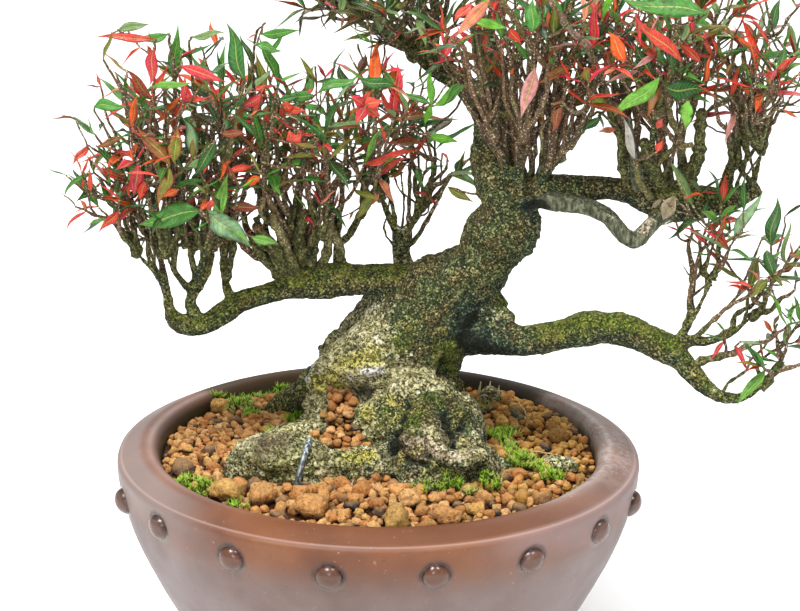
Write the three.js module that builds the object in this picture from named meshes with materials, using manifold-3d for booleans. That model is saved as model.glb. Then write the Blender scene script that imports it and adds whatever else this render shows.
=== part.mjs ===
// Asiatic jasmine bonsai in a round clay pot with a row of domed studs.
// Millimetres, +Z up, the front towards -Y. The origin is the centre of the pot's flat underside.

import * as THREE from 'three';
import { mergeVertices } from 'three/addons/utils/BufferGeometryUtils.js';
import Module from 'manifold-3d';

const wasm = await Module();
wasm.setup();

// Driving dimensions of the pot
const POT_HEIGHT = 76;
const POT_FACETS = 32;
const FOOT_RADIUS = 47;
const FOOT_HEIGHT = 5;
const FLOOR_TOP = 13;
const STUD_COUNT = 16;
const STUD_RADIUS = 4.4;
const STUD_CENTRE = { radius: 82.9, height: 61.3 };
const STUD_TILT = 0.5;
const DRAIN_COUNT = 3;
const DRAIN_RADIUS = 5.5;
const DRAIN_PLACE = 25;
const DRAIN_SLOT = { width: 7, height: 3 };

// Driving dimensions of the soil, the drainage mesh and the tie wire
const GAP = 0.3;
const WALL_GAP = 0.45;
const SOIL_EDGE = 71.5;
const SOIL_MOUND = 6;
const SOIL_RADIUS = 71;
const GRAIN_PITCH = 9.6;
const GRAIN_HEIGHT = 2.6;
const MESH_SIZE = 19;
const MESH_THICKNESS = 1.2;
const MESH_CELLS = 2;
const MESH_HOLE = 6.4;
const WIRE_RADIUS = 1.2;
const WIRE_SIDES = 6;

// Driving dimensions of the leaves
const LEAF_LENGTH = { shortest: 11, spread: 7 };
const LEAF_WIDTH_SHARE = 0.36;
const LEAF_THICKNESS = 0.9;
const TWIG_TIP_RADIUS = 0.6;
const NODE_HALF = 0.7;
const TWIGS_PER_SPRAY = 3;
const TWIG_STEPS = 3;
const STEM_STEPS = 5;
const TWIG_SWAY = 1.6;

// Clearances between the nodes
const CLEARANCE = 0.6;

// Wood members: points are [x, y, z, radius] from the parent's heart outwards
const TRUNK = [
  [0.5, 15, 60, 17], [0.5, 15, 70, 26], [0.7, 14, 78, 26.6], [1.2, 14, 86, 25], [1.6, 14, 94.5, 23],
  [7, 13, 105, 20.8], [17.6, 10, 118.4, 16.4], [27.6, 7, 130, 12.6], [34.8, 5, 139, 11],
  [38.8, 2, 148, 12], [40.5, 0, 155.9, 10], [39, 0, 162.5, 9.6], [36.7, 2, 169.5, 8.6],
  [35.4, 6, 176, 7], [36.5, 18, 184.9, 5.4], [34.6, 28, 197.2, 4.4], [31.2, 33, 209, 3.6],
];

const ROOTS = {
  knee: [[9.4, 8, 91, 15], [12.7, -5, 87.5, 15], [16.6, -16, 80.4, 16.8], [19.2, -22, 69.5, 15], [19.2, -22, 62, 9]],
  kneeRight: [[27, 0, 89, 8], [34, -14, 83.2, 5], [36.9, -20, 76.9, 4.4], [37.2, -24, 67, 4]],
  barkRing: [[15.7, -29, 90.6, 3.4], [19.5, -34, 85.4, 3], [25.9, -34.6, 82.4, 3], [31.7, -31, 83, 3],
    [35.2, -29, 77.9, 3], [35.4, -27, 70, 3]],
  front: [[16.6, -20, 77.3, 7], [7, -22, 76.6, 6.8], [-9, -23, 76.1, 7.2], [-21.9, -24, 77, 8.8],
    [-34.7, -22, 77.5, 9.6], [-41, -20, 75.3, 7.6], [-45.5, -19, 68, 5]],
  diagonal: [[-37.6, -14, 76.1, 6], [-27.3, 0, 77.6, 4.8], [-16.1, 12, 77.9, 5]],
  leftBack: [[-13, 20, 89.4, 10], [-25.1, 32, 80.1, 6], [-33, 37, 74.5, 4], [-39, 40, 66, 3]],
  rightBack: [[18, 15, 91.2, 10], [31.8, 20, 84.8, 5.4], [41, 23, 79.3, 3.6], [48, 25, 70, 3]],
  surfacing: [[33, -12, 79.5, 5], [47.4, -14, 75.6, 3.2], [57, -15, 74.6, 3.2], [65.1, -17, 68, 2.4]],
};

const LIMBS = {
  left: [[11.3, 12, 126.3, 6.8], [-0.1, 11, 127.5, 6.2], [-13, 8, 128, 5.8], [-24.3, 4, 128.5, 4.9],
    [-32.3, 2, 127, 3.6], [-38.6, 0, 125.5, 3.3], [-45, -2, 124.1, 3.4], [-50.7, -4, 120.6, 3.8],
    [-56.8, -5, 117.2, 3.3], [-62.8, -6, 117.1, 3], [-67, -6, 120.1, 2.7]],
  middle: [[11.4, 16, 122.1, 6], [7.7, 26, 128, 3.4], [6.7, 28, 132.9, 2.9], [6.3, 29, 139.4, 2.6]],
  rightLow: [[24, 5, 113.4, 8], [38.9, 0, 112.5, 5.9], [45.3, -3, 112.2, 5.1], [52.2, -6, 114, 5],
    [58.4, -9, 116.8, 4.7], [64.6, -11, 118.9, 5.4], [71.5, -13, 120.3, 5.2], [77.8, -14, 120.1, 5.3],
    [84.5, -15, 117.8, 4.7], [90.6, -16, 115.5, 4.6], [95.1, -16, 113.5, 4.2]],
  rightUpper: [[39.3, -1, 162, 5.6], [50.3, -4, 164.2, 4.3], [61.3, -5, 164.6, 3.9], [73, -5, 164.4, 3.9],
    [82, -4, 162.9, 4.5], [93.3, -3, 160.4, 5], [103, -2, 158.9, 4.4], [112.6, 0, 159.7, 3.4],
    [120.7, 2, 163.5, 2.6]],
  rightPale: [[41, -3, 158.5, 4], [53.3, -9, 160.7, 2.8], [64.3, -11.5, 160.2, 2.7], [71.6, -12.5, 157.3, 2.7],
    [76.8, -12.5, 151.4, 2.6], [81, -12, 149.4, 2.7], [84.4, -11, 152.8, 2.6], [88.8, -9, 156.8, 2.6],
    [95, -5, 158.6, 2.8]],
  back: [[35.5, 8, 178, 6], [34, 14, 183, 4.7], [26.7, 30, 188.3, 3.7], [16, 40, 194.6, 3.1], [5.5, 46, 202.4, 2.4]],
};

const STUBS = {
  sawnLow: [[37, 2, 114, 4], [40.2, 0, 119.5, 3.2], [41.4, -1, 123, 2.9]],
  sawnHigh: [[50.4, -9, 172, 1.8], [54, -10, 174.4, 1.7], [58, -11, 176.4, 1.5]],
  deadRight: [[81.9, -6, 163.2, 1.8], [79.3, -14, 176.2, 1.5], [77.8, -16.5, 184.5, 1.2], [76.7, -18.5, 191.9, 0.7]],
};

// Risers carry one spray each at their flat ends: wood points, then the spray's crown and reach
const RISERS = {
  left_1: { wood: [[-67, -6, 119.6, 2.6], [-67.9, -6, 126.5, 2.2], [-69.4, -6, 135.2, 2], [-70.4, -7, 142.2, 1.8]],
    crown: [-81, -2, 181], reach: [10, 12, 18] },
  left_2: { wood: [[-68.8, -6, 131, 2], [-72, -10, 137, 1.7], [-76.5, -13, 142.6, 1.4]],
    crown: [-82, -14, 163], reach: [9, 9, 13] },
  left_3: { wood: [[-58.4, -5, 118.5, 3], [-60.9, -5, 124.9, 2.7], [-58.7, -4, 130, 2.6], [-59.9, -4, 137, 2.3],
    [-61.3, -4, 142.7, 2]], crown: [-64, 2, 186], reach: [13, 13, 18] },
  left_4: { wood: [[-59, -4.3, 131.5, 2], [-57.4, -9.5, 138, 1.8], [-55.6, -13, 144.5, 1.6]],
    crown: [-56, -20, 170], reach: [14, 10, 15] },
  left_5: { wood: [[-58.4, -4, 129.6, 2.4], [-55.5, -2, 134.1, 2.1], [-53.8, 0, 140.6, 1.8]],
    crown: [-49, 0, 186], reach: [13, 12, 18] },
  left_6: { wood: [[-47.6, -2, 123.7, 2.6], [-50, 3, 129.5, 2.1], [-51.1, 8, 134.6, 1.8], [-50.4, 13, 140.4, 1.6]],
    crown: [-54, 24, 178], reach: [15, 13, 17] },
  left_7: { wood: [[-20.1, 6, 128.7, 4.6], [-27.7, 13, 131, 3.9], [-33.6, 18.5, 134, 3], [-37, 22, 139, 2.4],
    [-38, 23.6, 144.5, 2.1]], crown: [-36, 28, 176], reach: [14, 13, 18] },
  left_8: { wood: [[-26, 10, 130.2, 3.4], [-25.6, 10, 136, 2.6], [-27.4, 8, 142, 2]],
    crown: [-32, 4, 181], reach: [13, 13, 18] },
  left_9: { wood: [[-11.5, 9, 129.6, 3.6], [-13.4, 13, 134, 2.7], [-14.3, 16, 139, 2.2], [-15.4, 17, 144.2, 1.9]],
    crown: [-16, 18, 182], reach: [12, 13, 18] },
  left_10: { wood: [[-26.2, 9.4, 134.6, 2.4], [-22, 5, 139, 1.8], [-19.6, 1, 145, 1.5]],
    crown: [-16, -6, 175], reach: [13, 11, 16] },
  left_red_1: { wood: [[-60.2, -4.6, 128, 1.9], [-64.5, -9.5, 135, 1.6], [-67.6, -13, 142.5, 1.4]],
    crown: [-70, -18, 187], reach: [11, 9, 15], red: true },
  left_red_2: { wood: [[-14.2, 15.4, 138, 1.9], [-9.6, 13, 143, 1.7], [-6.6, 11, 149, 1.5]],
    crown: [-1, 8, 184], reach: [11, 10, 13], red: true },
  middle_1: { wood: [[6.3, 29, 137.4, 2.4], [3, 30, 143, 1.9], [0.4, 31, 149, 1.6]],
    crown: [-2, 38, 172], reach: [12, 11, 15] },
  middle_2: { wood: [[6.3, 29, 136.4, 2.4], [10.4, 30.6, 142, 1.9], [13.6, 32, 148, 1.6]],
    crown: [17, 37, 166], reach: [12, 10, 14] },
  back_1: { wood: [[12, 42, 197, 2.6], [5.5, 46, 202.4, 2.3], [0, 48, 206, 2]],
    crown: [-12, 46, 211], reach: [14, 12, 15] },
  back_2: { wood: [[16, 40, 193.6, 2.6], [17.4, 44, 201, 2.2], [17.6, 47, 207.6, 1.9]],
    crown: [15, 49, 228], reach: [14, 12, 15] },
  back_3: { wood: [[26.7, 30, 187.3, 3], [18, 28, 192, 2.3], [11, 25, 198, 1.8]],
    crown: [6, 24, 216], reach: [13, 10, 14] },
  top_1: { wood: [[32.6, 31.5, 204, 3.8], [31.6, 33, 212, 3.2], [33.6, 31.4, 220.8, 2.2]],
    crown: [38, 27, 238], reach: [15, 13, 14] },
  centre_1: { wood: [[41.3, -4, 165.6, 3], [39.1, -10, 174.6, 2.1], [35.6, -13, 181.6, 1.8]],
    crown: [29, -14, 213], reach: [12, 11, 17] },
  centre_2: { wood: [[43.7, -5, 164.9, 3], [43, -14, 175.7, 2], [43.9, -18, 183.1, 1.7]],
    crown: [45, -22, 222], reach: [12, 10, 17] },
  centre_3: { wood: [[49.6, -5, 163.4, 3], [50.8, -9, 172.8, 2.3], [52.4, -9.4, 180.3, 1.9]],
    crown: [57, -7, 216], reach: [12, 11, 17] },
  centre_4: { wood: [[40.5, 2, 164.6, 4], [46, 8, 173, 2.4], [48.4, 12, 181, 1.9]],
    crown: [52, 18, 213], reach: [14, 12, 17] },
  centre_red_1: { wood: [[50.4, -9, 169, 2], [54.6, -14.5, 175, 1.7], [58.6, -18.5, 181.5, 1.4]],
    crown: [63, -23, 208], reach: [9, 8, 13], red: true },
  right_1: { wood: [[82.5, -5, 163.1, 3.6], [78.2, -8, 172.1, 2.6], [75.9, -9, 180.8, 2.3], [74.3, -8.4, 187.3, 2]],
    crown: [72, -2, 211], reach: [10, 11, 15] },
  right_2: { wood: [[87, -4, 162.1, 3.8], [84.6, -12, 174, 2.8], [84.6, -15.4, 183, 2.2], [85.4, -17, 190.3, 1.9]],
    crown: [87, -23, 214], reach: [13, 10, 15] },
  right_3: { wood: [[97, -3, 160.6, 4], [95.4, -4, 172.5, 2.9], [94.2, -3, 180.6, 2.4], [95.2, -2, 188.4, 2]],
    crown: [97, 0, 215], reach: [13, 12, 16] },
  right_4: { wood: [[108.5, -1, 158.4, 3.8], [110.8, 1, 168.7, 2.7], [112.9, 2, 178.6, 2.1]],
    crown: [119, 4, 203], reach: [13, 13, 17] },
  right_5: { wood: [[92.9, 0, 158.9, 3.6], [91.9, 12, 167.3, 2.4], [90.6, 17, 175.6, 2]],
    crown: [86, 22, 202], reach: [15, 12, 17] },
  right_6: { wood: [[112.6, 0, 158.7, 3], [119.4, 8, 164, 2.2], [122, 14, 171, 1.8]],
    crown: [116, 23, 190], reach: [12, 10, 14] },
  right_red_1: { wood: [[111, 1.2, 169.4, 2], [115.4, -4.6, 174, 1.7], [118, -9, 180, 1.5]],
    crown: [114, -17, 199], reach: [11, 9, 14], red: true },
  low_1: { wood: [[93.2, -16, 113.9, 3.4], [98.7, -17, 117.6, 2.7], [103.7, -18, 118, 2.5], [111, -20, 121.1, 2.2],
    [116.9, -21, 126.5, 1.8]], crown: [122, -20, 143], reach: [10, 10, 12] },
  low_2: { wood: [[93.8, -16, 114.2, 4.3], [99, -18, 108.2, 4.5], [103.8, -20, 103.6, 4.2], [109.2, -22, 100.6, 3.4],
    [115.4, -24, 101.3, 2.8], [120.7, -26, 105.5, 2.2]], crown: [127, -30, 120], reach: [10, 10, 11] },
  low_3: { wood: [[93.7, -16, 115, 2.4], [98.3, -18.4, 124.3, 1.9], [101.6, -20, 131.7, 1.7], [104.4, -20, 139, 1.5]],
    crown: [106, -18, 156], reach: [10, 9, 11] },
};

// Seeded random numbers: a small multiplicative generator
function randomFrom(seed) {
  let state = (seed * 7919 + 104729) % 2147483647;
  return () => {
    state = (state * 48271) % 2147483647;
    return state / 2147483647;
  };
}

const vector = (x, y, z) => new THREE.Vector3(x, y, z);

// A closed solid from a three.js geometry, or the geometry of a solid
function solid(geometry) {
  const bare = geometry.clone();
  bare.deleteAttribute('normal');
  bare.deleteAttribute('uv');
  const merged = mergeVertices(bare, 1e-4);
  const vertProperties = new Float32Array(merged.attributes.position.array);
  const triVerts = new Uint32Array(merged.index.array);
  return new wasm.Manifold(new wasm.Mesh({ numProp: 3, vertProperties, triVerts }));
}

function geometryOf(manifold) {
  const mesh = manifold.getMesh();
  const geometry = new THREE.BufferGeometry();
  geometry.setAttribute('position', new THREE.BufferAttribute(new Float32Array(mesh.vertProperties), 3));
  geometry.setIndex(new THREE.BufferAttribute(new Uint32Array(mesh.triVerts), 1));
  geometry.computeVertexNormals();
  return geometry;
}

function join(solids) {
  return solids.reduce((whole, next) => whole.add(next));
}

function closedGeometry(points, triangles) {
  const geometry = new THREE.BufferGeometry();
  const flat = points.flatMap((p) => [p.x, p.y, p.z]);
  geometry.setAttribute('position', new THREE.BufferAttribute(new Float32Array(flat), 3));
  geometry.setIndex(triangles.flat());
  return geometry;
}

function box(width, depth, height, centre) {
  const geometry = new THREE.BoxGeometry(width, depth, height);
  geometry.translate(centre.x, centre.y, centre.z);
  return solid(geometry);
}

function turned(profile, facets) {
  const outline = profile.map(([r, z]) => new THREE.Vector2(r, z));
  const geometry = new THREE.LatheGeometry(outline, facets, Math.PI / facets);
  geometry.rotateX(Math.PI / 2);
  return solid(geometry);
}

// Directions along a path of [x, y, z, radius] points
function tangents(path) {
  return path.map((_, i) => {
    const a = path[Math.max(i - 1, 0)];
    const b = path[Math.min(i + 1, path.length - 1)];
    return vector(b[0] - a[0], b[1] - a[1], b[2] - a[2]).normalize();
  });
}

// A tapered, slightly gnarled tube with flat ends; grow swells it on all sides
function tube(path, sides, gnarl = 0, grow = 0) {
  const ways = tangents(path);
  const points = [];
  const triangles = [];
  const last = path.length - 1;
  let normal = Math.abs(ways[0].z) > 0.8 ? vector(1, 0, 0) : vector(0, 0, 1);
  path.forEach(([x, y, z, radius], i) => {
    const way = ways[i];
    normal = normal.clone().addScaledVector(way, -normal.dot(way)).normalize();
    const across = way.clone().cross(normal);
    const centre = vector(x, y, z);
    if (i === 0) centre.addScaledVector(way, -grow);
    if (i === last) centre.addScaledVector(way, grow);
    for (let j = 0; j < sides; j++) {
      const angle = (2 * Math.PI * j) / sides;
      const wave = 0.6 * Math.sin(2 * angle + x * 0.21 + z * 0.13) + 0.4 * Math.sin(3 * angle + y * 0.3 - z * 0.19);
      const reach = radius * (1 + (i === last ? 0 : gnarl * wave)) + grow;
      points.push(centre.clone()
        .addScaledVector(normal, reach * Math.cos(angle))
        .addScaledVector(across, reach * Math.sin(angle)));
    }
  });
  for (let i = 0; i < last; i++) {
    for (let j = 0; j < sides; j++) {
      const [a, b] = [i * sides + j, i * sides + ((j + 1) % sides)];
      triangles.push([a, b, b + sides], [a, b + sides, a + sides]);
    }
  }
  for (let j = 1; j < sides - 1; j++) {
    triangles.push([0, j + 1, j]);
    triangles.push([last * sides, last * sides + j, last * sides + j + 1]);
  }
  return solid(closedGeometry(points, triangles));
}

// Pot: turned body on a low foot, rounded lip, studs under the shoulder, drain holes with slots
const POT_OUTSIDE = [
  [0, 0], [FOOT_RADIUS, 0], [FOOT_RADIUS, FOOT_HEIGHT], [52.5, FOOT_HEIGHT + 0.6],
  [61.5, 14.5], [73.5, 34.5], [79.2, 46.6], [85.3, 67], [84.5, 72.2], [79.6, 75],
];
const POT_INSIDE = [
  [75.5, POT_HEIGHT], [72, 74.4], [71.5, 72], [68.8, 52], [60, 27], [45, FLOOR_TOP], [0, FLOOR_TOP],
];

function aroundDrains(place) {
  return Array.from({ length: DRAIN_COUNT }, (_, i) => {
    const turn = (2 * Math.PI * (i + 0.25)) / DRAIN_COUNT;
    return { turn, centre: vector(Math.cos(turn) * place, Math.sin(turn) * place, 0) };
  });
}

function makePot() {
  let pot = turned([...POT_OUTSIDE, ...POT_INSIDE], POT_FACETS);
  for (let i = 0; i < STUD_COUNT; i++) {
    const turn = (2 * Math.PI * (i + 0.5)) / STUD_COUNT - Math.PI / 2;
    const dome = new THREE.SphereGeometry(STUD_RADIUS, 8, 4);
    dome.scale(1, 0.62, 1);
    dome.rotateX(-STUD_TILT);
    dome.translate(0, STUD_CENTRE.radius, STUD_CENTRE.height);
    dome.rotateZ(turn - Math.PI / 2);
    pot = pot.add(solid(dome));
  }
  aroundDrains(DRAIN_PLACE).forEach(({ turn, centre }) => {
    const hole = new THREE.CylinderGeometry(DRAIN_RADIUS, DRAIN_RADIUS, 4 * FLOOR_TOP, 12);
    hole.rotateX(Math.PI / 2);
    hole.translate(centre.x, centre.y, 0);
    const slot = new THREE.BoxGeometry(FOOT_RADIUS, DRAIN_SLOT.width, 2 * DRAIN_SLOT.height);
    slot.translate(DRAIN_PLACE + FOOT_RADIUS / 2, 0, 0);
    slot.rotateZ(turn);
    pot = pot.subtract(solid(hole)).subtract(solid(slot));
  });
  return pot;
}

// Drainage mesh: a small square grid plate over each drain hole, on the pot's floor
function meshPlate(grow = 0) {
  const size = MESH_SIZE + 2 * grow;
  return box(size, size, MESH_THICKNESS + 2 * grow, vector(0, 0, 0));
}

function makeDrainMesh({ turn, centre }) {
  let plate = meshPlate();
  const pitch = MESH_SIZE / MESH_CELLS;
  for (let i = 0; i < MESH_CELLS; i++) {
    for (let j = 0; j < MESH_CELLS; j++) {
      const at = vector((i + 0.5 - MESH_CELLS / 2) * pitch, (j + 0.5 - MESH_CELLS / 2) * pitch, 0);
      plate = plate.subtract(box(MESH_HOLE, MESH_HOLE, 3 * MESH_THICKNESS, at));
    }
  }
  return placeOnFloor(plate, turn, centre);
}

function placeOnFloor(plate, turn, centre) {
  const geometry = geometryOf(plate);
  geometry.rotateZ(turn);
  geometry.translate(centre.x, centre.y, FLOOR_TOP + GAP + MESH_THICKNESS / 2);
  return solid(geometry);
}

// Soil: the pot's filling with a mounded top of coarse grains, raised by a formula
function soilLevel(x, y) {
  const share = Math.min(Math.hypot(x, y) / SOIL_RADIUS, 1);
  return SOIL_EDGE + SOIL_MOUND * (1 - share * share);
}

function grainField() {
  const step = GRAIN_PITCH / Math.sqrt(3);
  const rise = step * Math.sqrt(0.75);
  const count = Math.ceil((SOIL_RADIUS + GRAIN_PITCH) / rise);
  const random = randomFrom(61);
  const width = 2 * count + 1;
  const top = [];
  for (let row = -count; row <= count; row++) {
    for (let column = -count; column <= count; column++) {
      const isGrain = (((column - row) % 3) + 3) % 3 === 0;
      const shake = isGrain ? 1.1 : 0.7;
      const x = (column + (Math.abs(row) % 2) / 2) * step + shake * (random() - 0.5);
      const y = row * rise + shake * (random() - 0.5);
      const lift = isGrain ? GRAIN_HEIGHT * (0.55 + 0.45 * random()) : -0.3 * GRAIN_HEIGHT * random();
      top.push(vector(x, y, soilLevel(x, y) + lift));
    }
  }
  const bottom = top.map((p) => vector(p.x, p.y, SOIL_EDGE - 10));
  const triangles = [];
  const quad = (a, b, c, d) => triangles.push([a, b, c], [a, c, d]);
  for (let row = 0; row < width - 1; row++) {
    const isShifted = Math.abs(row - count) % 2 === 1;
    for (let column = 0; column < width - 1; column++) {
      const a = row * width + column;
      const [b, c, d] = [a + 1, a + width + 1, a + width];
      const halves = isShifted ? [[a, b, c], [a, c, d]] : [[a, b, d], [b, c, d]];
      halves.forEach(([p, q, r]) => {
        triangles.push([p, q, r]);
        triangles.push([p + top.length, r + top.length, q + top.length]);
      });
    }
  }
  const edge = [];
  for (let i = 0; i < width - 1; i++) edge.push(i);
  for (let i = 0; i < width - 1; i++) edge.push(i * width + width - 1);
  for (let i = 0; i < width - 1; i++) edge.push(width * width - 1 - i);
  for (let i = 0; i < width - 1; i++) edge.push((width - 1 - i) * width);
  edge.forEach((a, i) => {
    const b = edge[(i + 1) % edge.length];
    quad(a, a + top.length, b + top.length, b);
  });
  return solid(closedGeometry([...top, ...bottom], triangles));
}

function makeSoil(carved) {
  const wall = POT_INSIDE.slice(2).map(([r, z]) => [Math.max(r - WALL_GAP, 0), z + (z < 72 ? GAP : 0)]);
  const up = [[0, 100], [wall[0][0], 100]];
  const filling = turned([...up, ...wall].reverse(), POT_FACETS);
  const crust = grainField();
  const core = box(400, 400, SOIL_EDGE - 9 + 40, vector(0, 0, (SOIL_EDGE - 9 - 40) / 2));
  let soil = filling.intersect(crust.add(core));
  carved.forEach((piece) => {
    soil = soil.subtract(piece);
  });
  return soil;
}

// Tie wire: a coated wire laid over the front root, its ends pushed into the soil
function wirePath() {
  return [
    [-24.2, -38, 62, WIRE_RADIUS], [-24.4, -38, 70, WIRE_RADIUS], [-24.4, -36.8, 78, WIRE_RADIUS],
    [-24, -33.4, 84.6, WIRE_RADIUS], [-23.4, -28.6, 88.2, WIRE_RADIUS], [-22.8, -22.6, 88.9, WIRE_RADIUS],
    [-22.2, -16.4, 86.4, WIRE_RADIUS], [-21.8, -12.4, 80.6, WIRE_RADIUS], [-21.6, -11, 73, WIRE_RADIUS],
    [-21.6, -11, 64, WIRE_RADIUS],
  ];
}

// Wood: trunk, buttress roots, limbs, sawn stubs and risers, grown as one piece
function makeWood(grow = 0) {
  const parts = [tube(TRUNK, 12, 0.05, grow)];
  Object.values(ROOTS).forEach((path) => parts.push(tube(path, path[0][3] > 12 ? 10 : 6, 0.07, grow)));
  if (grow === 0) {
    Object.values(LIMBS).forEach((path) => parts.push(tube(path, 6, 0.08)));
    Object.values(STUBS).forEach((path) => parts.push(tube(path, 4, 0.05)));
    Object.values(RISERS).forEach(({ wood }) => parts.push(tube(wood, 4, 0.04)));
  }
  return join(parts);
}

// Obstacles: sampled balls of everything grown so far, used to keep the growth apart
const obstacles = [];

function ballsAlong(path, part) {
  const balls = [];
  for (let i = 0; i < path.length - 1; i++) {
    const [a, b] = [path[i], path[i + 1]];
    const steps = Math.max(Math.round(Math.hypot(b[0] - a[0], b[1] - a[1], b[2] - a[2]) / 2.5), 1);
    for (let s = 0; s < steps; s++) {
      const t = s / steps;
      const [x, y, z, radius] = a.map((value, k) => value + (b[k] - value) * t);
      balls.push({ x, y, z, radius, part });
    }
  }
  const [x, y, z, radius] = path[path.length - 1];
  balls.push({ x, y, z, radius, part });
  return balls;
}

// Balls are clear when none comes near an obstacle; the root's own ones are let past at the start
function isClear(balls, root, rootShare) {
  return balls.every((ball, i) => obstacles.every((other) => {
    if (other.part === root && i < rootShare * balls.length) return true;
    const room = ball.radius + other.radius + CLEARANCE;
    const [dx, dy, dz] = [ball.x - other.x, ball.y - other.y, ball.z - other.z];
    return dx * dx + dy * dy + dz * dz > room * room;
  }));
}

const ATTEMPTS = 14;

function firstClear(make, ballsOf, root, rootShare) {
  for (let attempt = 0; attempt < ATTEMPTS; attempt++) {
    const candidate = make(attempt);
    const balls = ballsOf(candidate);
    if (isClear(balls, root, rootShare)) {
      obstacles.push(...balls);
      return candidate;
    }
  }
  return null;
}

// Sprays: a stem from the riser's end, twigs fanning to the crown's edge, leaves at their ends
function bend(a, b, c, t) {
  return a.clone().multiplyScalar((1 - t) * (1 - t))
    .addScaledVector(b, 2 * t * (1 - t))
    .addScaledVector(c, t * t);
}

function twigPath(start, control, end, radius, steps, random) {
  const path = [];
  for (let i = 0; i <= steps; i++) {
    const t = i / steps;
    const p = bend(start, control, end, t);
    const sway = i === 0 ? 0 : TWIG_SWAY;
    const [dx, dy, dz] = [random() - 0.5, random() - 0.5, random() - 0.5];
    path.push([p.x + sway * dx, p.y + sway * dy, p.z + sway * dz, radius + (TWIG_TIP_RADIUS - radius) * t]);
  }
  return path;
}

function growStem(spray, attempt) {
  const random = randomFrom(spray.seed * 101 + attempt * 17);
  const [before, seat] = spray.wood.slice(-2);
  const way = vector(seat[0] - before[0], seat[1] - before[1], seat[2] - before[2]).normalize();
  const start = vector(seat[0], seat[1], seat[2]).addScaledVector(way, GAP);
  const neck = start.clone().addScaledVector(way, 1.6);
  const [reachX, reachY, reachZ] = spray.reach;
  const shift = vector(0.5 * reachX * (random() - 0.5), 0.5 * reachY * (random() - 0.5), reachZ * (0.4 + 0.3 * random()));
  const end = vector(...spray.crown).add(shift);
  const control = neck.clone().addScaledVector(way, 0.4 * neck.distanceTo(end));
  const path = twigPath(neck, control, end, seat[3] * 0.92, STEM_STEPS, random);
  return [[start.x, start.y, start.z, seat[3]], ...path];
}

function growTwig(spray, stem, index, attempt) {
  const random = randomFrom(spray.seed * 977 + index * 31 + attempt * 7);
  const from = stem[2 + index];
  const start = vector(from[0], from[1], from[2]);
  const turn = index * 2.1 + spray.seed * 1.3 + 0.5 * attempt * (random() - 0.5);
  const lift = -0.3 + 0.35 * index + 0.4 * (random() - 0.5);
  const level = Math.cos(lift);
  const [reachX, reachY, reachZ] = spray.reach;
  const shift = vector(reachX * level * Math.cos(turn), reachY * level * Math.sin(turn), reachZ * Math.sin(lift));
  const end = vector(...spray.crown).add(shift);
  const control = start.clone().lerp(end, 0.5).add(vector(0, 0, -0.15 * start.distanceTo(end)));
  return twigPath(start, control, end, Math.min(1.1, from[3] * 0.9), TWIG_STEPS, random);
}

// Place 0 ends the twig; places 1 and 2 are the pair at its last node but one
function growLeaf(spray, twig, slot, place, attempt) {
  const random = randomFrom(spray.seed * 3331 + slot * 53 + attempt * 11);
  const [before, at] = place === 0 ? twig.slice(-2) : twig.slice(-3, -1);
  const base = vector(at[0], at[1], at[2]);
  const way = vector(at[0] - before[0], at[1] - before[1], at[2] - before[2]).normalize();
  const side = way.clone().cross(vector(0.3, 0.2, 1)).normalize();
  const turn = place * Math.PI + spray.seed + 0.25 * attempt * (random() - 0.5) + slot;
  const out = side.clone().multiplyScalar(Math.cos(turn))
    .addScaledVector(way.clone().cross(side), Math.sin(turn));
  const along = way.clone().multiplyScalar(place === 0 ? 1 : 0.45)
    .addScaledVector(out, place === 0 ? 0.3 : 1)
    .add(vector(0, 0, place === 0 ? -0.2 : 0))
    .normalize();
  const up = vector(0.6 * (random() - 0.5), 0.6 * (random() - 0.5) - 0.2, 1);
  up.addScaledVector(along, -up.dot(along)).normalize();
  const fullLength = LEAF_LENGTH.shortest + LEAF_LENGTH.spread * random();
  const length = fullLength * (attempt > 6 ? 0.72 : 1);
  return { base, along, up, length, width: length * LEAF_WIDTH_SHARE * (0.85 + 0.3 * random()),
    droop: 0.05 + 0.25 * random(), place };
}

function leafPoint(leaf, t, across, rise = 0) {
  const side = leaf.along.clone().cross(leaf.up);
  return leaf.base.clone()
    .addScaledVector(leaf.along, leaf.length * t)
    .addScaledVector(side, across)
    .addScaledVector(leaf.up, rise - leaf.droop * leaf.length * t * t);
}

function ballsOfLeaf(leaf, part) {
  const places = [[0.12, 0], [0.22, 0], [0.31, 0.34], [0.31, -0.34], [0.47, 0.34], [0.47, -0.34], [0.55, 0],
    [0.66, 0.3], [0.66, -0.3], [0.82, 0.12], [0.82, -0.12], [1, 0]];
  return places.map(([t, across]) => {
    const { x, y, z } = leafPoint(leaf, t, across * leaf.width);
    return { x, y, z, radius: 0.8, part };
  });
}

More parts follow.
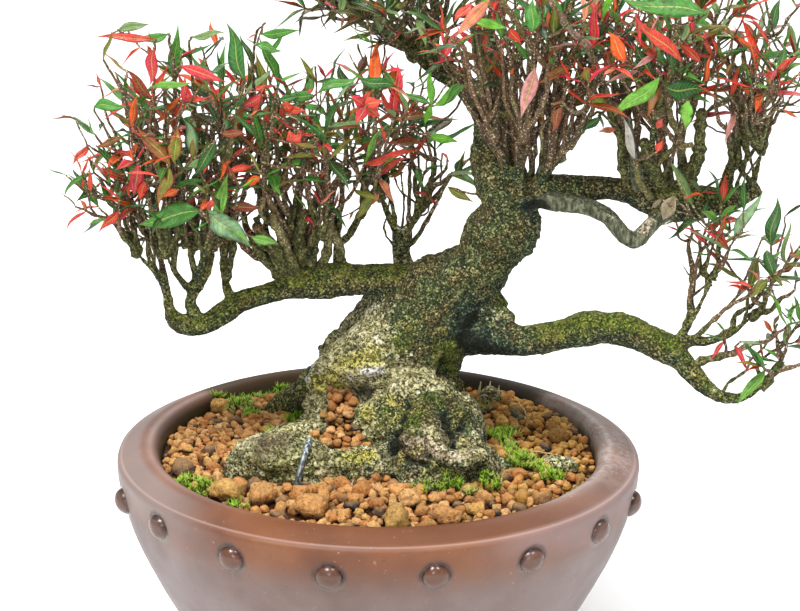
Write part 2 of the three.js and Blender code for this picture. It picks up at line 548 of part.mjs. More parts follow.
function growSprays() {
  [TRUNK, ...Object.values(ROOTS), ...Object.values(LIMBS), ...Object.values(STUBS)]
    .forEach((path) => obstacles.push(...ballsAlong(path, 'wood')));
  const sprays = Object.entries(RISERS).map(([name, riser], index) => ({
    name, ...riser, seed: index + 1, shoots: [],
  }));
  sprays.forEach((spray) => obstacles.push(...ballsAlong(spray.wood, spray.name)));
  sprays.forEach((spray) => {
    const part = `${spray.name} 0`;
    const stem = firstClear((attempt) => growStem(spray, attempt), (path) => ballsAlong(path, part), spray.name, 0.2);
    if (!stem) throw new Error(`no room for the stem of ${spray.name}`);
    spray.shoots.push({ path: stem, part, leaves: [] });
  });
  sprays.forEach((spray) => {
    const stem = spray.shoots[0];
    for (let i = 0; i < TWIGS_PER_SPRAY; i++) {
      const part = `${spray.name} ${i + 1}`;
      const path = firstClear((attempt) => growTwig(spray, stem.path, i, attempt),
        (candidate) => ballsAlong(candidate, part), stem.part, 0.4);
      if (path) spray.shoots.push({ path, part, leaves: [], nodeOnStem: 2 + i });
    }
  });
  sprays.forEach((spray) => spray.shoots.forEach((shoot, index) => {
    for (let place = 0; place < 3; place++) {
      const slot = index * 3 + place;
      const leaf = firstClear((attempt) => growLeaf(spray, shoot.path, slot, place, attempt),
        (candidate) => ballsOfLeaf(candidate, `${shoot.part} leaf`), shoot.part, 0.3);
      if (leaf) shoot.leaves.push(leaf);
    }
  }));
  return sprays;
}

// Faces of the sprays made so far, which the next one may not cross
const laidFaces = [];

function boxed(points) {
  return { points, box: new THREE.Box3().setFromPoints(points) };
}

function pierces(one, two) {
  return one.points.some((from, i) => {
    const to = one.points[(i + 1) % 3];
    if (two.points.includes(from) || two.points.includes(to)) return false;
    const way = to.clone().sub(from);
    const ray = new THREE.Ray(from, way.clone().normalize());
    const hit = ray.intersectTriangle(...two.points, false, vector(0, 0, 0));
    return hit !== null && hit.distanceTo(from) < way.length();
  });
}

function crosses(one, two) {
  return one.box.intersectsBox(two.box) && (pierces(one, two) || pierces(two, one));
}

// A skin of three-sided shoots: side shoots and leaves grow out of a face of their parent
class Skin {
  constructor() {
    this.points = [];
    this.faces = [];
  }

  boxedFace(face) {
    return boxed(face.map((i) => this.points[i]));
  }

  // Grows something, and takes it back if its faces cross each other or anything grown before
  attempt(grow) {
    const before = [...this.faces];
    grow();
    const fresh = this.faces.slice(before.length).filter((face) => face).map((face) => this.boxedFace(face));
    const old = before.filter((face, i) => this.faces[i]).map((face) => this.boxedFace(face));
    const isFree = fresh.every((face, i) =>
      ![...fresh.slice(i + 1), ...old, ...laidFaces].some((other) => crosses(face, other)));
    if (!isFree) this.faces = before;
    return isFree;
  }

  ring(points) {
    return points.map((p) => this.points.push(p) - 1);
  }

  // Joins two rings of three along the shorter diagonals and returns the faces between them
  bridge(from, to) {
    const apart = (a, b) => this.points[a].distanceToSquared(this.points[b]);
    const gap = (turn) => from.reduce((sum, a, j) => sum + apart(a, to[(j + turn) % 3]), 0);
    const best = [0, 1, 2].reduce((kept, turn) => (gap(turn) < gap(kept) ? turn : kept), 0);
    const first = this.faces.length;
    from.forEach((a, j) => {
      const b = from[(j + 1) % 3];
      const [c, d] = [to[(j + best) % 3], to[(j + 1 + best) % 3]];
      if (apart(b, c) < apart(a, d)) this.faces.push([a, b, c], [b, d, c]);
      else this.faces.push([a, b, d], [a, d, c]);
    });
    return Array.from({ length: 6 }, (_, i) => first + i);
  }

  // Takes away the free face that looks most nearly along a direction and returns its corners
  open(faces, direction) {
    const facing = (face) => {
      if (!this.faces[face]) return -Infinity;
      const [a, b, c] = this.faces[face].map((i) => this.points[i]);
      return b.clone().sub(a).cross(c.clone().sub(a)).normalize().dot(direction);
    };
    const best = faces.reduce((kept, face) => (facing(face) > facing(kept) ? face : kept), faces[0]);
    const corners = this.faces[best];
    this.faces[best] = null;
    return corners;
  }

  solid() {
    const faces = this.faces.filter((face) => face);
    laidFaces.push(...faces.map((face) => this.boxedFace(face)));
    return solid(closedGeometry(this.points, faces));
  }
}

// Three points round a path, the first of them on the side of a direction
function ringAt(centre, way, radius, direction) {
  const normal = direction.clone().addScaledVector(way, -direction.dot(way)).normalize();
  const across = way.clone().cross(normal);
  return [0, 1, 2].map((j) => centre.clone()
    .addScaledVector(normal, radius * Math.cos((2 * Math.PI * j) / 3))
    .addScaledVector(across, radius * Math.sin((2 * Math.PI * j) / 3)));
}

// A lance-shaped blade, flat above and keeled below, drooping to its tip
function growBlade(skin, root, leaf) {
  let last = root;
  [[0.3, 0.43], [0.64, 0.38]].forEach(([t, across]) => {
    const half = across * leaf.width;
    const ring = skin.ring([leafPoint(leaf, t, -half), leafPoint(leaf, t, half), leafPoint(leaf, t, 0, -LEAF_THICKNESS)]);
    skin.bridge(last, ring);
    last = ring;
  });
  const [tip] = skin.ring([leafPoint(leaf, 1, 0)]);
  last.forEach((a, j) => skin.faces.push([a, last[(j + 1) % 3], tip]));
}

// Lays a shoot's skin with a doubled ring at each inner point, where side growth opens a face.
// edges gives, by point, the direction in which the ring has its edge, away from what grows there.
function growShoot(skin, root, { path, leaves }, edges) {
  const ways = tangents(path);
  const nodeFaces = {};
  let last = root;
  let edge = vector(0.31, 0.87, 0.38);
  path.forEach(([x, y, z, radius], i) => {
    if (i === 0 && root) return;
    const centre = vector(x, y, z);
    edge = edges[i] ?? edge;
    const offsets = edges[i] ? [-NODE_HALF, NODE_HALF] : [0];
    offsets.forEach((offset, k) => {
      const ring = skin.ring(ringAt(centre.clone().addScaledVector(ways[i], offset), ways[i], radius, edge));
      if (last) {
        const faces = skin.bridge(last, ring);
        if (k === 1) nodeFaces[i] = faces;
      } else {
        skin.faces.push([ring[0], ring[2], ring[1]]);
      }
      last = ring;
    });
  });
  const terminal = leaves.find((leaf) => leaf.place === 0);
  const hasTerminal = terminal && skin.attempt(() => growBlade(skin, last, terminal));
  if (!hasTerminal) skin.faces.push(last);
  leaves.filter((leaf) => leaf.place > 0).forEach((leaf) => {
    skin.attempt(() => growBlade(skin, skin.open(nodeFaces[path.length - 2], leaf.along), leaf));
  });
  return nodeFaces;
}

function pairEdge({ path, leaves }) {
  const pair = leaves.find((leaf) => leaf.place > 0);
  const node = path.length - 2;
  return pair ? { [node]: tangents(path)[node].cross(pair.along) } : {};
}

function spraySolid(spray) {
  const skin = new Skin();
  const [stem, ...twigs] = spray.shoots;
  const stemEdges = pairEdge(stem);
  twigs.forEach((twig) => {
    const [a, b] = twig.path;
    twig.out = vector(b[0] - a[0], b[1] - a[1], b[2] - a[2]).normalize();
    stemEdges[twig.nodeOnStem] = twig.out.clone().negate();
  });
  const stemFaces = growShoot(skin, null, stem, stemEdges);
  twigs.forEach((twig) => skin.attempt(() => {
    growShoot(skin, skin.open(stemFaces[twig.nodeOnStem], twig.out), twig, pairEdge(twig));
  }));
  return skin.solid();
}

// Scene graph
const COLOURS = {
  pot: { color: 0x6b4a40, roughness: 0.55, metalness: 0 },
  mesh: { color: 0x1d2a22, roughness: 0.6, metalness: 0 },
  soil: { color: 0xa8683c, roughness: 0.95, metalness: 0 },
  wire: { color: 0x7f9a8c, roughness: 0.35, metalness: 0 },
  wood: { color: 0x5d5a34, roughness: 0.9, metalness: 0 },
  green: { color: 0x3f7d35, roughness: 0.45, metalness: 0 },
  red: { color: 0xc43a33, roughness: 0.5, metalness: 0 },
};

const bonsai = new THREE.Group();

function addNode(name, manifold, look) {
  const mesh = new THREE.Mesh(geometryOf(manifold), new THREE.MeshStandardMaterial(look));
  mesh.name = name;
  bonsai.add(mesh);
}

addNode('pot', makePot(), COLOURS.pot);
const drains = aroundDrains(DRAIN_PLACE);
drains.forEach((drain, i) => addNode(`drain_mesh_${i + 1}`, makeDrainMesh(drain), COLOURS.mesh));
const pockets = drains.map(({ turn, centre }) => placeOnFloor(meshPlate(GAP), turn, centre));
addNode('soil', makeSoil([makeWood(GAP + 0.08), tube(wirePath(), WIRE_SIDES, 0, GAP + 0.08), ...pockets]), COLOURS.soil);
addNode('tie_wire', tube(wirePath(), WIRE_SIDES), COLOURS.wire);
addNode('wood', makeWood(), COLOURS.wood);
growSprays().forEach((spray) => addNode(`spray_${spray.name}`, spraySolid(spray), spray.red ? COLOURS.red : COLOURS.green));

export default bonsai;
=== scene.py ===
# Asiatic jasmine bonsai in a round clay pot: the visual model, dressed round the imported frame.
# Sizes are in millimetres and turn into metres where a mesh is made. +Z is up, the front is -Y.

import math
import random

import bpy
import numpy as np
from mathutils import Matrix, Vector, noise
from mathutils.bvhtree import BVHTree


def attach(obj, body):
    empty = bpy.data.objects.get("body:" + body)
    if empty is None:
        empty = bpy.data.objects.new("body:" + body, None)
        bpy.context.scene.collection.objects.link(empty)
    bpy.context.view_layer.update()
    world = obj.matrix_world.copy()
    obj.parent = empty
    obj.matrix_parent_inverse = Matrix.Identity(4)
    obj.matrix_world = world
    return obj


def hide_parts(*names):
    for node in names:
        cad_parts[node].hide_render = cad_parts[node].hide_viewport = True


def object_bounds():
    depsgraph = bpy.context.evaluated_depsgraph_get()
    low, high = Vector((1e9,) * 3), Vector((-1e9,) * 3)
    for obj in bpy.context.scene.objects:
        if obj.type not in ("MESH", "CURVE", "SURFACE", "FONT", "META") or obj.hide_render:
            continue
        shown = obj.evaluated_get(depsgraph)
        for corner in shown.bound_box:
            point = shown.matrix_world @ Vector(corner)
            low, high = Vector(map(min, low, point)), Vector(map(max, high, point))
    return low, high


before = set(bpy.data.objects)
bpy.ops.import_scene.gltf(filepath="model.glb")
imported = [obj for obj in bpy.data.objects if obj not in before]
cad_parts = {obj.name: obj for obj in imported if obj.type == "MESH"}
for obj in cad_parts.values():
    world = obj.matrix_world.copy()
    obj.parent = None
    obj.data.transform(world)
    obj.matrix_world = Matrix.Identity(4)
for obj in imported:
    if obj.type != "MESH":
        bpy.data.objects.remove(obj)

cad_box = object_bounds()
MM = 0.001

# Pot
FOOT_RADIUS = 47
FLOOR_TOP = 13
WALL_START = (52.5, 5.6)
POT_WALL = [
    (61, 14), (67.4, 23.7), (73.5, 34.5), (79.2, 46.6), (82.3, 55.3), (84.5, 64), (85.1, 68.6),
    (85.25, 70.4), (85.2, 71.3), (84.85, 72), (84.1, 72.5), (82, 73.6), (79.2, 75), (77, 75.8), (75.2, 76),
    (73.4, 75.4), (72.1, 73.9), (71.5, 71.6), (70.6, 62), (68.8, 52), (65, 38), (60, 27), (53, 18),
]
FLOOR_EDGE = (45, FLOOR_TOP)
STUD_COUNT = 16
STUD_RADIUS = 4.5
STUD_FLATNESS = 0.82
STUD_PLACE = (83.4, 62.4)
STUD_TURN = math.radians(1.2)
STUD_TILT = 0.5
# Pressed on by hand: how far each stud that shows is turned (degrees) and raised (mm) from an even ring
STUD_SHIFTS = {
    0: (-0.2, 0.6), 1: (-0.4, 0.8), 2: (-1.6, 1.9), 3: (-3.0, 0.3), 12: (1.4, -0.3), 13: (0.6, 2.4),
    14: (0.3, 1.1), 15: (0, 0.1),
}
DRAIN_COUNT = 3
DRAIN_RADIUS = 5.5
DRAIN_PLACE = 25
DRAIN_SLOT = (7, 3)

# Soil
SOIL_EDGE = 71.5
SOIL_MOUND = 6
SOIL_RADIUS = 71
SOIL_WALL = [(44.6, 13.4), (59.4, 27.3), (68.3, 52), (70.9, 66)]
BED_DEPTH = 3.4
BED_RINGS = 44
BED_SIDES = 132
BED_LUMP = 0.5
BED_MIDDLE = 20

# Tie wire
WIRE_RADIUS = 1.2

# Wood members: points are (x, y, z, radius) from the parent's heart outwards
TRUNK = [
    (0.5, 15, 60, 17), (0.5, 15, 70, 26), (0.7, 14, 78, 26.6), (1.2, 14, 86, 25), (1.6, 14, 94.5, 23),
    (7, 13, 105, 20.8), (17.6, 10, 118.4, 16.4), (27.6, 7, 130, 12.6), (34.8, 5, 139, 11),
    (38.8, 2, 148, 12), (40.5, 0, 155.9, 10), (39, 0, 162.5, 9.6), (36.7, 2, 169.5, 8.6), (35.4, 6, 176, 7),
    (36.5, 18, 184.9, 5.4), (34.6, 28, 197.2, 4.4), (31.2, 33, 209, 3.6),
]
ROOTS = {
    "knee": [(9.4, 8, 91, 15), (12.7, -5, 87.5, 15), (16.6, -16, 80.4, 16.8), (19.2, -22, 69.5, 15),
             (19.2, -22, 62, 9)],
    "knee_right": [(26, 0, 88, 6.4), (31.6, -14, 82.6, 4.4), (35, -20, 76.6, 4), (36, -24, 67, 4)],
    "bark_ring": [(15.7, -29, 90.6, 3.4), (19.5, -34, 85.4, 3), (25.9, -34.6, 82.4, 3), (31.7, -31, 83, 3),
                  (35.2, -29, 77.9, 3), (35.4, -27, 70, 3)],
    "front": [(16.6, -20, 77.3, 7), (7, -22, 76.6, 6.8), (-9, -23, 76.1, 7.2), (-21.9, -24, 77, 8.8),
              (-34.7, -22, 77.5, 9.6), (-41, -20, 75.3, 7.6), (-45.5, -19, 68, 5)],
    "diagonal": [(-37.6, -14, 76.1, 6), (-27.3, 0, 77.6, 4.8), (-16.1, 12, 77.9, 5)],
    "left_back": [(-13, 20, 89.4, 10), (-25.1, 32, 80.1, 6), (-33, 37, 74.5, 4), (-39, 40, 66, 3)],
    "right_back": [(18, 15, 91.2, 8.8), (27, 19, 81.6, 4.2), (34, 22, 74, 2.8), (42, 24, 68, 2.2)],
    "surfacing": [(32, -12, 77.6, 4), (44, -14, 70.4, 2.2), (57, -15, 69, 2), (65.1, -17, 65, 2)],
}
LIMBS = {
    "left": [(11.3, 12, 126.3, 6.8), (-0.1, 11, 127.5, 6.2), (-13, 8, 128, 5.8), (-24.3, 4, 128.5, 4.9),
             (-32.3, 2, 127, 3.6), (-38.6, 0, 125.5, 3.3), (-45, -2, 124.1, 3.4), (-50.7, -4, 120.6, 3.8),
             (-56.8, -5, 117.2, 3.3), (-62.8, -6, 117.1, 3), (-67, -6, 120.1, 2.7)],
    "middle": [(11.4, 16, 122.1, 6), (7.7, 26, 128, 3.4), (6.7, 28, 132.9, 2.9), (6.3, 29, 139.4, 2.6)],
    "right_low": [(24, 5, 113.4, 8), (38.9, 0, 112.5, 5.9), (45.3, -3, 112.2, 5.1), (52.2, -6, 114, 5),
                  (58.4, -9, 116.8, 4.7), (64.6, -11, 118.9, 5.4), (71.5, -13, 120.3, 5.2),
                  (77.8, -14, 120.1, 5.3), (84.5, -15, 117.8, 4.7), (90.6, -16, 115.5, 4.6),
                  (95.1, -16, 113.5, 4.2)],
    "right_upper": [(39.3, -1, 162, 5.6), (50.3, -4, 164.2, 4.3), (61.3, -5, 164.6, 3.9),
                    (73, -5, 164.4, 3.9), (82, -4, 162.9, 4.5), (93.3, -3, 160.4, 5), (103, -2, 158.9, 4.4),
                    (112.6, 0, 159.7, 3.4), (120.7, 2, 163.5, 2.6)],
    "right_pale": [(41, -3, 158.5, 4), (53.3, -9, 160.7, 2.8), (64.3, -11.5, 160.2, 2.7),
                   (71.6, -12.5, 157.3, 2.7), (76.8, -12.5, 151.4, 2.6), (81, -12, 149.4, 2.7),
                   (84.4, -11, 152.8, 2.6), (88.8, -9, 156.8, 2.6), (95, -5, 158.6, 2.8)],
    "right_burl": [(80, -5, 163, 4.2), (87, -6, 161.5, 5.6), (94, -5, 160.5, 6), (101, -4, 160, 5.8),
                   (107, -3, 160, 4.6)],
    "back": [(35.5, 8, 178, 6), (34, 14, 183, 4.7), (26.7, 30, 188.3, 3.7), (16, 40, 194.6, 3.1),
             (5.5, 46, 202.4, 2.4)],
}
STUBS = {
    "ridge": [(-37.6, -16, 75.6, 6), (-29, -11, 80.2, 4.8), (-21.5, -8.4, 83.8, 4.2),
              (-15.4, -7.6, 85, 3.3)],
    "sawn_low": [(37, 2, 113.4, 4.6), (39.8, 0, 118, 3.6), (41, -1, 121, 3)],
    "side_burl": [(29, 6, 124, 9), (36, 4, 121.6, 6), (40, 3, 119.6, 4)],
    "sawn_high": [(50.4, -9, 172, 1.8), (54, -10, 174.4, 1.7), (58, -11, 176.4, 1.5)],
    "dead_right": [(81.9, -6, 163.2, 1.8), (79.3, -14, 176.2, 1.5), (77.8, -16.5, 184.5, 1.2),
                   (76.7, -18.5, 191.9, 0.7)],
}

# Risers carry one spray each at their ends: wood points, then the spray's crown and reach
RISERS = {
    "left_1": ([(-67, -6, 119.6, 2.6), (-67.9, -6, 126.5, 2.2), (-69.4, -6, 135.2, 2),
                (-70.4, -7, 142.2, 1.8)], (-81, -2, 181), (10, 12, 18)),
    "left_2": ([(-68.8, -6, 131, 2), (-72, -10, 137, 1.7), (-76.5, -13, 142.6, 1.4)], (-82, -14, 163),
                (9, 9, 13)),
    "left_3": ([(-58.4, -5, 118.5, 3), (-60.9, -5, 124.9, 2.7), (-58.7, -4, 130, 2.6), (-59.9, -4, 137, 2.3),
                (-61.3, -4, 142.7, 2)], (-64, 2, 186), (13, 13, 18)),
    "left_4": ([(-59, -4.3, 131.5, 2), (-57.4, -9.5, 138, 1.8), (-55.6, -13, 144.5, 1.6)], (-56, -20, 170),
                (14, 10, 15)),
    "left_5": ([(-58.4, -4, 129.6, 2.4), (-55.5, -2, 134.1, 2.1), (-53.8, 0, 140.6, 1.8)], (-49, 0, 186),
                (13, 12, 18)),
    "left_6": ([(-47.6, -2, 123.7, 2.6), (-50, 3, 129.5, 2.1), (-51.1, 8, 134.6, 1.8),
                (-50.4, 13, 140.4, 1.6)], (-54, 24, 178), (15, 13, 17)),
    "left_7": ([(-20.1, 6, 128.7, 4.6), (-27.7, 13, 131, 3.9), (-33.6, 18.5, 134, 3), (-37, 22, 139, 2.4),
                (-38, 23.6, 144.5, 2.1)], (-36, 28, 176), (14, 13, 18)),
    "left_8": ([(-26, 10, 130.2, 3.4), (-25.6, 10, 136, 2.6), (-27.4, 8, 142, 2)], (-32, 4, 181),
                (13, 13, 18)),
    "left_9": ([(-11.5, 9, 129.6, 3.6), (-13.4, 13, 134, 2.7), (-14.3, 16, 139, 2.2),
                (-15.4, 17, 144.2, 1.9)], (-16, 18, 182), (12, 13, 18)),
    "left_10": ([(-26.2, 9.4, 134.6, 2.4), (-22, 5, 139, 1.8), (-19.6, 1, 145, 1.5)], (-16, -6, 175),
                 (13, 11, 16)),
    "left_red_1": ([(-60.2, -4.6, 128, 1.9), (-64.5, -9.5, 135, 1.6), (-67.6, -13, 142.5, 1.4)],
                    (-70, -18, 187), (11, 9, 15)),
    "left_red_2": ([(-14.2, 15.4, 138, 1.9), (-9.6, 13, 143, 1.7), (-6.6, 11, 149, 1.5)], (-1, 8, 184),
                    (11, 10, 13)),
    "middle_1": ([(6.3, 29, 137.4, 2.4), (3, 30, 143, 1.9), (0.4, 31, 149, 1.6)], (-2, 38, 172),
                  (12, 11, 15)),
    "middle_2": ([(6.3, 29, 136.4, 2.4), (10.4, 30.6, 142, 1.9), (13.6, 32, 148, 1.6)], (17, 37, 166),
                  (12, 10, 14)),
    "back_1": ([(12, 42, 197, 2.6), (5.5, 46, 202.4, 2.3), (0, 48, 206, 2)], (-12, 46, 211), (14, 12, 15)),
    "back_2": ([(16, 40, 193.6, 2.6), (17.4, 44, 201, 2.2), (17.6, 47, 207.6, 1.9)], (15, 49, 228),
                (14, 12, 15)),
    "back_3": ([(26.7, 30, 187.3, 3), (18, 28, 192, 2.3), (11, 25, 198, 1.8)], (6, 24, 216), (13, 10, 14)),
    "top_1": ([(32.6, 31.5, 204, 3.8), (31.6, 33, 212, 3.2), (33.6, 31.4, 220.8, 2.2)], (38, 27, 238),
               (15, 13, 14)),
    "centre_1": ([(41.3, -4, 165.6, 3), (39.1, -10, 174.6, 2.1), (35.6, -13, 181.6, 1.8)], (29, -14, 213),
                  (12, 11, 17)),
    "centre_2": ([(43.7, -5, 164.9, 3), (43, -14, 175.7, 2), (43.9, -18, 183.1, 1.7)], (45, -22, 222),
                  (12, 10, 17)),
    "centre_3": ([(49.6, -5, 163.4, 3), (50.8, -9, 172.8, 2.3), (52.4, -9.4, 180.3, 1.9)], (57, -7, 216),
                  (12, 11, 17)),
    "centre_4": ([(40.5, 2, 164.6, 4), (46, 8, 173, 2.4), (48.4, 12, 181, 1.9)], (52, 18, 213),
                  (14, 12, 17)),
    "centre_red_1": ([(50.4, -9, 169, 2), (54.6, -14.5, 175, 1.7), (58.6, -18.5, 181.5, 1.4)],
                      (63, -23, 208), (9, 8, 13)),
    "right_1": ([(82.5, -5, 163.1, 3.6), (78.2, -8, 172.1, 2.6), (75.9, -9, 180.8, 2.3),
                 (74.3, -8.4, 187.3, 2)], (72, -2, 211), (10, 11, 15)),
    "right_2": ([(87, -4, 162.1, 3.8), (84.6, -12, 174, 2.8), (84.6, -15.4, 183, 2.2),
                 (85.4, -17, 190.3, 1.9)], (87, -23, 214), (13, 10, 15)),
    "right_3": ([(97, -3, 160.6, 4), (95.4, -4, 172.5, 2.9), (94.2, -3, 180.6, 2.4), (95.2, -2, 188.4, 2)],
                 (97, 0, 215), (13, 12, 16)),
    "right_4": ([(108.5, -1, 158.4, 3.8), (110.8, 1, 168.7, 2.7), (112.9, 2, 178.6, 2.1)], (119, 4, 203),
                 (13, 13, 17)),
    "right_5": ([(92.9, 0, 158.9, 3.6), (91.9, 12, 167.3, 2.4), (90.6, 17, 175.6, 2)], (86, 22, 202),
                 (15, 12, 17)),
    "right_6": ([(112.6, 0, 158.7, 3), (119.4, 8, 164, 2.2), (122, 14, 171, 1.8)], (116, 23, 190),
                 (12, 10, 14)),
    "right_red_1": ([(111, 1.2, 169.4, 2), (115.4, -4.6, 174, 1.7), (118, -9, 180, 1.5)], (114, -17, 199),
                     (11, 9, 14)),
    "low_1": ([(93.2, -16, 113.9, 3.4), (98.7, -17, 117.6, 2.7), (103.7, -18, 118, 2.5),
               (111, -20, 121.1, 2.2), (116.9, -21, 126.5, 1.8)], (122, -20, 143), (10, 10, 12)),
    "low_2": ([(93.8, -16, 114.2, 4.3), (99, -18, 108.2, 4.5), (103.8, -20, 103.6, 4.2),
               (109.2, -22, 100.6, 3.4), (115.4, -24, 101.3, 2.8), (120.7, -26, 105.5, 2.2)],
               (127, -30, 120), (10, 10, 11)),
    "low_3": ([(93.7, -16, 115, 2.4), (98.3, -18.4, 124.3, 1.9), (101.6, -20, 131.7, 1.7),
               (104.4, -20, 139, 1.5)], (106, -18, 156), (10, 9, 11)),
}

# Growth rule of the solids, which the finer sprays keep
BALL_STEP = 2.5
CLEARANCE = 0.6
ATTEMPTS = 14
SEAT_GAP = 0.3
NECK = 1.6
TWIG_TIP_RADIUS = 0.6
TWIG_SWAY = 1.6
STEM_STEPS = 5
TWIG_STEPS = 3
TWIGS_PER_SPRAY = 3
LEAF_SHORTEST = 11
LEAF_SPREAD = 7
LEAF_WIDTH_SHARE = 0.36

# Camera: the photograph's frame, and where the middle of the pot's lip plane lies in it
IMAGE_WIDTH = 800
IMAGE_HEIGHT = 611
FOCAL_LENGTH = 3457.8
VIEW_DISTANCE = 1130
VIEW_ELEVATION = math.radians(20.4)
VIEW_ROLL = 0.011
LIP_MIDDLE = Vector((0, 0, 76))
LIP_MIDDLE_PIXEL = (378.5, 441.6)
SENSOR_WIDTH = 36


def paint(red, green, blue):
    """A colour of 0 to 255 as the eye sees it, as the linear values that a shader takes"""
    def linear(value):
        share = value / 255
        return share / 12.92 if share <= 0.04045 else ((share + 0.055) / 1.055) ** 2.4
    return (linear(red), linear(green), linear(blue), 1.0)


def view_axes():
    """Eye, sideways, upwards and forwards of the camera that sees the lip's middle where the photo does"""
    right = Vector((1, 0, 0))
    view = Vector((0, math.cos(VIEW_ELEVATION), -math.sin(VIEW_ELEVATION)))
    up = right.cross(view)
    rolled_right = right + up * VIEW_ROLL
    rolled_up = up - right * VIEW_ROLL
    aim = view * FOCAL_LENGTH
    aim += rolled_right * (IMAGE_WIDTH / 2 - LIP_MIDDLE_PIXEL[0])
    aim += rolled_up * (LIP_MIDDLE_PIXEL[1] - IMAGE_HEIGHT / 2)
    aim.normalize()
    side = (rolled_right - aim * rolled_right.dot(aim)).normalized()
    return LIP_MIDDLE - view * VIEW_DISTANCE, side, side.cross(aim), aim


def line_of_sight(pixel):
    """The eye and the direction in which a pixel of the photograph looks"""
    eye, side, lift, aim = view_axes()
    across = (pixel[0] - IMAGE_WIDTH / 2) / FOCAL_LENGTH
    upwards = (IMAGE_HEIGHT / 2 - pixel[1]) / FOCAL_LENGTH
    return eye, (aim + side * across + lift * upwards).normalized()


def seen_at_depth(pixel, y):
    """The place that a pixel shows at this distance behind the pot's middle"""
    eye, way = line_of_sight(pixel)
    return np.array(eye + way * ((y - eye.y) / way.y))


def ramp_between(low, high, value):
    """0 below low, 1 above high and smooth between them"""
    share = np.clip((np.asarray(value, float) - low) / (high - low), 0, 1)
    return share * share * (3 - 2 * share)


def unit(vector):
    return vector / max(np.linalg.norm(vector), 1e-9)


def wobble(points, size, octaves=2, seed=0):
    """Smooth noise of about -1 to 1 whose lumps are about size across"""
    shift = Vector((seed * 17.3, seed * 5.1, seed * 9.7))
    return np.array([noise.fractal(Vector(p) / size + shift, 1.0, 2.0, octaves) for p in points])


def cracked(points, size, seed=0):
    """Distance to the nearest border between cells of about size across, 0 in the border"""
    shift = Vector((seed * 17.3, seed * 5.1, seed * 9.7))
    values = []
    for p in points:
        near = noise.voronoi(Vector(p) / size + shift)[0]
        values.append(near[1] - near[0])
    return np.array(values)


# Meshes

def make_piece(name, points, faces, material, stands_for=(), smooth=True):
    mesh = bpy.data.meshes.new(name)
    mesh.from_pydata((np.asarray(points) * MM).tolist(), [], faces)
    mesh.materials.append(material)
    mesh.polygons.foreach_set("use_smooth", [smooth] * len(mesh.polygons))
    mesh.update()
    piece = bpy.data.objects.new(name, mesh)
    bpy.context.collection.objects.link(piece)
    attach(piece, "root")
    if stands_for:
        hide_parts(*stands_for)
    return piece


def add_colours(piece, name, values):
    layer = piece.data.color_attributes.new(name, "FLOAT_COLOR", "POINT")
    layer.data.foreach_set("color", np.asarray(values, np.float32).ravel())


def add_places(piece, name, values):
    layer = piece.data.attributes.new(name, "FLOAT_VECTOR", "POINT")
    layer.data.foreach_set("vector", np.asarray(values, np.float32).ravel())


class Batch:
    """Many small shapes collected into one mesh, with a colour and a place on the shape for each point"""

    def __init__(self):
        self.points = []
        self.faces = []
        self.colours = []
        self.places = []
        self.count = 0

    def add(self, points, faces, colours, places=None):
        total = len(points)
        self.points.append(points)
        self.faces.extend([[i + self.count for i in face] for face in faces])
        self.colours.append(np.broadcast_to(colours, (total, 4)))
        self.places.append(np.zeros((total, 3)) if places is None else places)
        self.count += total

    def piece(self, name, material, slot, stands_for=(), smooth=True):
        points = np.concatenate(self.points)
        made = make_piece(name, points, self.faces, material, stands_for, smooth)
        add_colours(made, "tint", np.concatenate(self.colours))
        add_places(made, "place", np.concatenate(self.places))
        return made


def smooth_path(path, step):
    """A path of (x, y, z, radius) drawn through its points as a smooth curve, about a step apart"""
    rows = np.asarray(path, float)
    padded = np.vstack([2 * rows[0] - rows[1], rows, 2 * rows[-1] - rows[-2]])
    result = []
    for i in range(1, len(padded) - 2):
        before, start, end, after = padded[i - 1:i + 3]
        count = max(math.ceil(np.linalg.norm((end - start)[:3]) / step), 1)
        for k in range(count):
            t = k / count
            result.append(0.5 * (2 * start + (end - before) * t
                                 + (2 * before - 5 * start + 4 * end - after) * t * t
                                 + (3 * start - before - 3 * end + after) * t ** 3))
    result.append(rows[-1])
    return np.array(result)


def frames_along(path):
    """Direction, normal and across vectors that turn as little as they can along a path"""
    ways = np.gradient(path[:, :3], axis=0)
    ways /= np.linalg.norm(ways, axis=1, keepdims=True)
    normal = np.array([1.0, 0, 0]) if abs(ways[0][2]) > 0.8 else np.array([0, 0, 1.0])
    normals = []
    for way in ways:
        normal = unit(normal - way * normal.dot(way))
        normals.append(normal)
    normals = np.array(normals)
    return ways, normals, np.cross(ways, normals)


def ring_faces(rings, sides):
    """Faces of a tube of rings, closed at both ends"""
    faces = []
    for i in range(rings - 1):
        for j in range(sides):
            a, b = i * sides + j, i * sides + (j + 1) % sides
            faces.append([a, b, b + sides, a + sides])
    faces.append(list(range(sides))[::-1])
    faces.append([(rings - 1) * sides + j for j in range(sides)])
    return faces


def poled_faces(rings, sides):
    """Faces of rings of points that a single point closes before the first and after the last"""
    faces = [[0, 1 + j, 1 + (j + 1) % sides] for j in range(sides)]
    for i in range(rings - 1):
        for j in range(sides):
            a, b = 1 + i * sides + j, 1 + i * sides + (j + 1) % sides
            faces.append([a, a + sides, b + sides, b])
    start = 1 + (rings - 1) * sides
    faces += [[start + j, start + sides, start + (j + 1) % sides] for j in range(sides)]
    return faces


def circle(radius, sides, shift=0.0):
    """Places (x, y) round a circle, turned by a share of a step"""
    turns = [2 * math.pi * (j + shift) / sides for j in range(sides)]
    return [(radius * math.cos(turn), radius * math.sin(turn)) for turn in turns]


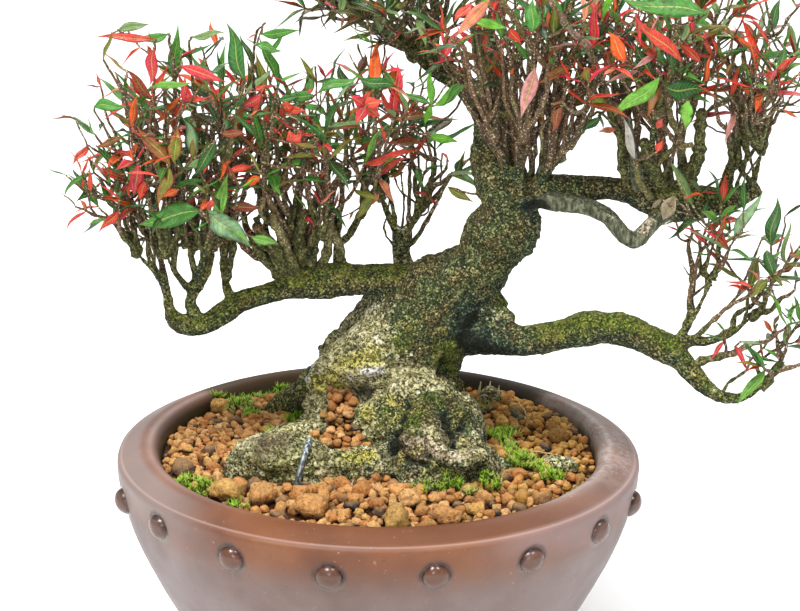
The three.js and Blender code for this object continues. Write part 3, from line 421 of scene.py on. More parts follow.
def tube(path, sides, reach=None):
    """Points and faces of a closed tube; reach(angles, point) may change its radius"""
    _, normals, acrosses = frames_along(path)
    angles = np.arange(sides) * 2 * math.pi / sides
    points = []
    for i, (x, y, z, radius) in enumerate(path):
        share = np.ones(sides) if reach is None else reach(angles, (x, y, z))
        ring = (radius * share)[:, None] * (np.outer(np.cos(angles), normals[i])
                                            + np.outer(np.sin(angles), acrosses[i]))
        points.append(np.array([x, y, z]) + ring)
    return np.concatenate(points), ring_faces(len(path), sides)


# Materials

class Look:
    """A node material under construction; sizes of its textures are in millimetres"""

    def __init__(self, name, roughness=0.6, specular=0.5):
        self.material = bpy.data.materials.new(name)
        self.material.use_nodes = True
        self.nodes = self.material.node_tree.nodes
        self.links = self.material.node_tree.links
        self.shader = self.nodes["Principled BSDF"]
        self.shader.inputs["Roughness"].default_value = roughness
        self.shader.inputs["Specular IOR Level"].default_value = specular
        self.place = self.nodes.new("ShaderNodeTexCoord").outputs["Object"]

    def put(self, socket, value):
        if isinstance(value, bpy.types.NodeSocket):
            self.links.new(value, socket)
        else:
            socket.default_value = value

    def set(self, name, value):
        self.put(self.shader.inputs[name], value)

    def stretched(self, x, y, z):
        node = self.nodes.new("ShaderNodeMapping")
        node.inputs["Scale"].default_value = (x, y, z)
        self.links.new(self.place, node.inputs["Vector"])
        return node.outputs["Vector"]

    def noise(self, size, detail=3, roughness=0.55, at=None):
        node = self.nodes.new("ShaderNodeTexNoise")
        node.inputs["Scale"].default_value = 1 / (size * MM)
        node.inputs["Detail"].default_value = detail
        node.inputs["Roughness"].default_value = roughness
        self.links.new(at or self.place, node.inputs["Vector"])
        return node.outputs["Fac"]

    def cells(self, size, output="Distance"):
        node = self.nodes.new("ShaderNodeTexVoronoi")
        node.inputs["Scale"].default_value = 1 / (size * MM)
        self.links.new(self.place, node.inputs["Vector"])
        return node.outputs[output]

    def ramp(self, value, *stops):
        """Colours between stops of (place, brightness) or (place, red, green, blue)"""
        node = self.nodes.new("ShaderNodeValToRGB")
        elements = node.color_ramp.elements
        while len(elements) < len(stops):
            elements.new(0.5)
        for element, (place, *colour) in zip(elements, stops):
            element.position = place
            element.color = paint(*colour) if len(colour) == 3 else (*colour * 3, 1)
        self.links.new(value, node.inputs["Fac"])
        return node.outputs["Color"]

    def mix(self, share, first, second, kind="MIX"):
        node = self.nodes.new("ShaderNodeMix")
        node.data_type = "RGBA"
        node.blend_type = kind
        for name, value in (("Factor_Float", share), ("A_Color", first), ("B_Color", second)):
            self.put(next(s for s in node.inputs if s.identifier == name), value)
        return next(s for s in node.outputs if s.identifier == "Result_Color")

    def math(self, operation, first, second=0.0):
        node = self.nodes.new("ShaderNodeMath")
        node.operation = operation
        for socket, value in zip(node.inputs, (first, second)):
            self.put(socket, value)
        return node.outputs["Value"]

    def times(self, first, *others):
        for other in others:
            first = self.math("MULTIPLY", first, other)
        return first

    def plus(self, first, *others):
        for other in others:
            first = self.math("ADD", first, other)
        return first

    def minus(self, first, second):
        return self.math("SUBTRACT", first, second)

    def over(self, under, mask, strength, colour):
        """A colour laid over what is under it, where the mask says and this strongly"""
        return self.mix(self.times(mask, strength), under, colour)

    def span(self, value, low, high, first=0.0, last=1.0):
        """From first to last, smoothly, while the value goes from low to high"""
        node = self.nodes.new("ShaderNodeMapRange")
        node.interpolation_type = "SMOOTHSTEP"
        for name, number in (("From Min", low), ("From Max", high), ("To Min", first), ("To Max", last)):
            node.inputs[name].default_value = number
        self.put(node.inputs["Value"], value)
        return node.outputs["Result"]

    def attribute(self, name, output="Color"):
        node = self.nodes.new("ShaderNodeAttribute")
        node.attribute_name = name
        return node.outputs[output]

    def split(self, vector):
        node = self.nodes.new("ShaderNodeSeparateXYZ")
        self.links.new(vector, node.inputs["Vector"])
        return node.outputs

    def split_colour(self, colour):
        node = self.nodes.new("ShaderNodeSeparateColor")
        self.links.new(colour, node.inputs["Color"])
        return node.outputs

    def bump(self, height, depth, strength=1.0, under=None):
        node = self.nodes.new("ShaderNodeBump")
        node.inputs["Distance"].default_value = depth * MM
        node.inputs["Strength"].default_value = strength
        self.links.new(height, node.inputs["Height"])
        if under is not None:
            self.links.new(under, node.inputs["Normal"])
        return node.outputs["Normal"]


# Where the clay turns from wall to lip, and how far noise shifts that
LIP_START = (60 * MM, 74 * MM)
LIP_DRIFT = 12 * MM
# Heights between which the lower wall takes a painted reflection of the pale floor, growing downwards
PAINTED_FLOOR_SHEEN = (62 * MM, 26 * MM)
# The wall near the studs leans out by this much for each unit of height
STUD_WALL_LEAN = 0.24


def clay_look():
    """Unglazed satin clay, stained about its rim and its studs, with painted shade, sheen and highlights
    about them too, and throwing rings
    """
    look = Look("clay", specular=0.42)
    x, y, z = look.split(look.place)
    radius = look.math("SQRT", look.plus(look.times(x, x), look.times(y, y)))
    where = {"x": x, "y": y, "z": z, "radius": radius, "aside": look.math("ABSOLUTE", x)}
    patches = look.noise(30, detail=4)
    body, wet = clay_rim(look, clay_body(look, z, patches), where, patches)
    body, near_stud = clay_about_studs(look, body, where)
    look.set("Base Color", body)
    satin = look.span(look.noise(12, detail=4), 0.3, 0.7, 0.46, 0.58)
    satin = look.minus(satin, look.times(near_stud, 0.28))
    # The back rim under painted shade is made rougher as well
    look.set("Roughness", look.plus(satin, look.times(wet, 0.4)))
    look.set("Coat Weight", 0.08)
    look.set("Coat Roughness", 0.4)
    rings = look.noise(3.2, detail=3, at=look.stretched(0.12, 0.12, 1))
    height = look.bump(rings, 0.14, 0.5)
    look.set("Normal", look.bump(look.noise(0.7, detail=3), 0.05, 0.5, height))
    return look.material


def clay_body(look, z, patches):
    """The fired clay: red-brown at the lip, greyer down the wall, that grey partly its own and partly a
    painted sheen of the pale surroundings, paler low down with a painted reflection of the floor, with dark
    and pale specks
    """
    lip = look.ramp(patches, (0.32, 94, 52, 26), (0.5, 113, 66, 36), (0.7, 124, 80, 50))
    # The wall's greyer tone is partly the clay's own and partly a painted sheen of the pale surroundings
    wall = look.ramp(patches, (0.32, 94, 72, 64), (0.5, 109, 88, 81), (0.7, 119, 103, 99))
    height = look.plus(z, look.times(patches, LIP_DRIFT))
    body = look.mix(look.span(height, *LIP_START), wall, lip)
    # Painted reflection of the pale floor, paling the lower wall towards the foot
    body = look.mix(look.span(z, *PAINTED_FLOOR_SHEEN, 0, 0.55), body, paint(125, 112, 112))
    body = look.mix(look.span(look.noise(0.9, detail=2), 0.64, 0.76, 0, 0.5), body, paint(74, 44, 36))
    return look.mix(look.span(look.noise(1.5, detail=1), 0.7, 0.82, 0, 0.4), body, paint(178, 140, 116))


def zone(look, where, bounds):
    """1 where every bound is passed: ("x", 44, 58) rises from x = 44 mm to 58 mm, a mask counts as it is"""
    masks = []
    for bound in bounds:
        if isinstance(bound, tuple):
            axis, start, end = bound
            bound = look.span(where[axis], start * MM, end * MM)
        masks.append(bound)
    return look.times(*masks)


def torn(look, size, share, brushed, low, high):
    """The torn edge of a film: brush marks mixed with a share of coarser noise"""
    coarse = look.times(look.noise(size, detail=5), share)
    return look.span(look.plus(coarse, look.times(brushed, 1 - share)), low, high)


def clay_rim(look, body, where, patches):
    """Lime, algae and a rubbed patch about the rim, with painted shade on the back rim and inner wall and
    painted sheen and highlights on the lip; gives back the body and where the back rim's painted shade is
    """
    x, y, z, radius, _ = where.values()
    brushed = look.noise(2.2, detail=6, roughness=0.7, at=look.stretched(1, 1, 3.5))
    high = look.span(z, 60 * MM, 70 * MM)
    inner_wall = look.span(z, 57 * MM, 63 * MM)
    behind = look.plus(look.math("DIVIDE", y, radius), look.times(patches, 0.12))
    back = look.times(look.span(behind, 0.64, 0.76), high)
    # Painted shade on the back of the rim, browner on the left and near black on the right
    wet = zone(look, where, [back, ("radius", 83.2, 81.8)])
    back_rim_shade_tint = look.mix(look.span(x, -12 * MM, 20 * MM), paint(60, 45, 25), paint(22, 22, 11))
    # How strongly the painted shade on the inner wall shows, growing below the rim
    inner_shade_depth = look.span(z, 76.2 * MM, 72.8 * MM, 0.1, 0.85)
    side_end = look.span(y, 30 * MM, 4 * MM, 0.3, 1.0)
    spots = look.span(look.noise(5, detail=4), 0.36, 0.56)
    stains = {
        "lime_inside": (0.66, paint(150, 145, 138), [
            ("radius", 76.5, 74.5), high, ("x", 44, 58), torn(look, 9, 0.6, brushed, 0.42, 0.56)]),
        "rubbed_front": (0.6, paint(84, 44, 18), [
            ("y", -46, -66), ("x", -14, 22), ("radius", 83.5, 82.2), high]),
        # Painted reflection of the pale surroundings, greying the left lip
        "left_lip_reflection": (0.5, paint(132, 124, 120), [("x", -48, -69), high, ("radius", 76.5, 79)]),
        "right_film": (0.5, paint(142, 122, 122), [("x", 24, 50), high, ("radius", 82.2, 83.8)]),
        # Painted highlight: a pale line along the lip's outer edge
        "painted_edge_highlight": (0.4, paint(190, 160, 148), [
            ("radius", 83.2, 83.8), ("z", 72.2, 72.8), ("z", 73.8, 73.2)]),
        # Painted sheen: the wall greyer towards left and right, where pale surroundings reflect at a grazing
        # angle
        "painted_side_sheen": (0.14, paint(152, 152, 156), [("aside", 34, 76)]),
        # Painted shade on the inner wall behind the rim
        "damp": (1.0, paint(42, 36, 24), [("radius", 74.4, 72.6), inner_wall, ("x", 58, 46), inner_shade_depth]),
        "wet": (0.9, back_rim_shade_tint, [wet]),
        # Painted highlight: a grey-green line along the outer edge of the shaded back rim
        "back_edge_highlight": (0.75, paint(104, 114, 108), [
            back, ("radius", 82, 83.4), ("z", 70.8, 72), ("x", 0, 20)]),
        # Painted shade darkening the rim at the back right
        "right_back": (0.5, paint(84, 72, 60), [("x", 48, 64), ("y", 2, 22), high, ("radius", 84.5, 82)]),
        "lime_right": (0.58, paint(156, 146, 142), [
            ("x", 48, 72), ("y", -45, -5), side_end, ("radius", 84.5, 81.5), high,
            torn(look, 6, 0.5, brushed, 0.43, 0.57)]),
        "algae": (0.75, paint(62, 62, 30), [("radius", 73.5, 72.5), inner_wall, ("z", 74.5, 71.2), spots]),
    }
    for strength, colour, bounds in stains.values():
        body = look.over(body, zone(look, where, bounds), strength, colour)
    return body, wet


def clay_about_studs(look, body, where):
    """Darker studs, each in a hollow ringed with painted shade broken up by noise, and a pale smear below;
    gives back the body and where studs are
    """
    x, y, z, radius, _ = where.values()
    nearest, level = None, None
    for i in range(STUD_COUNT):
        stud_x, stud_y, stud_z, turn = stud_place(i)
        sideways = look.times(look.minus(x, stud_x * MM), -math.sin(turn))
        across = look.plus(sideways, look.times(look.minus(y, stud_y * MM), math.cos(turn)))
        above = look.minus(z, stud_z * MM)
        apart = look.math("SQRT", look.plus(look.times(across, across), look.times(above, above)))
        outwards = look.plus(look.times(x, math.cos(turn)), look.times(y, math.sin(turn)))
        is_far_side = look.span(outwards, 50 * MM, 0)
        apart = look.plus(apart, is_far_side)
        own = look.times(above, look.span(apart, 8.5 * MM, 8.4 * MM))
        nearest = apart if nearest is None else look.math("MINIMUM", nearest, apart)
        level = own if level is None else look.plus(level, own)
    near = zone(look, where, [look.span(nearest, 6.2 * MM, 4.6 * MM), ("radius", 77.2, 79)])
    sunk = look.minus(radius, look.times(z, STUD_WALL_LEAN))
    hollow_shade = look.times(near, look.span(sunk, 70.6 * MM, 69.6 * MM))
    shade_breakup = look.span(look.noise(2.4, detail=3), 0.36, 0.6, 0.35, 1.0)
    smear = look.times(look.span(level, 0.5 * MM, -3.5 * MM), look.span(nearest, 2.8 * MM, 4.2 * MM), near)
    body = look.over(body, near, 0.72, paint(80, 53, 42))
    # Painted shade in the crease round each stud
    body = look.over(body, look.times(hollow_shade, shade_breakup), 0.82, paint(40, 25, 23))
    return look.over(body, smear, 0.16, paint(200, 186, 176)), near


def grain_look():
    """Fired clay granules: dusty orange-brown, crumbly and pitted, their colour varied grain by grain, with
    painted shade low on each grain and painted light on its top
    """
    look = Look("grain", roughness=0.95, specular=0.15)
    crumb = look.noise(1.3, detail=6, roughness=0.78)
    shade = look.ramp(crumb, (0.32, 0.3), (0.45, 0.8), (0.56, 1.14), (0.7, 1.6))
    body = look.mix(1.0, look.attribute("tint"), shade, "MULTIPLY")
    pits = look.span(look.cells(1.5), 0.06, 0.3)
    body = look.over(body, look.minus(1.0, pits), 0.5, paint(74, 44, 24))
    body = look.mix(look.span(look.noise(0.5, detail=2), 0.6, 0.72, 0, 0.5), body, paint(230, 186, 134))
    _, _, height_share = look.split(look.attribute("place", "Vector"))
    # Painted shade on the lower part of each grain, where it sinks between its neighbours
    body = look.mix(look.span(height_share, 0.15, -0.6, 0, 0.9), body, paint(40, 24, 13))
    # Painted light on the top of each grain
    body = look.mix(look.span(height_share, 0.3, 0.95, 0, 0.25), body, paint(240, 190, 128))
    look.set("Base Color", body)
    height = look.bump(look.noise(2.2, detail=3, roughness=0.6), 1.2, 0.8)
    height = look.bump(crumb, 1.5, 0.9, height)
    look.set("Normal", look.bump(pits, 0.3, 0.9, height))
    return look.material


def bed_look():
    look = Look("soil_bed", roughness=1.0, specular=0.1)
    look.set("Base Color", look.ramp(look.noise(2.4, detail=5), (0.3, 40, 26, 17), (0.7, 96, 58, 34)))
    look.set("Normal", look.bump(look.noise(1.6, detail=4), 1.0))
    return look.material


def granular(look, size, drift):
    """Specks of their own brightness, from 0.25 to 0.75, over finer noise and a slow drift"""
    speck = look.split_colour(look.cells(size, output="Color"))["Red"]
    own = look.times(look.minus(speck, 0.5), 0.42)
    soft = look.times(look.minus(look.noise(size * 1.5, detail=3, roughness=0.6), 0.5), 0.6)
    slow = look.times(look.minus(look.noise(3.4, detail=4, roughness=0.6), 0.5), drift)
    return look.plus(own, soft, slow, 0.5)


def bark_look():
    """Bark under lichen and moss, by the amounts in the cover and patch attributes

    cover: lichen, moss, pale bark and light (0 in a hollow)
    patch: white, yellow and rosy crust, brown rind
    """
    look = Look("bark", roughness=0.9, specular=0.25)
    lichen, moss, pale = look.split_colour(look.attribute("cover"))
    white, yellow, pink = look.split_colour(look.attribute("patch"))
    light = look.attribute("cover", "Alpha")
    stem = look.attribute("patch", "Alpha")
    fine = granular(look, 0.5, 0.28)
    flecks = granular(look, 0.62, 0.4)

    brown = look.ramp(fine, (0.28, 30, 28, 17), (0.5, 66, 62, 38), (0.61, 102, 94, 58), (0.7, 158, 144, 92),
                      (0.8, 206, 194, 142))
    olive = look.ramp(fine, (0.28, 22, 30, 19), (0.5, 56, 66, 41), (0.61, 90, 98, 60), (0.7, 146, 150, 94),
                      (0.8, 196, 198, 144))
    bark = look.mix(look.span(look.noise(7, detail=4, roughness=0.6), 0.42, 0.58), brown, olive)
    dark = look.ramp(fine, (0.28, 12, 21, 20), (0.5, 37, 51, 44), (0.62, 62, 80, 62), (0.71, 110, 128, 96),
                     (0.8, 166, 178, 140))
    crust = look.ramp(flecks, (0.26, 48, 47, 28), (0.39, 106, 102, 60), (0.5, 164, 157, 104),
                      (0.6, 206, 198, 146), (0.76, 240, 233, 204))
    crust = look.over(crust, look.span(look.cells(1.5), 0.4, 0.68), 0.42, paint(44, 46, 28))
    bands = look.noise(3.4, detail=4, at=look.stretched(0.5, 0.5, 1.6))
    crust = look.mix(look.span(bands, 0.43, 0.36, 0, 0.5), crust, paint(42, 44, 28))
    velvet = look.ramp(fine, (0.28, 28, 37, 13), (0.46, 56, 70, 24), (0.6, 88, 102, 34), (0.78, 156, 160, 66))
    dry = look.ramp(flecks, (0.3, 46, 48, 18), (0.52, 98, 98, 38), (0.76, 176, 168, 82))
    velvet = look.mix(look.span(look.noise(5, detail=3), 0.45, 0.6, 0, 0.6), velvet, dry)
    chalk = look.ramp(flecks, (0.28, 84, 82, 66), (0.45, 158, 154, 138), (0.55, 214, 210, 198),
                      (0.66, 240, 238, 232))
    sulphur = look.ramp(flecks, (0.36, 52, 50, 20), (0.46, 116, 110, 42), (0.56, 170, 162, 68),
                        (0.7, 222, 214, 128))
    rosy = look.ramp(flecks, (0.34, 62, 50, 38), (0.46, 128, 112, 86), (0.56, 180, 164, 132),
                     (0.7, 226, 214, 186))
    rind = look.ramp(fine, (0.28, 38, 30, 22), (0.5, 80, 65, 48), (0.64, 116, 97, 72), (0.76, 196, 180, 148))
    grained = look.noise(2.4, detail=5, at=look.stretched(2.2, 2.2, 0.7))
    smooth = look.ramp(grained, (0.34, 54, 57, 42), (0.5, 91, 95, 73), (0.66, 146, 148, 122))
    edge = look.plus(look.times(flecks, 0.62), look.times(look.noise(5.5, detail=4), 0.38))

    def share(amount, soft=0.07):
        """Where an amount of cover shows, with a ragged border of flecks"""
        return look.span(look.minus(look.plus(look.times(amount, 0.62), edge), 0.81), -soft, soft)

    # Painted shade: the bark takes the dark colour where the light value is low, with the blue-green of algae
    # on the shaded side
    body = look.mix(look.span(light, 0.15, 0.75), dark, bark)
    body = look.mix(share(pale, 0.2), body, smooth)
    body = look.mix(share(moss), body, velvet)
    body = look.mix(share(lichen), body, crust)
    body = look.over(body, share(stem, 0.16), 0.9, rind)
    body = look.mix(share(pink, 0.1), body, rosy)
    body = look.mix(share(yellow, 0.1), body, sulphur)
    body = look.mix(share(white, 0.1), body, chalk)
    # Painted shade, near black, deepest in hollows and cracks
    body = look.mix(look.span(light, 0.34, 0.02, 0, 0.86), body, paint(20, 19, 13))
    look.set("Base Color", body)
    look.set("Roughness", look.span(pale, 0, 1, 0.92, 0.7))
    height = look.bump(look.noise(2.1, detail=6, roughness=0.75), 1.7, 0.9)
    look.set("Normal", look.bump(fine, 0.4, 0.7, height))
    return look.material


def twig_look():
    """Thin twigs: grey-brown with pale lenticels and scraps of lichen, mossy where the place says"""
    look = Look("twig", roughness=0.75, specular=0.3)
    mossy, _, _ = look.split(look.attribute("place", "Vector"))
    fine = look.noise(0.9, detail=5, roughness=0.75)
    shade = look.ramp(fine, (0.34, 0.34), (0.46, 0.78), (0.56, 1.15), (0.68, 1.9))
    body = look.mix(1.0, look.attribute("tint"), shade, "MULTIPLY")
    body = look.mix(look.span(look.noise(0.6, detail=2), 0.58, 0.65, 0, 0.8), body, paint(222, 206, 172))
    lichen = look.ramp(fine, (0.36, 40, 38, 18), (0.5, 96, 92, 44), (0.64, 178, 172, 106))
    body = look.mix(look.span(look.noise(5, detail=4), 0.56, 0.66, 0, 0.6), body, lichen)
    moss = look.ramp(fine, (0.36, 22, 24, 12), (0.46, 54, 56, 28), (0.54, 88, 88, 46), (0.66, 168, 164, 104))
    edge = look.plus(mossy, look.times(look.minus(look.noise(2.2, detail=3), 0.5), 1.4))
    body = look.mix(look.span(edge, 0.3, 0.6), body, moss)
    look.set("Base Color", body)
    look.set("Normal", look.bump(look.noise(0.9, detail=5, roughness=0.7), 0.6, 0.9))
    return look.material


def leaf_look():
    """Waxy leaves: the tint of each, a paler midrib, side veins sunk in, and fine blotches"""
    look = Look("leaf", roughness=0.4, specular=0.4)
    across, along, _ = look.split(look.attribute("place", "Vector"))
    away = look.math("ABSOLUTE", across)
    shade = look.ramp(look.noise(2.2, detail=4, roughness=0.65), (0.34, 0.62), (0.5, 0.96), (0.66, 1.24))
    body = look.mix(1.0, look.attribute("tint"), shade, "MULTIPLY")
    slant = look.minus(along, look.times(away, 0.13))
    veins = look.math("ABSOLUTE", look.math("SINE", look.times(slant, 34.0)))
    veins = look.times(look.span(veins, 0.36, 0.0), look.span(away, 0.95, 0.6))
    pale = look.mix(0.52, body, paint(198, 212, 112))
    body = look.over(body, veins, 0.6, pale)
    rib = look.span(away, 0.13, 0.03)
    body = look.over(body, rib, 0.85, pale)
    look.set("Base Color", body)
    look.set("Roughness", look.span(look.noise(3, detail=3), 0.3, 0.7, 0.3, 0.5))
    height = look.bump(look.times(look.plus(veins, rib), -1.0), 0.3, 0.9)
    look.set("Normal", look.bump(look.noise(1.3, detail=3), 0.2, 0.7, height))
    look.set("Subsurface Weight", 0.1)
    look.set("Subsurface Radius", (0.0012, 0.0016, 0.0006))
    return look.material


def moss_look():
    look = Look("moss", roughness=0.7, specular=0.3)
    shade = look.ramp(look.noise(0.8), (0.3, 0.7), (0.7, 1.2))
    look.set("Base Color", look.mix(1.0, look.attribute("tint"), shade, "MULTIPLY"))
    look.set("Subsurface Weight", 0.1)
    return look.material


def wire_look():
    look = Look("wire", roughness=0.28, specular=0.6)
    scuffs = look.noise(1.4, detail=5, at=look.stretched(1.6, 1.6, 0.6))
    look.set("Base Color", look.ramp(scuffs, (0.36, 26, 34, 36), (0.5, 74, 88, 92), (0.6, 150, 162, 166),
                                     (0.7, 214, 220, 222)))
    look.set("Coat Weight", 0.5)
    look.set("Normal", look.bump(look.noise(1.0, detail=3), 0.12))
    return look.material


def mesh_look():
    look = Look("mesh", roughness=0.6)
    look.set("Base Color", look.ramp(look.noise(4), (0.3, 28, 40, 32), (0.7, 52, 66, 54)))
    look.set("Normal", look.bump(look.noise(0.8), 0.1))
    return look.material


def floor_look():
    look = Look("floor", roughness=0.9, specular=0.15)
    look.set("Base Color", look.ramp(look.noise(400), (0.3, 247, 247, 247), (0.7, 250, 250, 250)))
    return look.material


# Pot

POT_FACETS = 180
POT_STEP = 1.25
# The thrown wall's unevenness: lumps and rings of these sizes, this far in and out
CLAY_LUMPS = (46, 0.3)
CLAY_RINGS = (3.2, 0.07)
STUD_RINGS = 15
STUD_SIDES = 32
STUD_LUMPS = (0.9, 0.025)
DRAIN_FACETS = 40


def profile_points():
    """The pot's half section from the middle of its underside to the middle of its floor"""
    wall = smooth_path([(x, z, 0, 0) for x, z in [WALL_START, *POT_WALL, FLOOR_EDGE]], POT_STEP)
    foot = [(0.01, 0), (20, 0), (40, 0), (46.4, 0), (FOOT_RADIUS, 0.6), (FOOT_RADIUS, 4.5), (48, 5)]
    return np.array(foot + [(x, z) for x, z, _, _ in wall] + [(30, FLOOR_TOP), (0.01, FLOOR_TOP)])


def make_pot():
    profile = profile_points()
    angles = np.arange(POT_FACETS) * 2 * math.pi / POT_FACETS
    rings = []
    for radius, height in profile:
        levels = np.full(POT_FACETS, height)
        rings.append(np.stack([radius * np.cos(angles), radius * np.sin(angles), levels], axis=1))
    points = np.concatenate(rings)
    radii = np.hypot(points[:, 0], points[:, 1])
    lumps = wobble(points * (1, 1, 2.4), CLAY_LUMPS[0], 2, 3) * CLAY_LUMPS[1]
    throwing = wobble(points * (0.2, 0.2, 1), CLAY_RINGS[0], 2, 4) * CLAY_RINGS[1]
    factor = 1 + np.where(radii > FOOT_RADIUS + 2, lumps + throwing, 0) / np.maximum(radii, 1)
    points[:, :2] *= factor[:, None]
    batch = Batch()
    batch.add(points, ring_faces(len(profile), POT_FACETS), (1, 1, 1, 1))
    for i in range(STUD_COUNT):
        stud_points, stud_faces = make_stud(i)
        batch.add(stud_points, stud_faces, (1, 1, 1, 1))
    pot = batch.piece("pot_clay", clay_look(), "clay", ["pot"])
    cut_drains(pot)
    return pot


def stud_place(index):
    """A stud's x, y and height, and its turn about the pot"""
    shift, rise = STUD_SHIFTS.get(index, (0, 0))
    turn = (index + 0.5) * 2 * math.pi / STUD_COUNT - math.pi / 2 + STUD_TURN + math.radians(shift)
    return STUD_PLACE[0] * math.cos(turn), STUD_PLACE[0] * math.sin(turn), STUD_PLACE[1] + rise, turn


def make_stud(index):
    """A ball of clay pressed a little flat, half sunk in the wall"""
    points = [(0, 0, 1)]
    for slope in np.linspace(0, math.pi, STUD_RINGS + 2)[1:-1]:
        points += [(x, y, math.cos(slope)) for x, y in circle(math.sin(slope), STUD_SIDES)]
    points.append((0, 0, -1))
    points = np.array(points)
    size, amount = STUD_LUMPS
    points *= (STUD_RADIUS * (1 + amount * wobble(points, size, 2, index)))[:, None]
    points *= (STUD_FLATNESS, 1, 1)
    x, y, height, turn = stud_place(index)
    lean = Matrix.Rotation(turn, 4, "Z") @ Matrix.Rotation(STUD_TILT, 4, "Y")
    return moved(points, Matrix.Translation((x, y, height)) @ lean), poled_faces(STUD_RINGS, STUD_SIDES)


def moved(points, matrix):
    grid = np.array(matrix)
    return points @ grid[:3, :3].T + grid[:3, 3]


def cut_drains(pot):
    """Cuts the drain holes and the slots through the foot, and leaves nothing of the cutters"""
    for i in range(DRAIN_COUNT):
        turn = 2 * math.pi * (i + 0.25) / DRAIN_COUNT
        outwards = Vector((math.cos(turn), math.sin(turn), 0))
        bpy.ops.mesh.primitive_cylinder_add(vertices=DRAIN_FACETS, radius=DRAIN_RADIUS * MM,
                                            depth=4 * FLOOR_TOP * MM, location=outwards * DRAIN_PLACE * MM)
        cut_away(pot, bpy.context.object)
        slot_length = FOOT_RADIUS * MM
        middle = outwards * (DRAIN_PLACE * MM + slot_length / 2)
        bpy.ops.mesh.primitive_cube_add(size=1, location=middle, rotation=(0, 0, turn))
        slot = bpy.context.object
        slot.scale = (slot_length, DRAIN_SLOT[0] * MM, 2 * DRAIN_SLOT[1] * MM)
        cut_away(pot, slot)


def cut_away(piece, cutter):
    modifier = piece.modifiers.new("cut", "BOOLEAN")
    modifier.operation = "DIFFERENCE"
    modifier.solver = "EXACT"
    modifier.object = cutter
    apply_modifier(piece, modifier)
    bpy.data.objects.remove(cutter, do_unlink=True)


def apply_modifier(piece, modifier):
    bpy.context.view_layer.objects.active = piece
    for other in bpy.context.selected_objects:
        other.select_set(False)
    piece.select_set(True)
    bpy.ops.object.modifier_apply(modifier=modifier.name)


# Wood: trunk, roots, limbs, stubs and risers in one skin

WOOD_VOXEL = 0.8
WOOD_STEP = 1.6
WOOD_SIDES = 28
# The share of a riser's radius that the skin keeps at its foot and at its end
RISER_SLIMMING = (0.78, 0.46)


def gnarled(path, gnarl):
    """The solids' uneven sections: two waves round the member that wander along it"""
    def reach(angles, point):
        x, y, z = point
        wave = 0.6 * np.sin(2 * angles + x * 0.21 + z * 0.13) + 0.4 * np.sin(3 * angles + y * 0.3 - z * 0.19)
        return 1 + gnarl * wave
    return tube(path, WOOD_SIDES, reach)


def wood_members():
    """Every wood path with its name and how uneven its sections are"""
    risers = {name: riser[0] for name, riser in RISERS.items()}
    kinds = [({"trunk": TRUNK}, 0.05), (ROOTS, 0.07), (LIMBS, 0.08), (STUBS, 0.05), (risers, 0.04)]
    return [(name, path, gnarl) for paths, gnarl in kinds for name, path in paths.items()]


def make_wood(material):
    batch = Batch()
    balls = []
    owners = []
    names = []
    for name, path, gnarl in wood_members():
        fine = smooth_path(path, WOOD_STEP)
        if name in RISERS:
            fine[:, 3] *= np.linspace(*RISER_SLIMMING, len(fine))
        points, faces = gnarled(fine, gnarl)
        batch.add(points, faces, (1, 1, 1, 1))
        balls.append(fine)
        owners += [len(names)] * len(fine)
        names.append(name)
    wood = make_piece("wood_bark", np.concatenate(batch.points), batch.faces, material, ["wood"])
    modifier = wood.modifiers.new("skin", "REMESH")
    modifier.mode = "VOXEL"
    modifier.voxel_size = WOOD_VOXEL * MM
    modifier.use_smooth_shade = True
    apply_modifier(wood, modifier)
    carve_bark(wood, np.concatenate(balls), np.array(owners), names)
    return wood


def nearest_balls(points, balls):
    """Index of the ball whose surface is nearest each point"""
    chosen = np.zeros(len(points), int)
    for start in range(0, len(points), 4000):
        part = points[start:start + 4000]
        apart = np.linalg.norm(part[:, None, :] - balls[None, :, :3], axis=2) - balls[None, :, 3]
        chosen[start:start + 4000] = apart.argmin(axis=1)
    return chosen


def wood_tree(wood):
    """The wood's surface in millimetres, for asking how far a place is from it"""
    points = [v.co / MM for v in wood.data.vertices]
    return BVHTree.FromPolygons(points, [tuple(p.vertices) for p in wood.data.polygons])


# Named dents and lumps of the wood: place, size and depth, outwards where the depth is above zero
WOOD_MARKS = {
    "limb_lump": ((-13, 8, 134), 5, 1.0), "right_lump": ((66, -11, 124.5), 5, 1.0),
    "fork_crease": ((48, -4, 158), 5, -1.6), "pile_niche": ((-12, -5, 91), 8, -6),
    "pile_pocket": ((-13, -18, 84), 6.5, -4), "pile_left": ((-18.5, -2, 90), 7, -4),
    "flank_high": ((-9, 12, 119), 8, -2.4), "flank_mid": ((-14, 12, 114), 8, -2.2),
    "flank_low": ((-18, 12, 108.5), 8, -3), "shoulder_cut": ((22, 8, 140), 5, -4),
    "shoulder_top": ((13.5, 7, 137), 5, 1.8), "waist_right": ((44.5, 4, 132), 7, -2.6),
    "neck_left": ((28.5, 2, 154), 6, -2.6), "back_lump": ((10, 38, 96), 8, 1.6),
    "back_fold": ((-4, 36, 104), 6, -1.8), "right_side_fold": ((24, 24, 100), 6, -1.6),
}

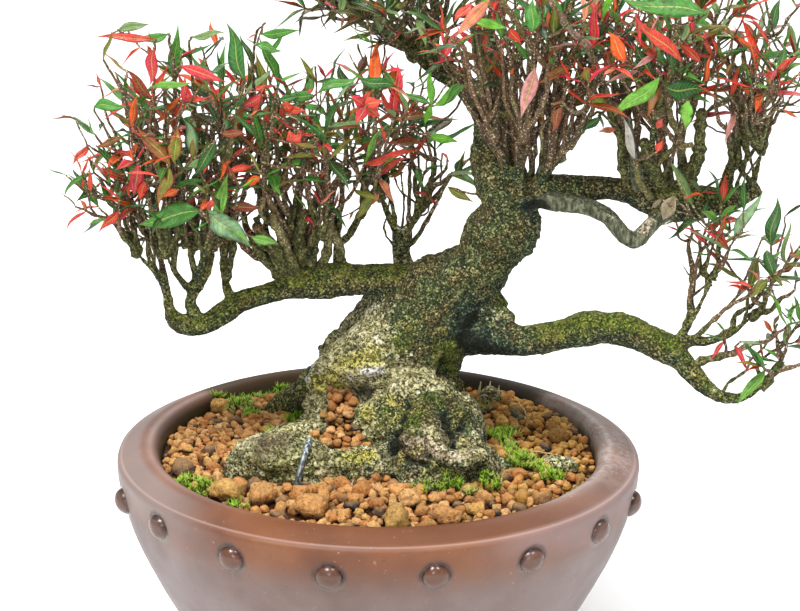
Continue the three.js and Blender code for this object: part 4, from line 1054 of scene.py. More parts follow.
# Dents and lumps placed by the pixel of the photograph that shows them, with size and depth
SEEN_MARKS = {
    "ledge_end": ((313, 377), 4, 1.6), "ledge_left": ((326, 374), 4, 1.4),
    "ledge_mid": ((341, 375), 4, 1.7), "ledge_right": ((357, 373), 4, 1.5),
    "ledge_tip": ((373, 372), 4, 1.8), "ledge_knee": ((389, 371), 4, 1.0),
    "undercut_left": ((320, 391), 4.4, -1.8), "undercut_mid": ((337, 391), 4.4, -2.0),
    "undercut_right": ((354, 389), 4.4, -2.2), "undercut_knee": ((371, 389), 4.4, -2.6),
    "pale_foot": ((533, 206), 3.2, -2.4), "pale_elbow": ((645, 224), 2.6, 0.5),
    "clump_a": ((346, 352), 3.6, 1.2), "clump_b": ((368, 343), 3.4, 1.2), "clump_c": ((386, 340), 3.4, 1.3),
    "clump_d": ((332, 362), 3.2, 1.0), "clump_gap_a": ((357, 361), 3, -1.2),
    "clump_gap_b": ((392, 348), 3.2, -1.5), "clump_gap_c": ((340, 364), 2.6, -1.0),
    "knee_crest_left": ((396, 389), 4, 1.4), "knee_crest": ((411, 382), 4.6, 1.8),
    "knee_crest_right": ((426, 378), 4.4, 1.5), "above_knee": ((400, 370), 4, -1.8),
    "above_knee_right": ((442, 368), 5, -1.6), "crevice_top": ((406, 404), 2.4, -2.8),
    "crevice": ((401, 418), 2.4, -3.6), "crevice_low": ((396, 432), 2.6, -3.6),
    "crevice_foot": ((392, 446), 2.8, -2.8), "knee_cheek": ((380, 424), 5, 1.4),
    "knee_bulge": ((425, 415), 6, 1.2), "side_gap": ((446, 416), 3, -3.6),
    "side_gap_low": ((456, 428), 3, -3.2), "side_strand": ((462, 412), 3, 1.4),
    "strand_gap": ((468, 426), 2.6, -2.4), "ring_inside": ((456, 442), 3.4, -3),
    "ring_corner": ((478, 446), 3, 1.2), "right_gap": ((491, 437), 4, -2.6),
    "cheek_low": ((370, 438), 4, 1.6), "elbow_swell": ((666, 358), 5, 1.4),
    "front_root_dent": ((330, 462), 5, -1.0), "front_root_lump": ((280, 450), 6, 1.0),
}

# Patches of cover placed by pixel: size and how much is added
SEEN_PATCHES = {
    "lichen": [
        ((340, 355), 12, 0.34), ((368, 328), 11, 0.26), ((425, 330), 12, -0.25), ((440, 352), 9, -0.3),
        ((454, 386), 8, -0.35), ((456, 408), 8, -0.25), ((420, 300), 12, -0.12), ((405, 415), 7, -0.2),
        ((402, 385), 4.4, 0.8), ((413, 381), 4.4, 0.7), ((425, 378), 4, 0.6), ((330, 372), 8, 0.3),
        ((395, 296), 8, 0.12), ((424, 404), 7, -0.3), ((440, 402), 6, -0.3), ((432, 430), 4, 0.3),
        ((408, 436), 4, 0.2), ((318, 230), 4, 0.7), ((330, 216), 4, 0.7), ((303, 219), 3.4, 0.7),
        ((338, 246), 3.4, 0.6), ((286, 222), 3, 0.5), ((440, 390), 5, 0.25), ((300, 420), 5, 0.5),
        ((320, 416), 4, 0.4), ((262, 440), 5, 0.25), ((478, 384), 4, 0.3), ((500, 396), 4, 0.3),
        ((470, 452), 5, 0.4),
    ],
    "moss": [
        ((507, 311), 3.6, 1.1), ((492, 342), 8, -0.9), ((509, 336), 7, -0.8), ((478, 350), 5, -0.4),
        ((384, 410), 6, 0.3), ((370, 426), 6, 0.4), ((340, 394), 7, 0.4), ((366, 392), 6, 0.4),
        ((290, 468), 9, 0.3), ((398, 343), 3.4, 0.8), ((330, 398), 7, 0.5), ((312, 400), 7, 0.5),
        ((352, 404), 5, 0.4), ((410, 428), 5, 0.5), ((452, 352), 7, 0.5), ((466, 366), 6, 0.6),
        ((400, 452), 4, 0.5), ((345, 462), 7, 0.3), ((272, 462), 9, 0.3), ((372, 434), 5, 0.4),
        ((430, 398), 4, 0.2),
    ],
    "pale": [((432, 447), 3, 0.3)],
    "white": [
        ((364, 373), 1.4, 1.2), ((369, 372), 1.5, 1.3), ((374, 371), 1.5, 1.3), ((379, 370), 1.4, 1.2),
        ((384, 371), 1.2, 0.9), ((347, 378), 2.2, 0.9), ((312, 374), 3.6, 1.1), ((309, 368), 2.8, 0.9),
        ((381, 341), 2.8, 0.5), ((372, 307), 3.4, 0.5), ((367, 325), 2.6, 0.4), ((413, 356), 2.6, 0.45),
        ((400, 359), 2.2, 0.4), ((405, 391), 2.8, 0.4), ((445, 270), 3, 0.4),
    ],
    "yellow": [
        ((316, 385), 4, 1.0), ((328, 380), 4, 0.7), ((356, 362), 4, 0.75), ((372, 352), 4, 0.6),
        ((340, 368), 4, 0.5), ((389, 399), 2.4, 1.2), ((394, 402), 2, 0.9), ((366, 413), 4.2, 0.85),
        ((361, 455), 3.6, 0.85), ((371, 457), 3, 0.7), ((400, 458), 3, 0.6), ((396, 322), 4, 0.4),
        ((290, 466), 4, 0.4), ((386, 348), 3, 0.4),
    ],
    "pink": [
        ((424, 441), 2.2, 0.9), ((430, 447), 2.4, 0.9), ((438, 452), 2.4, 0.9), ((448, 457), 2.4, 0.9),
        ((460, 457), 2.4, 0.9), ((472, 454), 2.2, 0.8), ((446, 424), 3, 0.7), ((435, 370), 3, 0.6),
        ((476, 398), 3, 0.5), ((410, 448), 3, 0.5), ((642, 230), 2.6, 0.9), ((649, 221), 2.6, 0.9),
    ],
    "stem": [
        ((318, 230), 4, -0.9), ((330, 216), 4, -0.9), ((303, 219), 3.4, -0.9), ((262, 446), 7, 0.75),
        ((284, 440), 6, 0.6), ((326, 452), 6, 0.5), ((398, 440), 5, 0.9), ((412, 450), 5, 0.9),
        ((440, 420), 5, 0.5), ((455, 436), 5, 0.6), ((425, 455), 5, 0.6), ((395, 455), 5, 0.5),
    ],
    # Painted shade in crevices, gaps and undersides where the amount is below zero, painted light where it is
    # above
    "light": [
        ((424, 404), 7, -0.2), ((440, 400), 6, -0.25), ((290, 244), 6, -0.3), ((312, 246), 5, -0.35),
        ((300, 234), 4, -0.3), ((507, 311), 4, 0.5), ((492, 342), 8, -0.2), ((509, 336), 7, -0.2),
        ((480, 335), 8, -0.25), ((440, 345), 9, -0.1), ((320, 393), 5, -0.35), ((337, 393), 5, -0.35),
        ((354, 392), 5, -0.4), ((371, 391), 5, -0.5), ((406, 404), 2, -0.8), ((401, 418), 2.2, -0.9),
        ((396, 432), 2.4, -0.9), ((392, 446), 2.6, -0.8), ((446, 417), 2.8, -0.8), ((456, 430), 2.6, -0.8),
        ((468, 426), 2.2, -0.7), ((456, 443), 2.6, -0.7), ((491, 437), 3.4, -0.7), ((442, 368), 5, -0.3),
        ((400, 371), 3, -0.4), ((372, 448), 3, -0.4), ((412, 462), 4, -0.3), ((425, 462), 4, -0.4),
        ((460, 330), 8, -0.3), ((500, 467), 4, -0.5), ((385, 450), 4, -0.3), ((410, 450), 5, -0.45),
        ((400, 440), 4, -0.4), ((446, 425), 4, -0.3), ((533, 206), 3.4, -1.0), ((541, 204), 2.6, -0.6),
        ((478, 300), 9, -0.3), ((462, 316), 8, -0.25),
    ],
}
COVER_LAYERS = ("lichen", "moss", "pale", "light")
PATCH_LAYERS = ("white", "yellow", "pink", "stem")
PATCH_STRENGTH = 0.66

# How much lichen, moss and pale bark each member carries; the trunk's is worked out by place
MEMBER_COVER = {
    "knee": (0.37, 0.32, 0), "knee_right": (0.32, 0.34, 0), "bark_ring": (0.3, 0.1, 0),
    "front": (0.5, 0.38, 0), "diagonal": (0.42, 0.36, 0), "ridge": (0.56, 0.36, 0),
    "left_back": (0.2, 0.4, 0), "right_back": (0.35, 0.35, 0), "surfacing": (0.35, 0.3, 0),
    "left": (0.1, 0.56, 0), "middle": (0.3, 0.36, 0), "right_low": (0.06, 0.7, 0),
    "right_upper": (0.16, 0.16, 0), "right_burl": (0.2, 0.5, 0), "right_pale": (0.2, 0.1, 1),
    "back": (0.2, 0.3, 0), "sawn_low": (0.3, 0.62, 0), "sawn_high": (0.4, 0.1, 0.6),
    "dead_right": (0.1, 0.0, 1),
}
RISER_COVER = (0.18, 0.52, 0)

# How far above a riser's foot its rind turns brown, the height over which wood counts as slender,
# and where the pale branch loses its green bark
RIND_START = (5, 17)
SLENDER_START = 96
PALE_START = (46, 53)

# How brown the rind of each pad's risers is beyond their feet
RISER_RIND = {"left": 0.75, "middle": 0.7, "back": 0.5, "top": 0.9, "centre": 1.0, "right": 0.3, "low": 0.4}


def mesh_arrays(mesh):
    """Points in millimetres and normals of a mesh"""
    count = len(mesh.vertices)
    points = np.empty(count * 3)
    normals = np.empty(count * 3)
    mesh.vertices.foreach_get("co", points)
    mesh.vertices.foreach_get("normal", normals)
    return points.reshape(-1, 3) / MM, normals.reshape(-1, 3)


def bump_at(points, place, size):
    """1 at a place, falling away over about this size"""
    return np.exp(-(np.linalg.norm(points - place, axis=1) / size) ** 2)


def bark_relief(points, stout):
    """How far lumps, wrinkles, folds and crust push each point out, and how deep it lies in a crack"""
    low = ramp_between(118, 96, points[:, 2]) * stout
    above = ramp_between(100, 124, points[:, 2])
    lumps = wobble(points, 11, 2, 1) * (0.25 + 1.1 * stout)
    wrinkles = 1 - np.abs(wobble(points * (0.55, 0.8, 1.5), 5.5, 2, 2)) * 2
    wrinkles = wrinkles * (0.1 + 0.45 * stout) * (1 - 0.45 * above)
    fold_depth = 0.12 + 0.3 * stout * (1 - 0.5 * above) + 1.3 * low
    folds = wobble(points * (0.8, 0.8, 1.6), 3.6, 2, 9) * fold_depth
    crust = wobble(points, 1.8, 2, 5) * (0.2 + 0.24 * stout)
    cracks = 1 - ramp_between(0.0, 0.2, cracked(points * (0.8, 1, 1.15), 3.4, 6))
    return lumps + wrinkles + folds + (crust - cracks * (0.12 + 0.36 * stout)), cracks


def trunk_height(points):
    """0 at the trunk's foot and 1 at its shoulder"""
    return ramp_between(98, 134, points[:, 2])


def member_cover(points, normals, hearts, owner, names, sunk):
    """Cover and patch values by member, by place on the trunk and by which way the bark faces"""
    cover = np.zeros((len(points), 4))
    patch = np.zeros((len(points), 4))
    cover[:, :3] = np.array([MEMBER_COVER.get(name, RISER_COVER) for name in names])[owner]
    rinds = np.array([RISER_RIND[name.split("_")[0]] if name in RISERS else 0 for name in names])
    feet = np.array([RISERS[name][0][0][2] if name in RISERS else 0 for name in names])
    patch[:, 3] = rinds[owner] * ramp_between(*RIND_START, points[:, 2] - feet[owner])
    cover[:, 1] *= 1 - 0.5 * patch[:, 3]

    on_trunk = (names.index("trunk") == owner) | (names.index("side_burl") == owner)
    upward = ramp_between(-0.5, 0.7, normals[:, 2])
    slender = ~on_trunk & (points[:, 2] > SLENDER_START)
    cover[:, 1] *= np.where(slender, 0.35 + 0.75 * upward, 1)
    cover[:, 0] *= np.where(slender, 0.5 + 0.7 * upward, 1)

    outwards = (points - hearts[:, :3]) / hearts[:, 3:]
    shaded = ramp_between(-0.1, 0.7, outwards[:, 0] * 0.95 + 0.2 * outwards[:, 1])
    high = trunk_height(points)
    cover[:, 0] = np.where(on_trunk, np.clip(0.6 - 0.46 * high - 0.38 * shaded, 0, 1), cover[:, 0])
    cover[:, 1] = np.where(on_trunk, 0.3 + 0.12 * shaded * (1 - high) - 0.06 * high, cover[:, 1])
    cover[:, 2] = np.where(on_trunk, 0, cover[:, 2])
    # Painted light and shade: the trunk darker on its right side away from the lights, other wood lighter
    # where it faces up, all darker where dents and cracks sink it
    light = np.where(on_trunk, 1 - 0.8 * shaded, 0.2 + 0.8 * upward)
    cover[:, 3] = light * 0.66 + 0.4 - sunk
    is_pale = owner == names.index("right_pale")
    cover[:, 2] *= np.where(is_pale, ramp_between(*PALE_START, points[:, 0]), 1)
    return cover, patch


def carve_bark(wood, balls, owners, names):
    """Pushes the bark's relief and named marks out along the normals, and stores the cover they carry"""
    mesh = wood.data
    points, normals = mesh_arrays(mesh)
    tree = wood_tree(wood)

    def seen(pixel):
        """The place on the wood that a pixel shows, or one far away where it shows none"""
        eye, way = line_of_sight(pixel)
        place = tree.ray_cast(eye, way)[0]
        return np.array(place if place is not None else (0, 0, -500))

    nearest = nearest_balls(points, balls)
    stout = ramp_between(2, 12, balls[nearest, 3])
    push, cracks = bark_relief(points, stout)
    for place, size, depth in WOOD_MARKS.values():
        push += bump_at(points, place, size) * depth
    for pixel, size, depth in SEEN_MARKS.values():
        push += bump_at(points, seen(pixel), size) * depth
    mesh.vertices.foreach_set("co", ((points + normals * push[:, None]) * MM).ravel())
    mesh.update()

    # Painted shade in dents and cracks, which lowers the light value
    sunk = np.clip(-push * 0.12, 0, 0.35) + cracks * 0.16
    cover, patch = member_cover(points, normals, balls[nearest], owners[nearest], names, sunk)
    for layers, table, strength in ((COVER_LAYERS, cover, 1), (PATCH_LAYERS, patch, PATCH_STRENGTH)):
        for column, layer in enumerate(layers):
            for pixel, size, amount in SEEN_PATCHES[layer]:
                table[:, column] += bump_at(points, seen(pixel), size) * amount * strength
    high = trunk_height(points)
    patch[:, 0] += ramp_between(0.25, 0.6, wobble(points, 13, 2, 14)) * 0.16 * stout * (1 - high)
    patch[:, 1] += ramp_between(0.15, 0.5, wobble(points, 7, 2, 15)) * 0.34 * (1 - 0.6 * high)
    add_colours(wood, "cover", np.clip(cover, 0, 1))
    add_colours(wood, "patch", np.clip(patch, 0, 1))


# Growth: the solids' own rule with the same seeds, then more and finer shoots of the same kind

RANDOM_MODULUS = 2147483647


def random_from(seed):
    """Seeded random numbers: a small multiplicative generator"""
    state = (seed * 7919 + 104729) % RANDOM_MODULUS

    def draw():
        nonlocal state
        state = state * 48271 % RANDOM_MODULUS
        return state / RANDOM_MODULUS
    return draw


def balls_along(path):
    balls = []
    for a, b in zip(path, path[1:]):
        a, b = np.array(a, float), np.array(b, float)
        steps = max(math.floor(np.linalg.norm((b - a)[:3]) / BALL_STEP + 0.5), 1)
        balls += [a + (b - a) * (s / steps) for s in range(steps)]
    balls.append(np.array(path[-1], float))
    return np.array(balls)


class Thicket:
    """Sampled balls of everything grown so far, kept by the cell they lie in, which keep the growth apart"""

    def __init__(self, room=160000):
        self.balls = np.zeros((room, 4))
        self.parts = np.zeros(room, int)
        self.count = 0
        self.numbers = {}
        self.cell = 12
        self.large = []
        self.cells = {}

    def number(self, part):
        return self.numbers.setdefault(part, len(self.numbers) + 1)

    def add(self, balls, part):
        end = self.count + len(balls)
        self.balls[self.count:end] = balls
        self.parts[self.count:end] = self.number(part)
        for index, (x, y, z, radius) in enumerate(balls, self.count):
            if radius > 4:
                self.large.append(index)
            else:
                key = (math.floor(x / self.cell), math.floor(y / self.cell), math.floor(z / self.cell))
                self.cells.setdefault(key, []).append(index)
        self.count = end

    def near(self, balls, clearance):
        """Indices of the balls that may touch any of these"""
        reach = balls[:, 3].max() + clearance + 4
        low = np.floor((balls[:, :3].min(axis=0) - reach) / self.cell).astype(int)
        high = np.floor((balls[:, :3].max(axis=0) + reach) / self.cell).astype(int)
        found = list(self.large)
        for i in range(low[0], high[0] + 1):
            for j in range(low[1], high[1] + 1):
                for k in range(low[2], high[2] + 1):
                    found += self.cells.get((i, j, k), ())
        return np.array(found, int)

    def is_clear(self, balls, root, root_share, clearance):
        """No ball comes near another part; the root's own balls are let past at the start"""
        near = self.near(balls, clearance)
        others = self.balls[near]
        if len(others) == 0:
            return True
        apart = ((balls[:, None, :3] - others[None, :, :3]) ** 2).sum(axis=2)
        room = balls[:, None, 3] + others[None, :, 3] + clearance
        free = apart > room * room
        early = np.arange(len(balls)) < root_share * len(balls)
        own = self.parts[near] == self.number(root)
        return bool((free | (early[:, None] & own[None, :])).all())

    def first_clear(self, make, balls_of, part, root, root_share, clearance=CLEARANCE, attempts=ATTEMPTS):
        for attempt in range(attempts):
            candidate = make(attempt)
            balls = balls_of(candidate)
            if self.is_clear(balls, root, root_share, clearance):
                self.add(balls, part)
                return candidate
        return None


def bend(start, control, end, t):
    return start * (1 - t) ** 2 + control * (2 * t * (1 - t)) + end * (t * t)


def twig_path(start, control, end, radius, steps, draw, tip=TWIG_TIP_RADIUS, sway=TWIG_SWAY):
    path = []
    for i in range(steps + 1):
        t = i / steps
        p = bend(start, control, end, t)
        shake = np.array([draw() - 0.5, draw() - 0.5, draw() - 0.5])
        p = p + shake * (0 if i == 0 else sway)
        path.append((p[0], p[1], p[2], radius + (tip - radius) * t))
    return path


def grow_stem(spray, attempt):
    draw = random_from(spray["seed"] * 101 + attempt * 17)
    before, seat = [np.array(p, float) for p in spray["wood"][-2:]]
    way = unit(seat[:3] - before[:3])
    start = seat[:3] + way * SEAT_GAP
    neck = start + way * NECK
    reach = spray["reach"]
    shift = np.array([0.5 * reach[0] * (draw() - 0.5), 0.5 * reach[1] * (draw() - 0.5),
                      reach[2] * (0.4 + 0.3 * draw())])
    end = spray["crown"] + shift
    control = neck + way * (0.4 * np.linalg.norm(end - neck))
    path = twig_path(neck, control, end, seat[3] * 0.92, STEM_STEPS, draw)
    return [(start[0], start[1], start[2], seat[3])] + path


def grow_twig(spray, stem, index, attempt):
    draw = random_from(spray["seed"] * 977 + index * 31 + attempt * 7)
    source = stem[2 + index]
    start = np.array(source[:3])
    turn = index * 2.1 + spray["seed"] * 1.3 + 0.5 * attempt * (draw() - 0.5)
    lift = -0.3 + 0.35 * index + 0.4 * (draw() - 0.5)
    level = math.cos(lift)
    reach = spray["reach"]
    end = spray["crown"] + np.array([reach[0] * level * math.cos(turn), reach[1] * level * math.sin(turn),
                                     reach[2] * math.sin(lift)])
    control = (start + end) / 2 + np.array([0, 0, -0.15 * np.linalg.norm(end - start)])
    return twig_path(start, control, end, min(1.1, source[3] * 0.9), TWIG_STEPS, draw)


def grow_leaf(spray, twig, slot, place, attempt):
    """Place 0 ends the twig; places 1 and 2 are the pair at its last node but one"""
    draw = random_from(spray["seed"] * 3331 + slot * 53 + attempt * 11)
    before, at = [np.array(p[:3]) for p in (twig[-2:] if place == 0 else twig[-3:-1])]
    way = unit(at - before)
    side = unit(np.cross(way, (0.3, 0.2, 1)))
    turn = place * math.pi + spray["seed"] + 0.25 * attempt * (draw() - 0.5) + slot
    out = side * math.cos(turn) + np.cross(way, side) * math.sin(turn)
    along = way * (1 if place == 0 else 0.45) + out * (0.3 if place == 0 else 1)
    along = unit(along + np.array([0, 0, -0.2 if place == 0 else 0]))
    up = np.array([0.6 * (draw() - 0.5), 0.6 * (draw() - 0.5) - 0.2, 1])
    up = unit(up - along * up.dot(along))
    length = (LEAF_SHORTEST + LEAF_SPREAD * draw()) * (0.72 if attempt > 6 else 1)
    width = length * LEAF_WIDTH_SHARE * (0.85 + 0.3 * draw())
    return {"base": at, "along": along, "up": up, "length": length, "width": width,
            "droop": 0.05 + 0.25 * draw()}


LEAF_BALLS = [
    (0.12, 0), (0.22, 0), (0.31, 0.34), (0.31, -0.34), (0.47, 0.34), (0.47, -0.34), (0.55, 0), (0.66, 0.3),
    (0.66, -0.3), (0.82, 0.12), (0.82, -0.12), (1, 0),
]
LEAF_BALL_RADIUS = 0.8


def leaf_point(leaf, t, across, rise=0.0):
    side = np.cross(leaf["along"], leaf["up"])
    return (leaf["base"] + leaf["along"] * (leaf["length"] * t) + side * across
            + leaf["up"] * (rise - leaf["droop"] * leaf["length"] * t * t))


def balls_of_leaf(leaf):
    points = [leaf_point(leaf, t, across * leaf["width"]) for t, across in LEAF_BALLS]
    return np.array([[*point, LEAF_BALL_RADIUS] for point in points])


def grow_sprays(thicket):
    """The sprays exactly as the solids have them"""
    for path in [TRUNK, *ROOTS.values(), *LIMBS.values(), *STUBS.values()]:
        thicket.add(balls_along(path), "wood")
    sprays = []
    for index, (name, (wood, crown, reach)) in enumerate(RISERS.items()):
        sprays.append({"name": name, "wood": wood, "crown": np.array(crown, float), "reach": reach,
                       "seed": index + 1, "shoots": []})
        thicket.add(balls_along(wood), name)
    for spray in sprays:
        part = f"{spray['name']} 0"
        stem = thicket.first_clear(lambda attempt: grow_stem(spray, attempt), balls_along, part,
                                   spray["name"], 0.2)
        spray["shoots"].append({"path": stem, "part": part, "leaves": []})
    for spray in sprays:
        stem = spray["shoots"][0]
        for i in range(TWIGS_PER_SPRAY):
            part = f"{spray['name']} {i + 1}"
            path = thicket.first_clear(lambda attempt: grow_twig(spray, stem["path"], i, attempt),
                                       balls_along, part, stem["part"], 0.4)
            if path:
                spray["shoots"].append({"path": path, "part": part, "leaves": []})
    for spray in sprays:
        for index, shoot in enumerate(spray["shoots"]):
            for place in range(3):
                slot = index * 3 + place
                leaf = thicket.first_clear(
                    lambda attempt: grow_leaf(spray, shoot["path"], slot, place, attempt), balls_of_leaf,
                    f"{shoot['part']} leaf", shoot["part"], 0.3)
                if leaf:
                    shoot["leaves"].append(leaf)
    return sprays


# Finer growth that only the visual model has: per pad, stems, twigs, most leaves to a shoot, the height
# under which leaves are few, and the share of red ones
FINE_GROWTH = {
    "left": (7, 12, 3, 152, 0.5),
    "middle": (5, 10, 3, 150, 0.4),
    "back": (8, 17, 6, 150, 0.14),
    "top": (7, 13, 5, 200, 0.34),
    "centre": (10, 11, 4, 203, 0.6),
    "right": (9, 12, 4, 198, 0.5),
    "low": (4, 8, 3, 90, 0.4),
}
FEW_LEAVES = 0.16
FINE_LEAF_LENGTHS = (5, 13)
BOX_MARGIN = 4
FINE_CLEARANCE = 0.0
FINE_ATTEMPTS = 6
FINE_TIP = 0.3


def fine_stem(spray, rng):
    """An upright stem from the riser or the main stem to somewhere in the crown"""
    sources = [np.array(p, float) for p in [*spray["wood"], *spray["shoots"][0]["path"][:2]]]
    spot = min(int(rng.random() ** 1.5 * len(sources)), len(sources) - 1)
    source = sources[spot]
    if spot + 1 < len(spray["wood"]):
        source = source + (sources[spot + 1] - source) * rng.random()
    start = source[:3]
    radius = min(rng.uniform(0.5, 1.35), source[3] * 0.66)
    turn = rng.uniform(0, 2 * math.pi)
    spread = rng.uniform(0.35, 1.05)
    reach = spray["reach"]
    end = spray["crown"] + np.array([reach[0] * spread * math.cos(turn), reach[1] * spread * math.sin(turn),
                                     reach[2] * rng.uniform(-0.5, 0.8)])
    lean = (end - start) * (1, 1, 0)
    control = start + np.array([0, 0, 0.5 * abs(end[2] - start[2])]) + lean * rng.uniform(0.3, 0.9)
    return twig_path(start, control, end, radius, 6, rng.random, FINE_TIP, 2.6)


def fine_twig(spray, rng):
    """A short side twig that leaves any shoot of the spray and turns up"""
    shoot = rng.choice(spray["shoots"])
    path = shoot["path"]
    spot = rng.randrange(1, len(path) - 1)
    source, after = np.array(path[spot]), np.array(path[spot + 1])
    start = source[:3] + (after[:3] - source[:3]) * rng.random()
    turn = rng.uniform(0, 2 * math.pi)
    length = rng.uniform(9, 26)
    out = np.array([math.cos(turn), math.sin(turn), rng.uniform(0.2, 1.5)])
    end = start + unit(out) * length
    control = start + unit(out * (1, 1, 0.4)) * length * 0.45
    radius = min(rng.uniform(0.4, 0.72), source[3] * 0.75)
    return shoot["part"], twig_path(start, control, end, radius, 4, rng.random, FINE_TIP, 1.8)


def fine_leaf(path, rng, shortest, longest):
    """A leaf at a random node of the outer part of a twig, or at its tip"""
    spot = rng.choice([len(path) - 1] * 2 + list(range(max(len(path) // 2, 1), len(path))))
    at, before = np.array(path[spot][:3]), np.array(path[spot - 1][:3])
    way = unit(at - before)
    side = unit(np.cross(way, (0.3, 0.2, 1)))
    turn = rng.uniform(0, 2 * math.pi)
    out = side * math.cos(turn) + np.cross(way, side) * math.sin(turn)
    is_tip = spot == len(path) - 1
    along = way * (rng.uniform(0.5, 1.2) if is_tip else rng.uniform(0.2, 0.9)) + out
    along = unit(along + np.array([0, 0, rng.uniform(-0.35, 0.3)]))
    up = np.array([rng.uniform(-0.6, 0.6), rng.uniform(-0.8, 0.4), 1])
    up = unit(up - along * up.dot(along))
    length = rng.uniform(shortest, longest)
    width = length * rng.uniform(0.16, 0.27)
    return {"base": at, "along": along, "up": up, "length": length, "width": width,
            "droop": rng.uniform(-0.2, 0.4)}


def inside_box(path):
    """Whether a path stays within the solids' own box, with a little over"""
    low, high = [np.array(corner) / MM for corner in cad_box]
    points = np.array([p[:3] for p in path])
    return bool((points > low - BOX_MARGIN).all() and (points < high + BOX_MARGIN).all())


def pad_of(spray):
    return spray["name"].split("_")[0]


def thicken(sprays, thicket):
    """Adds fine stems, twigs and leaves to the sprays"""
    rng = random.Random(7)
    for spray in sprays:
        stems, twigs, *_ = FINE_GROWTH[pad_of(spray)]
        for wanted, grows_up in ((stems, True), (twigs, False)):
            for _ in range(wanted):
                for _ in range(FINE_ATTEMPTS):
                    root, path = (None, fine_stem(spray, rng)) if grows_up else fine_twig(spray, rng)
                    balls = balls_along(path)
                    tested = balls[4:] if grows_up else balls
                    if inside_box(path) and thicket.is_clear(tested, root or "wood", 0.5, FINE_CLEARANCE):
                        part = f"{spray['name']} fine {len(spray['shoots'])}"
                        thicket.add(balls, part)
                        spray["shoots"].append({"path": path, "part": part, "leaves": [], "fine": True,
                                                "from_wood": grows_up})
                        break
    for spray in sprays:
        _, _, most, leafy, _ = FINE_GROWTH[pad_of(spray)]
        for shoot in spray["shoots"]:
            wanted = rng.randrange(1, most + 1)
            for _ in range(wanted):
                for _ in range(FINE_ATTEMPTS):
                    leaf = fine_leaf(shoot["path"], rng, *FINE_LEAF_LENGTHS)
                    if leaf["base"][2] < leafy and rng.random() > FEW_LEAVES:
                        break
                    balls = balls_of_leaf(leaf) * (1, 1, 1, 0.3)
                    is_free = thicket.is_clear(balls, shoot["part"], 0.5, FINE_CLEARANCE)
                    if is_free and inside_box([balls[-1]]):
                        thicket.add(balls, f"{shoot['part']} leaf")
                        shoot["leaves"].append({**leaf, "fine": True})
                        break


# Leaf colours: the blade's tint and its edge's and tip's tint
LEAF_TINTS = {
    "deep_green": (paint(28, 86, 30), paint(46, 102, 36)),
    "green": (paint(44, 112, 32), paint(76, 132, 42)),
    "fresh_green": (paint(80, 146, 44), paint(126, 168, 62)),
    "dark_green": (paint(22, 60, 20), paint(34, 76, 26)),
    "silver_green": (paint(128, 160, 120), paint(66, 112, 58)),
    "olive": (paint(92, 104, 28), paint(124, 96, 34)),
    "grey_green": (paint(96, 124, 72), paint(124, 146, 96)),
    "grass": (paint(84, 158, 32), paint(112, 176, 48)), "umber": (paint(66, 60, 26), paint(88, 74, 34)),
    "crimson": (paint(192, 26, 48), paint(214, 60, 82)), "red": (paint(190, 30, 20), paint(206, 60, 40)),
    "coral": (paint(210, 50, 44), paint(226, 92, 80)), "orange": (paint(208, 66, 14), paint(222, 104, 34)),
    "pink": (paint(170, 104, 100), paint(206, 152, 146)),
    "salmon": (paint(206, 108, 76), paint(220, 146, 122)),
    "bronze": (paint(128, 84, 34), paint(160, 62, 40)),
    "brown_red": (paint(122, 46, 22), paint(150, 62, 36)),
    "two_tone": (paint(92, 116, 24), paint(190, 70, 50)),
    "dead": (paint(128, 112, 92), paint(160, 144, 120)),
    "withered": (paint(150, 142, 138), paint(182, 174, 170)),
}
GREEN_SHARES = {
    "deep_green": 6, "green": 6, "fresh_green": 2, "dark_green": 5, "silver_green": 1, "olive": 4,
    "grey_green": 2, "grass": 1,
}
BACK_GREEN_SHARES = {"dark_green": 6, "olive": 5, "umber": 6, "grey_green": 2, "deep_green": 3}
DULL_SHARES = {"dark_green": 4, "umber": 3, "olive": 2}
RED_SHARES = {
    "crimson": 4, "red": 5, "coral": 5, "orange": 4, "pink": 1, "salmon": 1, "bronze": 2, "brown_red": 5,
    "two_tone": 1,
}
STEM_TINTS = {
    "brown": paint(104, 80, 56), "dark": paint(70, 54, 40), "olive": paint(106, 100, 54),
    "pale": paint(146, 132, 114), "beige": paint(130, 120, 80), "mossy": paint(66, 66, 34),
    "shadow": paint(54, 46, 28),
}
TWIG_TINTS = [paint(90, 70, 50), paint(102, 82, 60), paint(76, 60, 42), paint(96, 72, 50)]
YOUNG_TINTS = [paint(98, 88, 46), paint(112, 66, 44), paint(84, 86, 42)]


def shaded_tints(name, rng):
    shift = rng.uniform(0.8, 1.2)
    return [np.array(tint) * (shift, shift, shift, 1) for tint in LEAF_TINTS[name]]


def pick_tints(shares, rng):
    return shaded_tints(rng.choices(list(shares), list(shares.values()))[0], rng)


BLADE_STATIONS = np.array([0, 0.045, 0.12, 0.22, 0.34, 0.46, 0.58, 0.7, 0.81, 0.91, 1])
SMALL_BLADE_STATIONS = np.array([0, 0.07, 0.2, 0.38, 0.58, 0.78, 1])
BLADE_RING = [(-1, 0), (-0.5, 0), (0, 0), (0.5, 0), (1, 0), (0.5, -1), (0, -1), (-0.5, -1)]
SMALL_BLADE_RING = [(-1, 0), (-0.45, 0), (0, 0), (0.45, 0), (1, 0), (0, -1)]
PETIOLE_HALF = 0.32


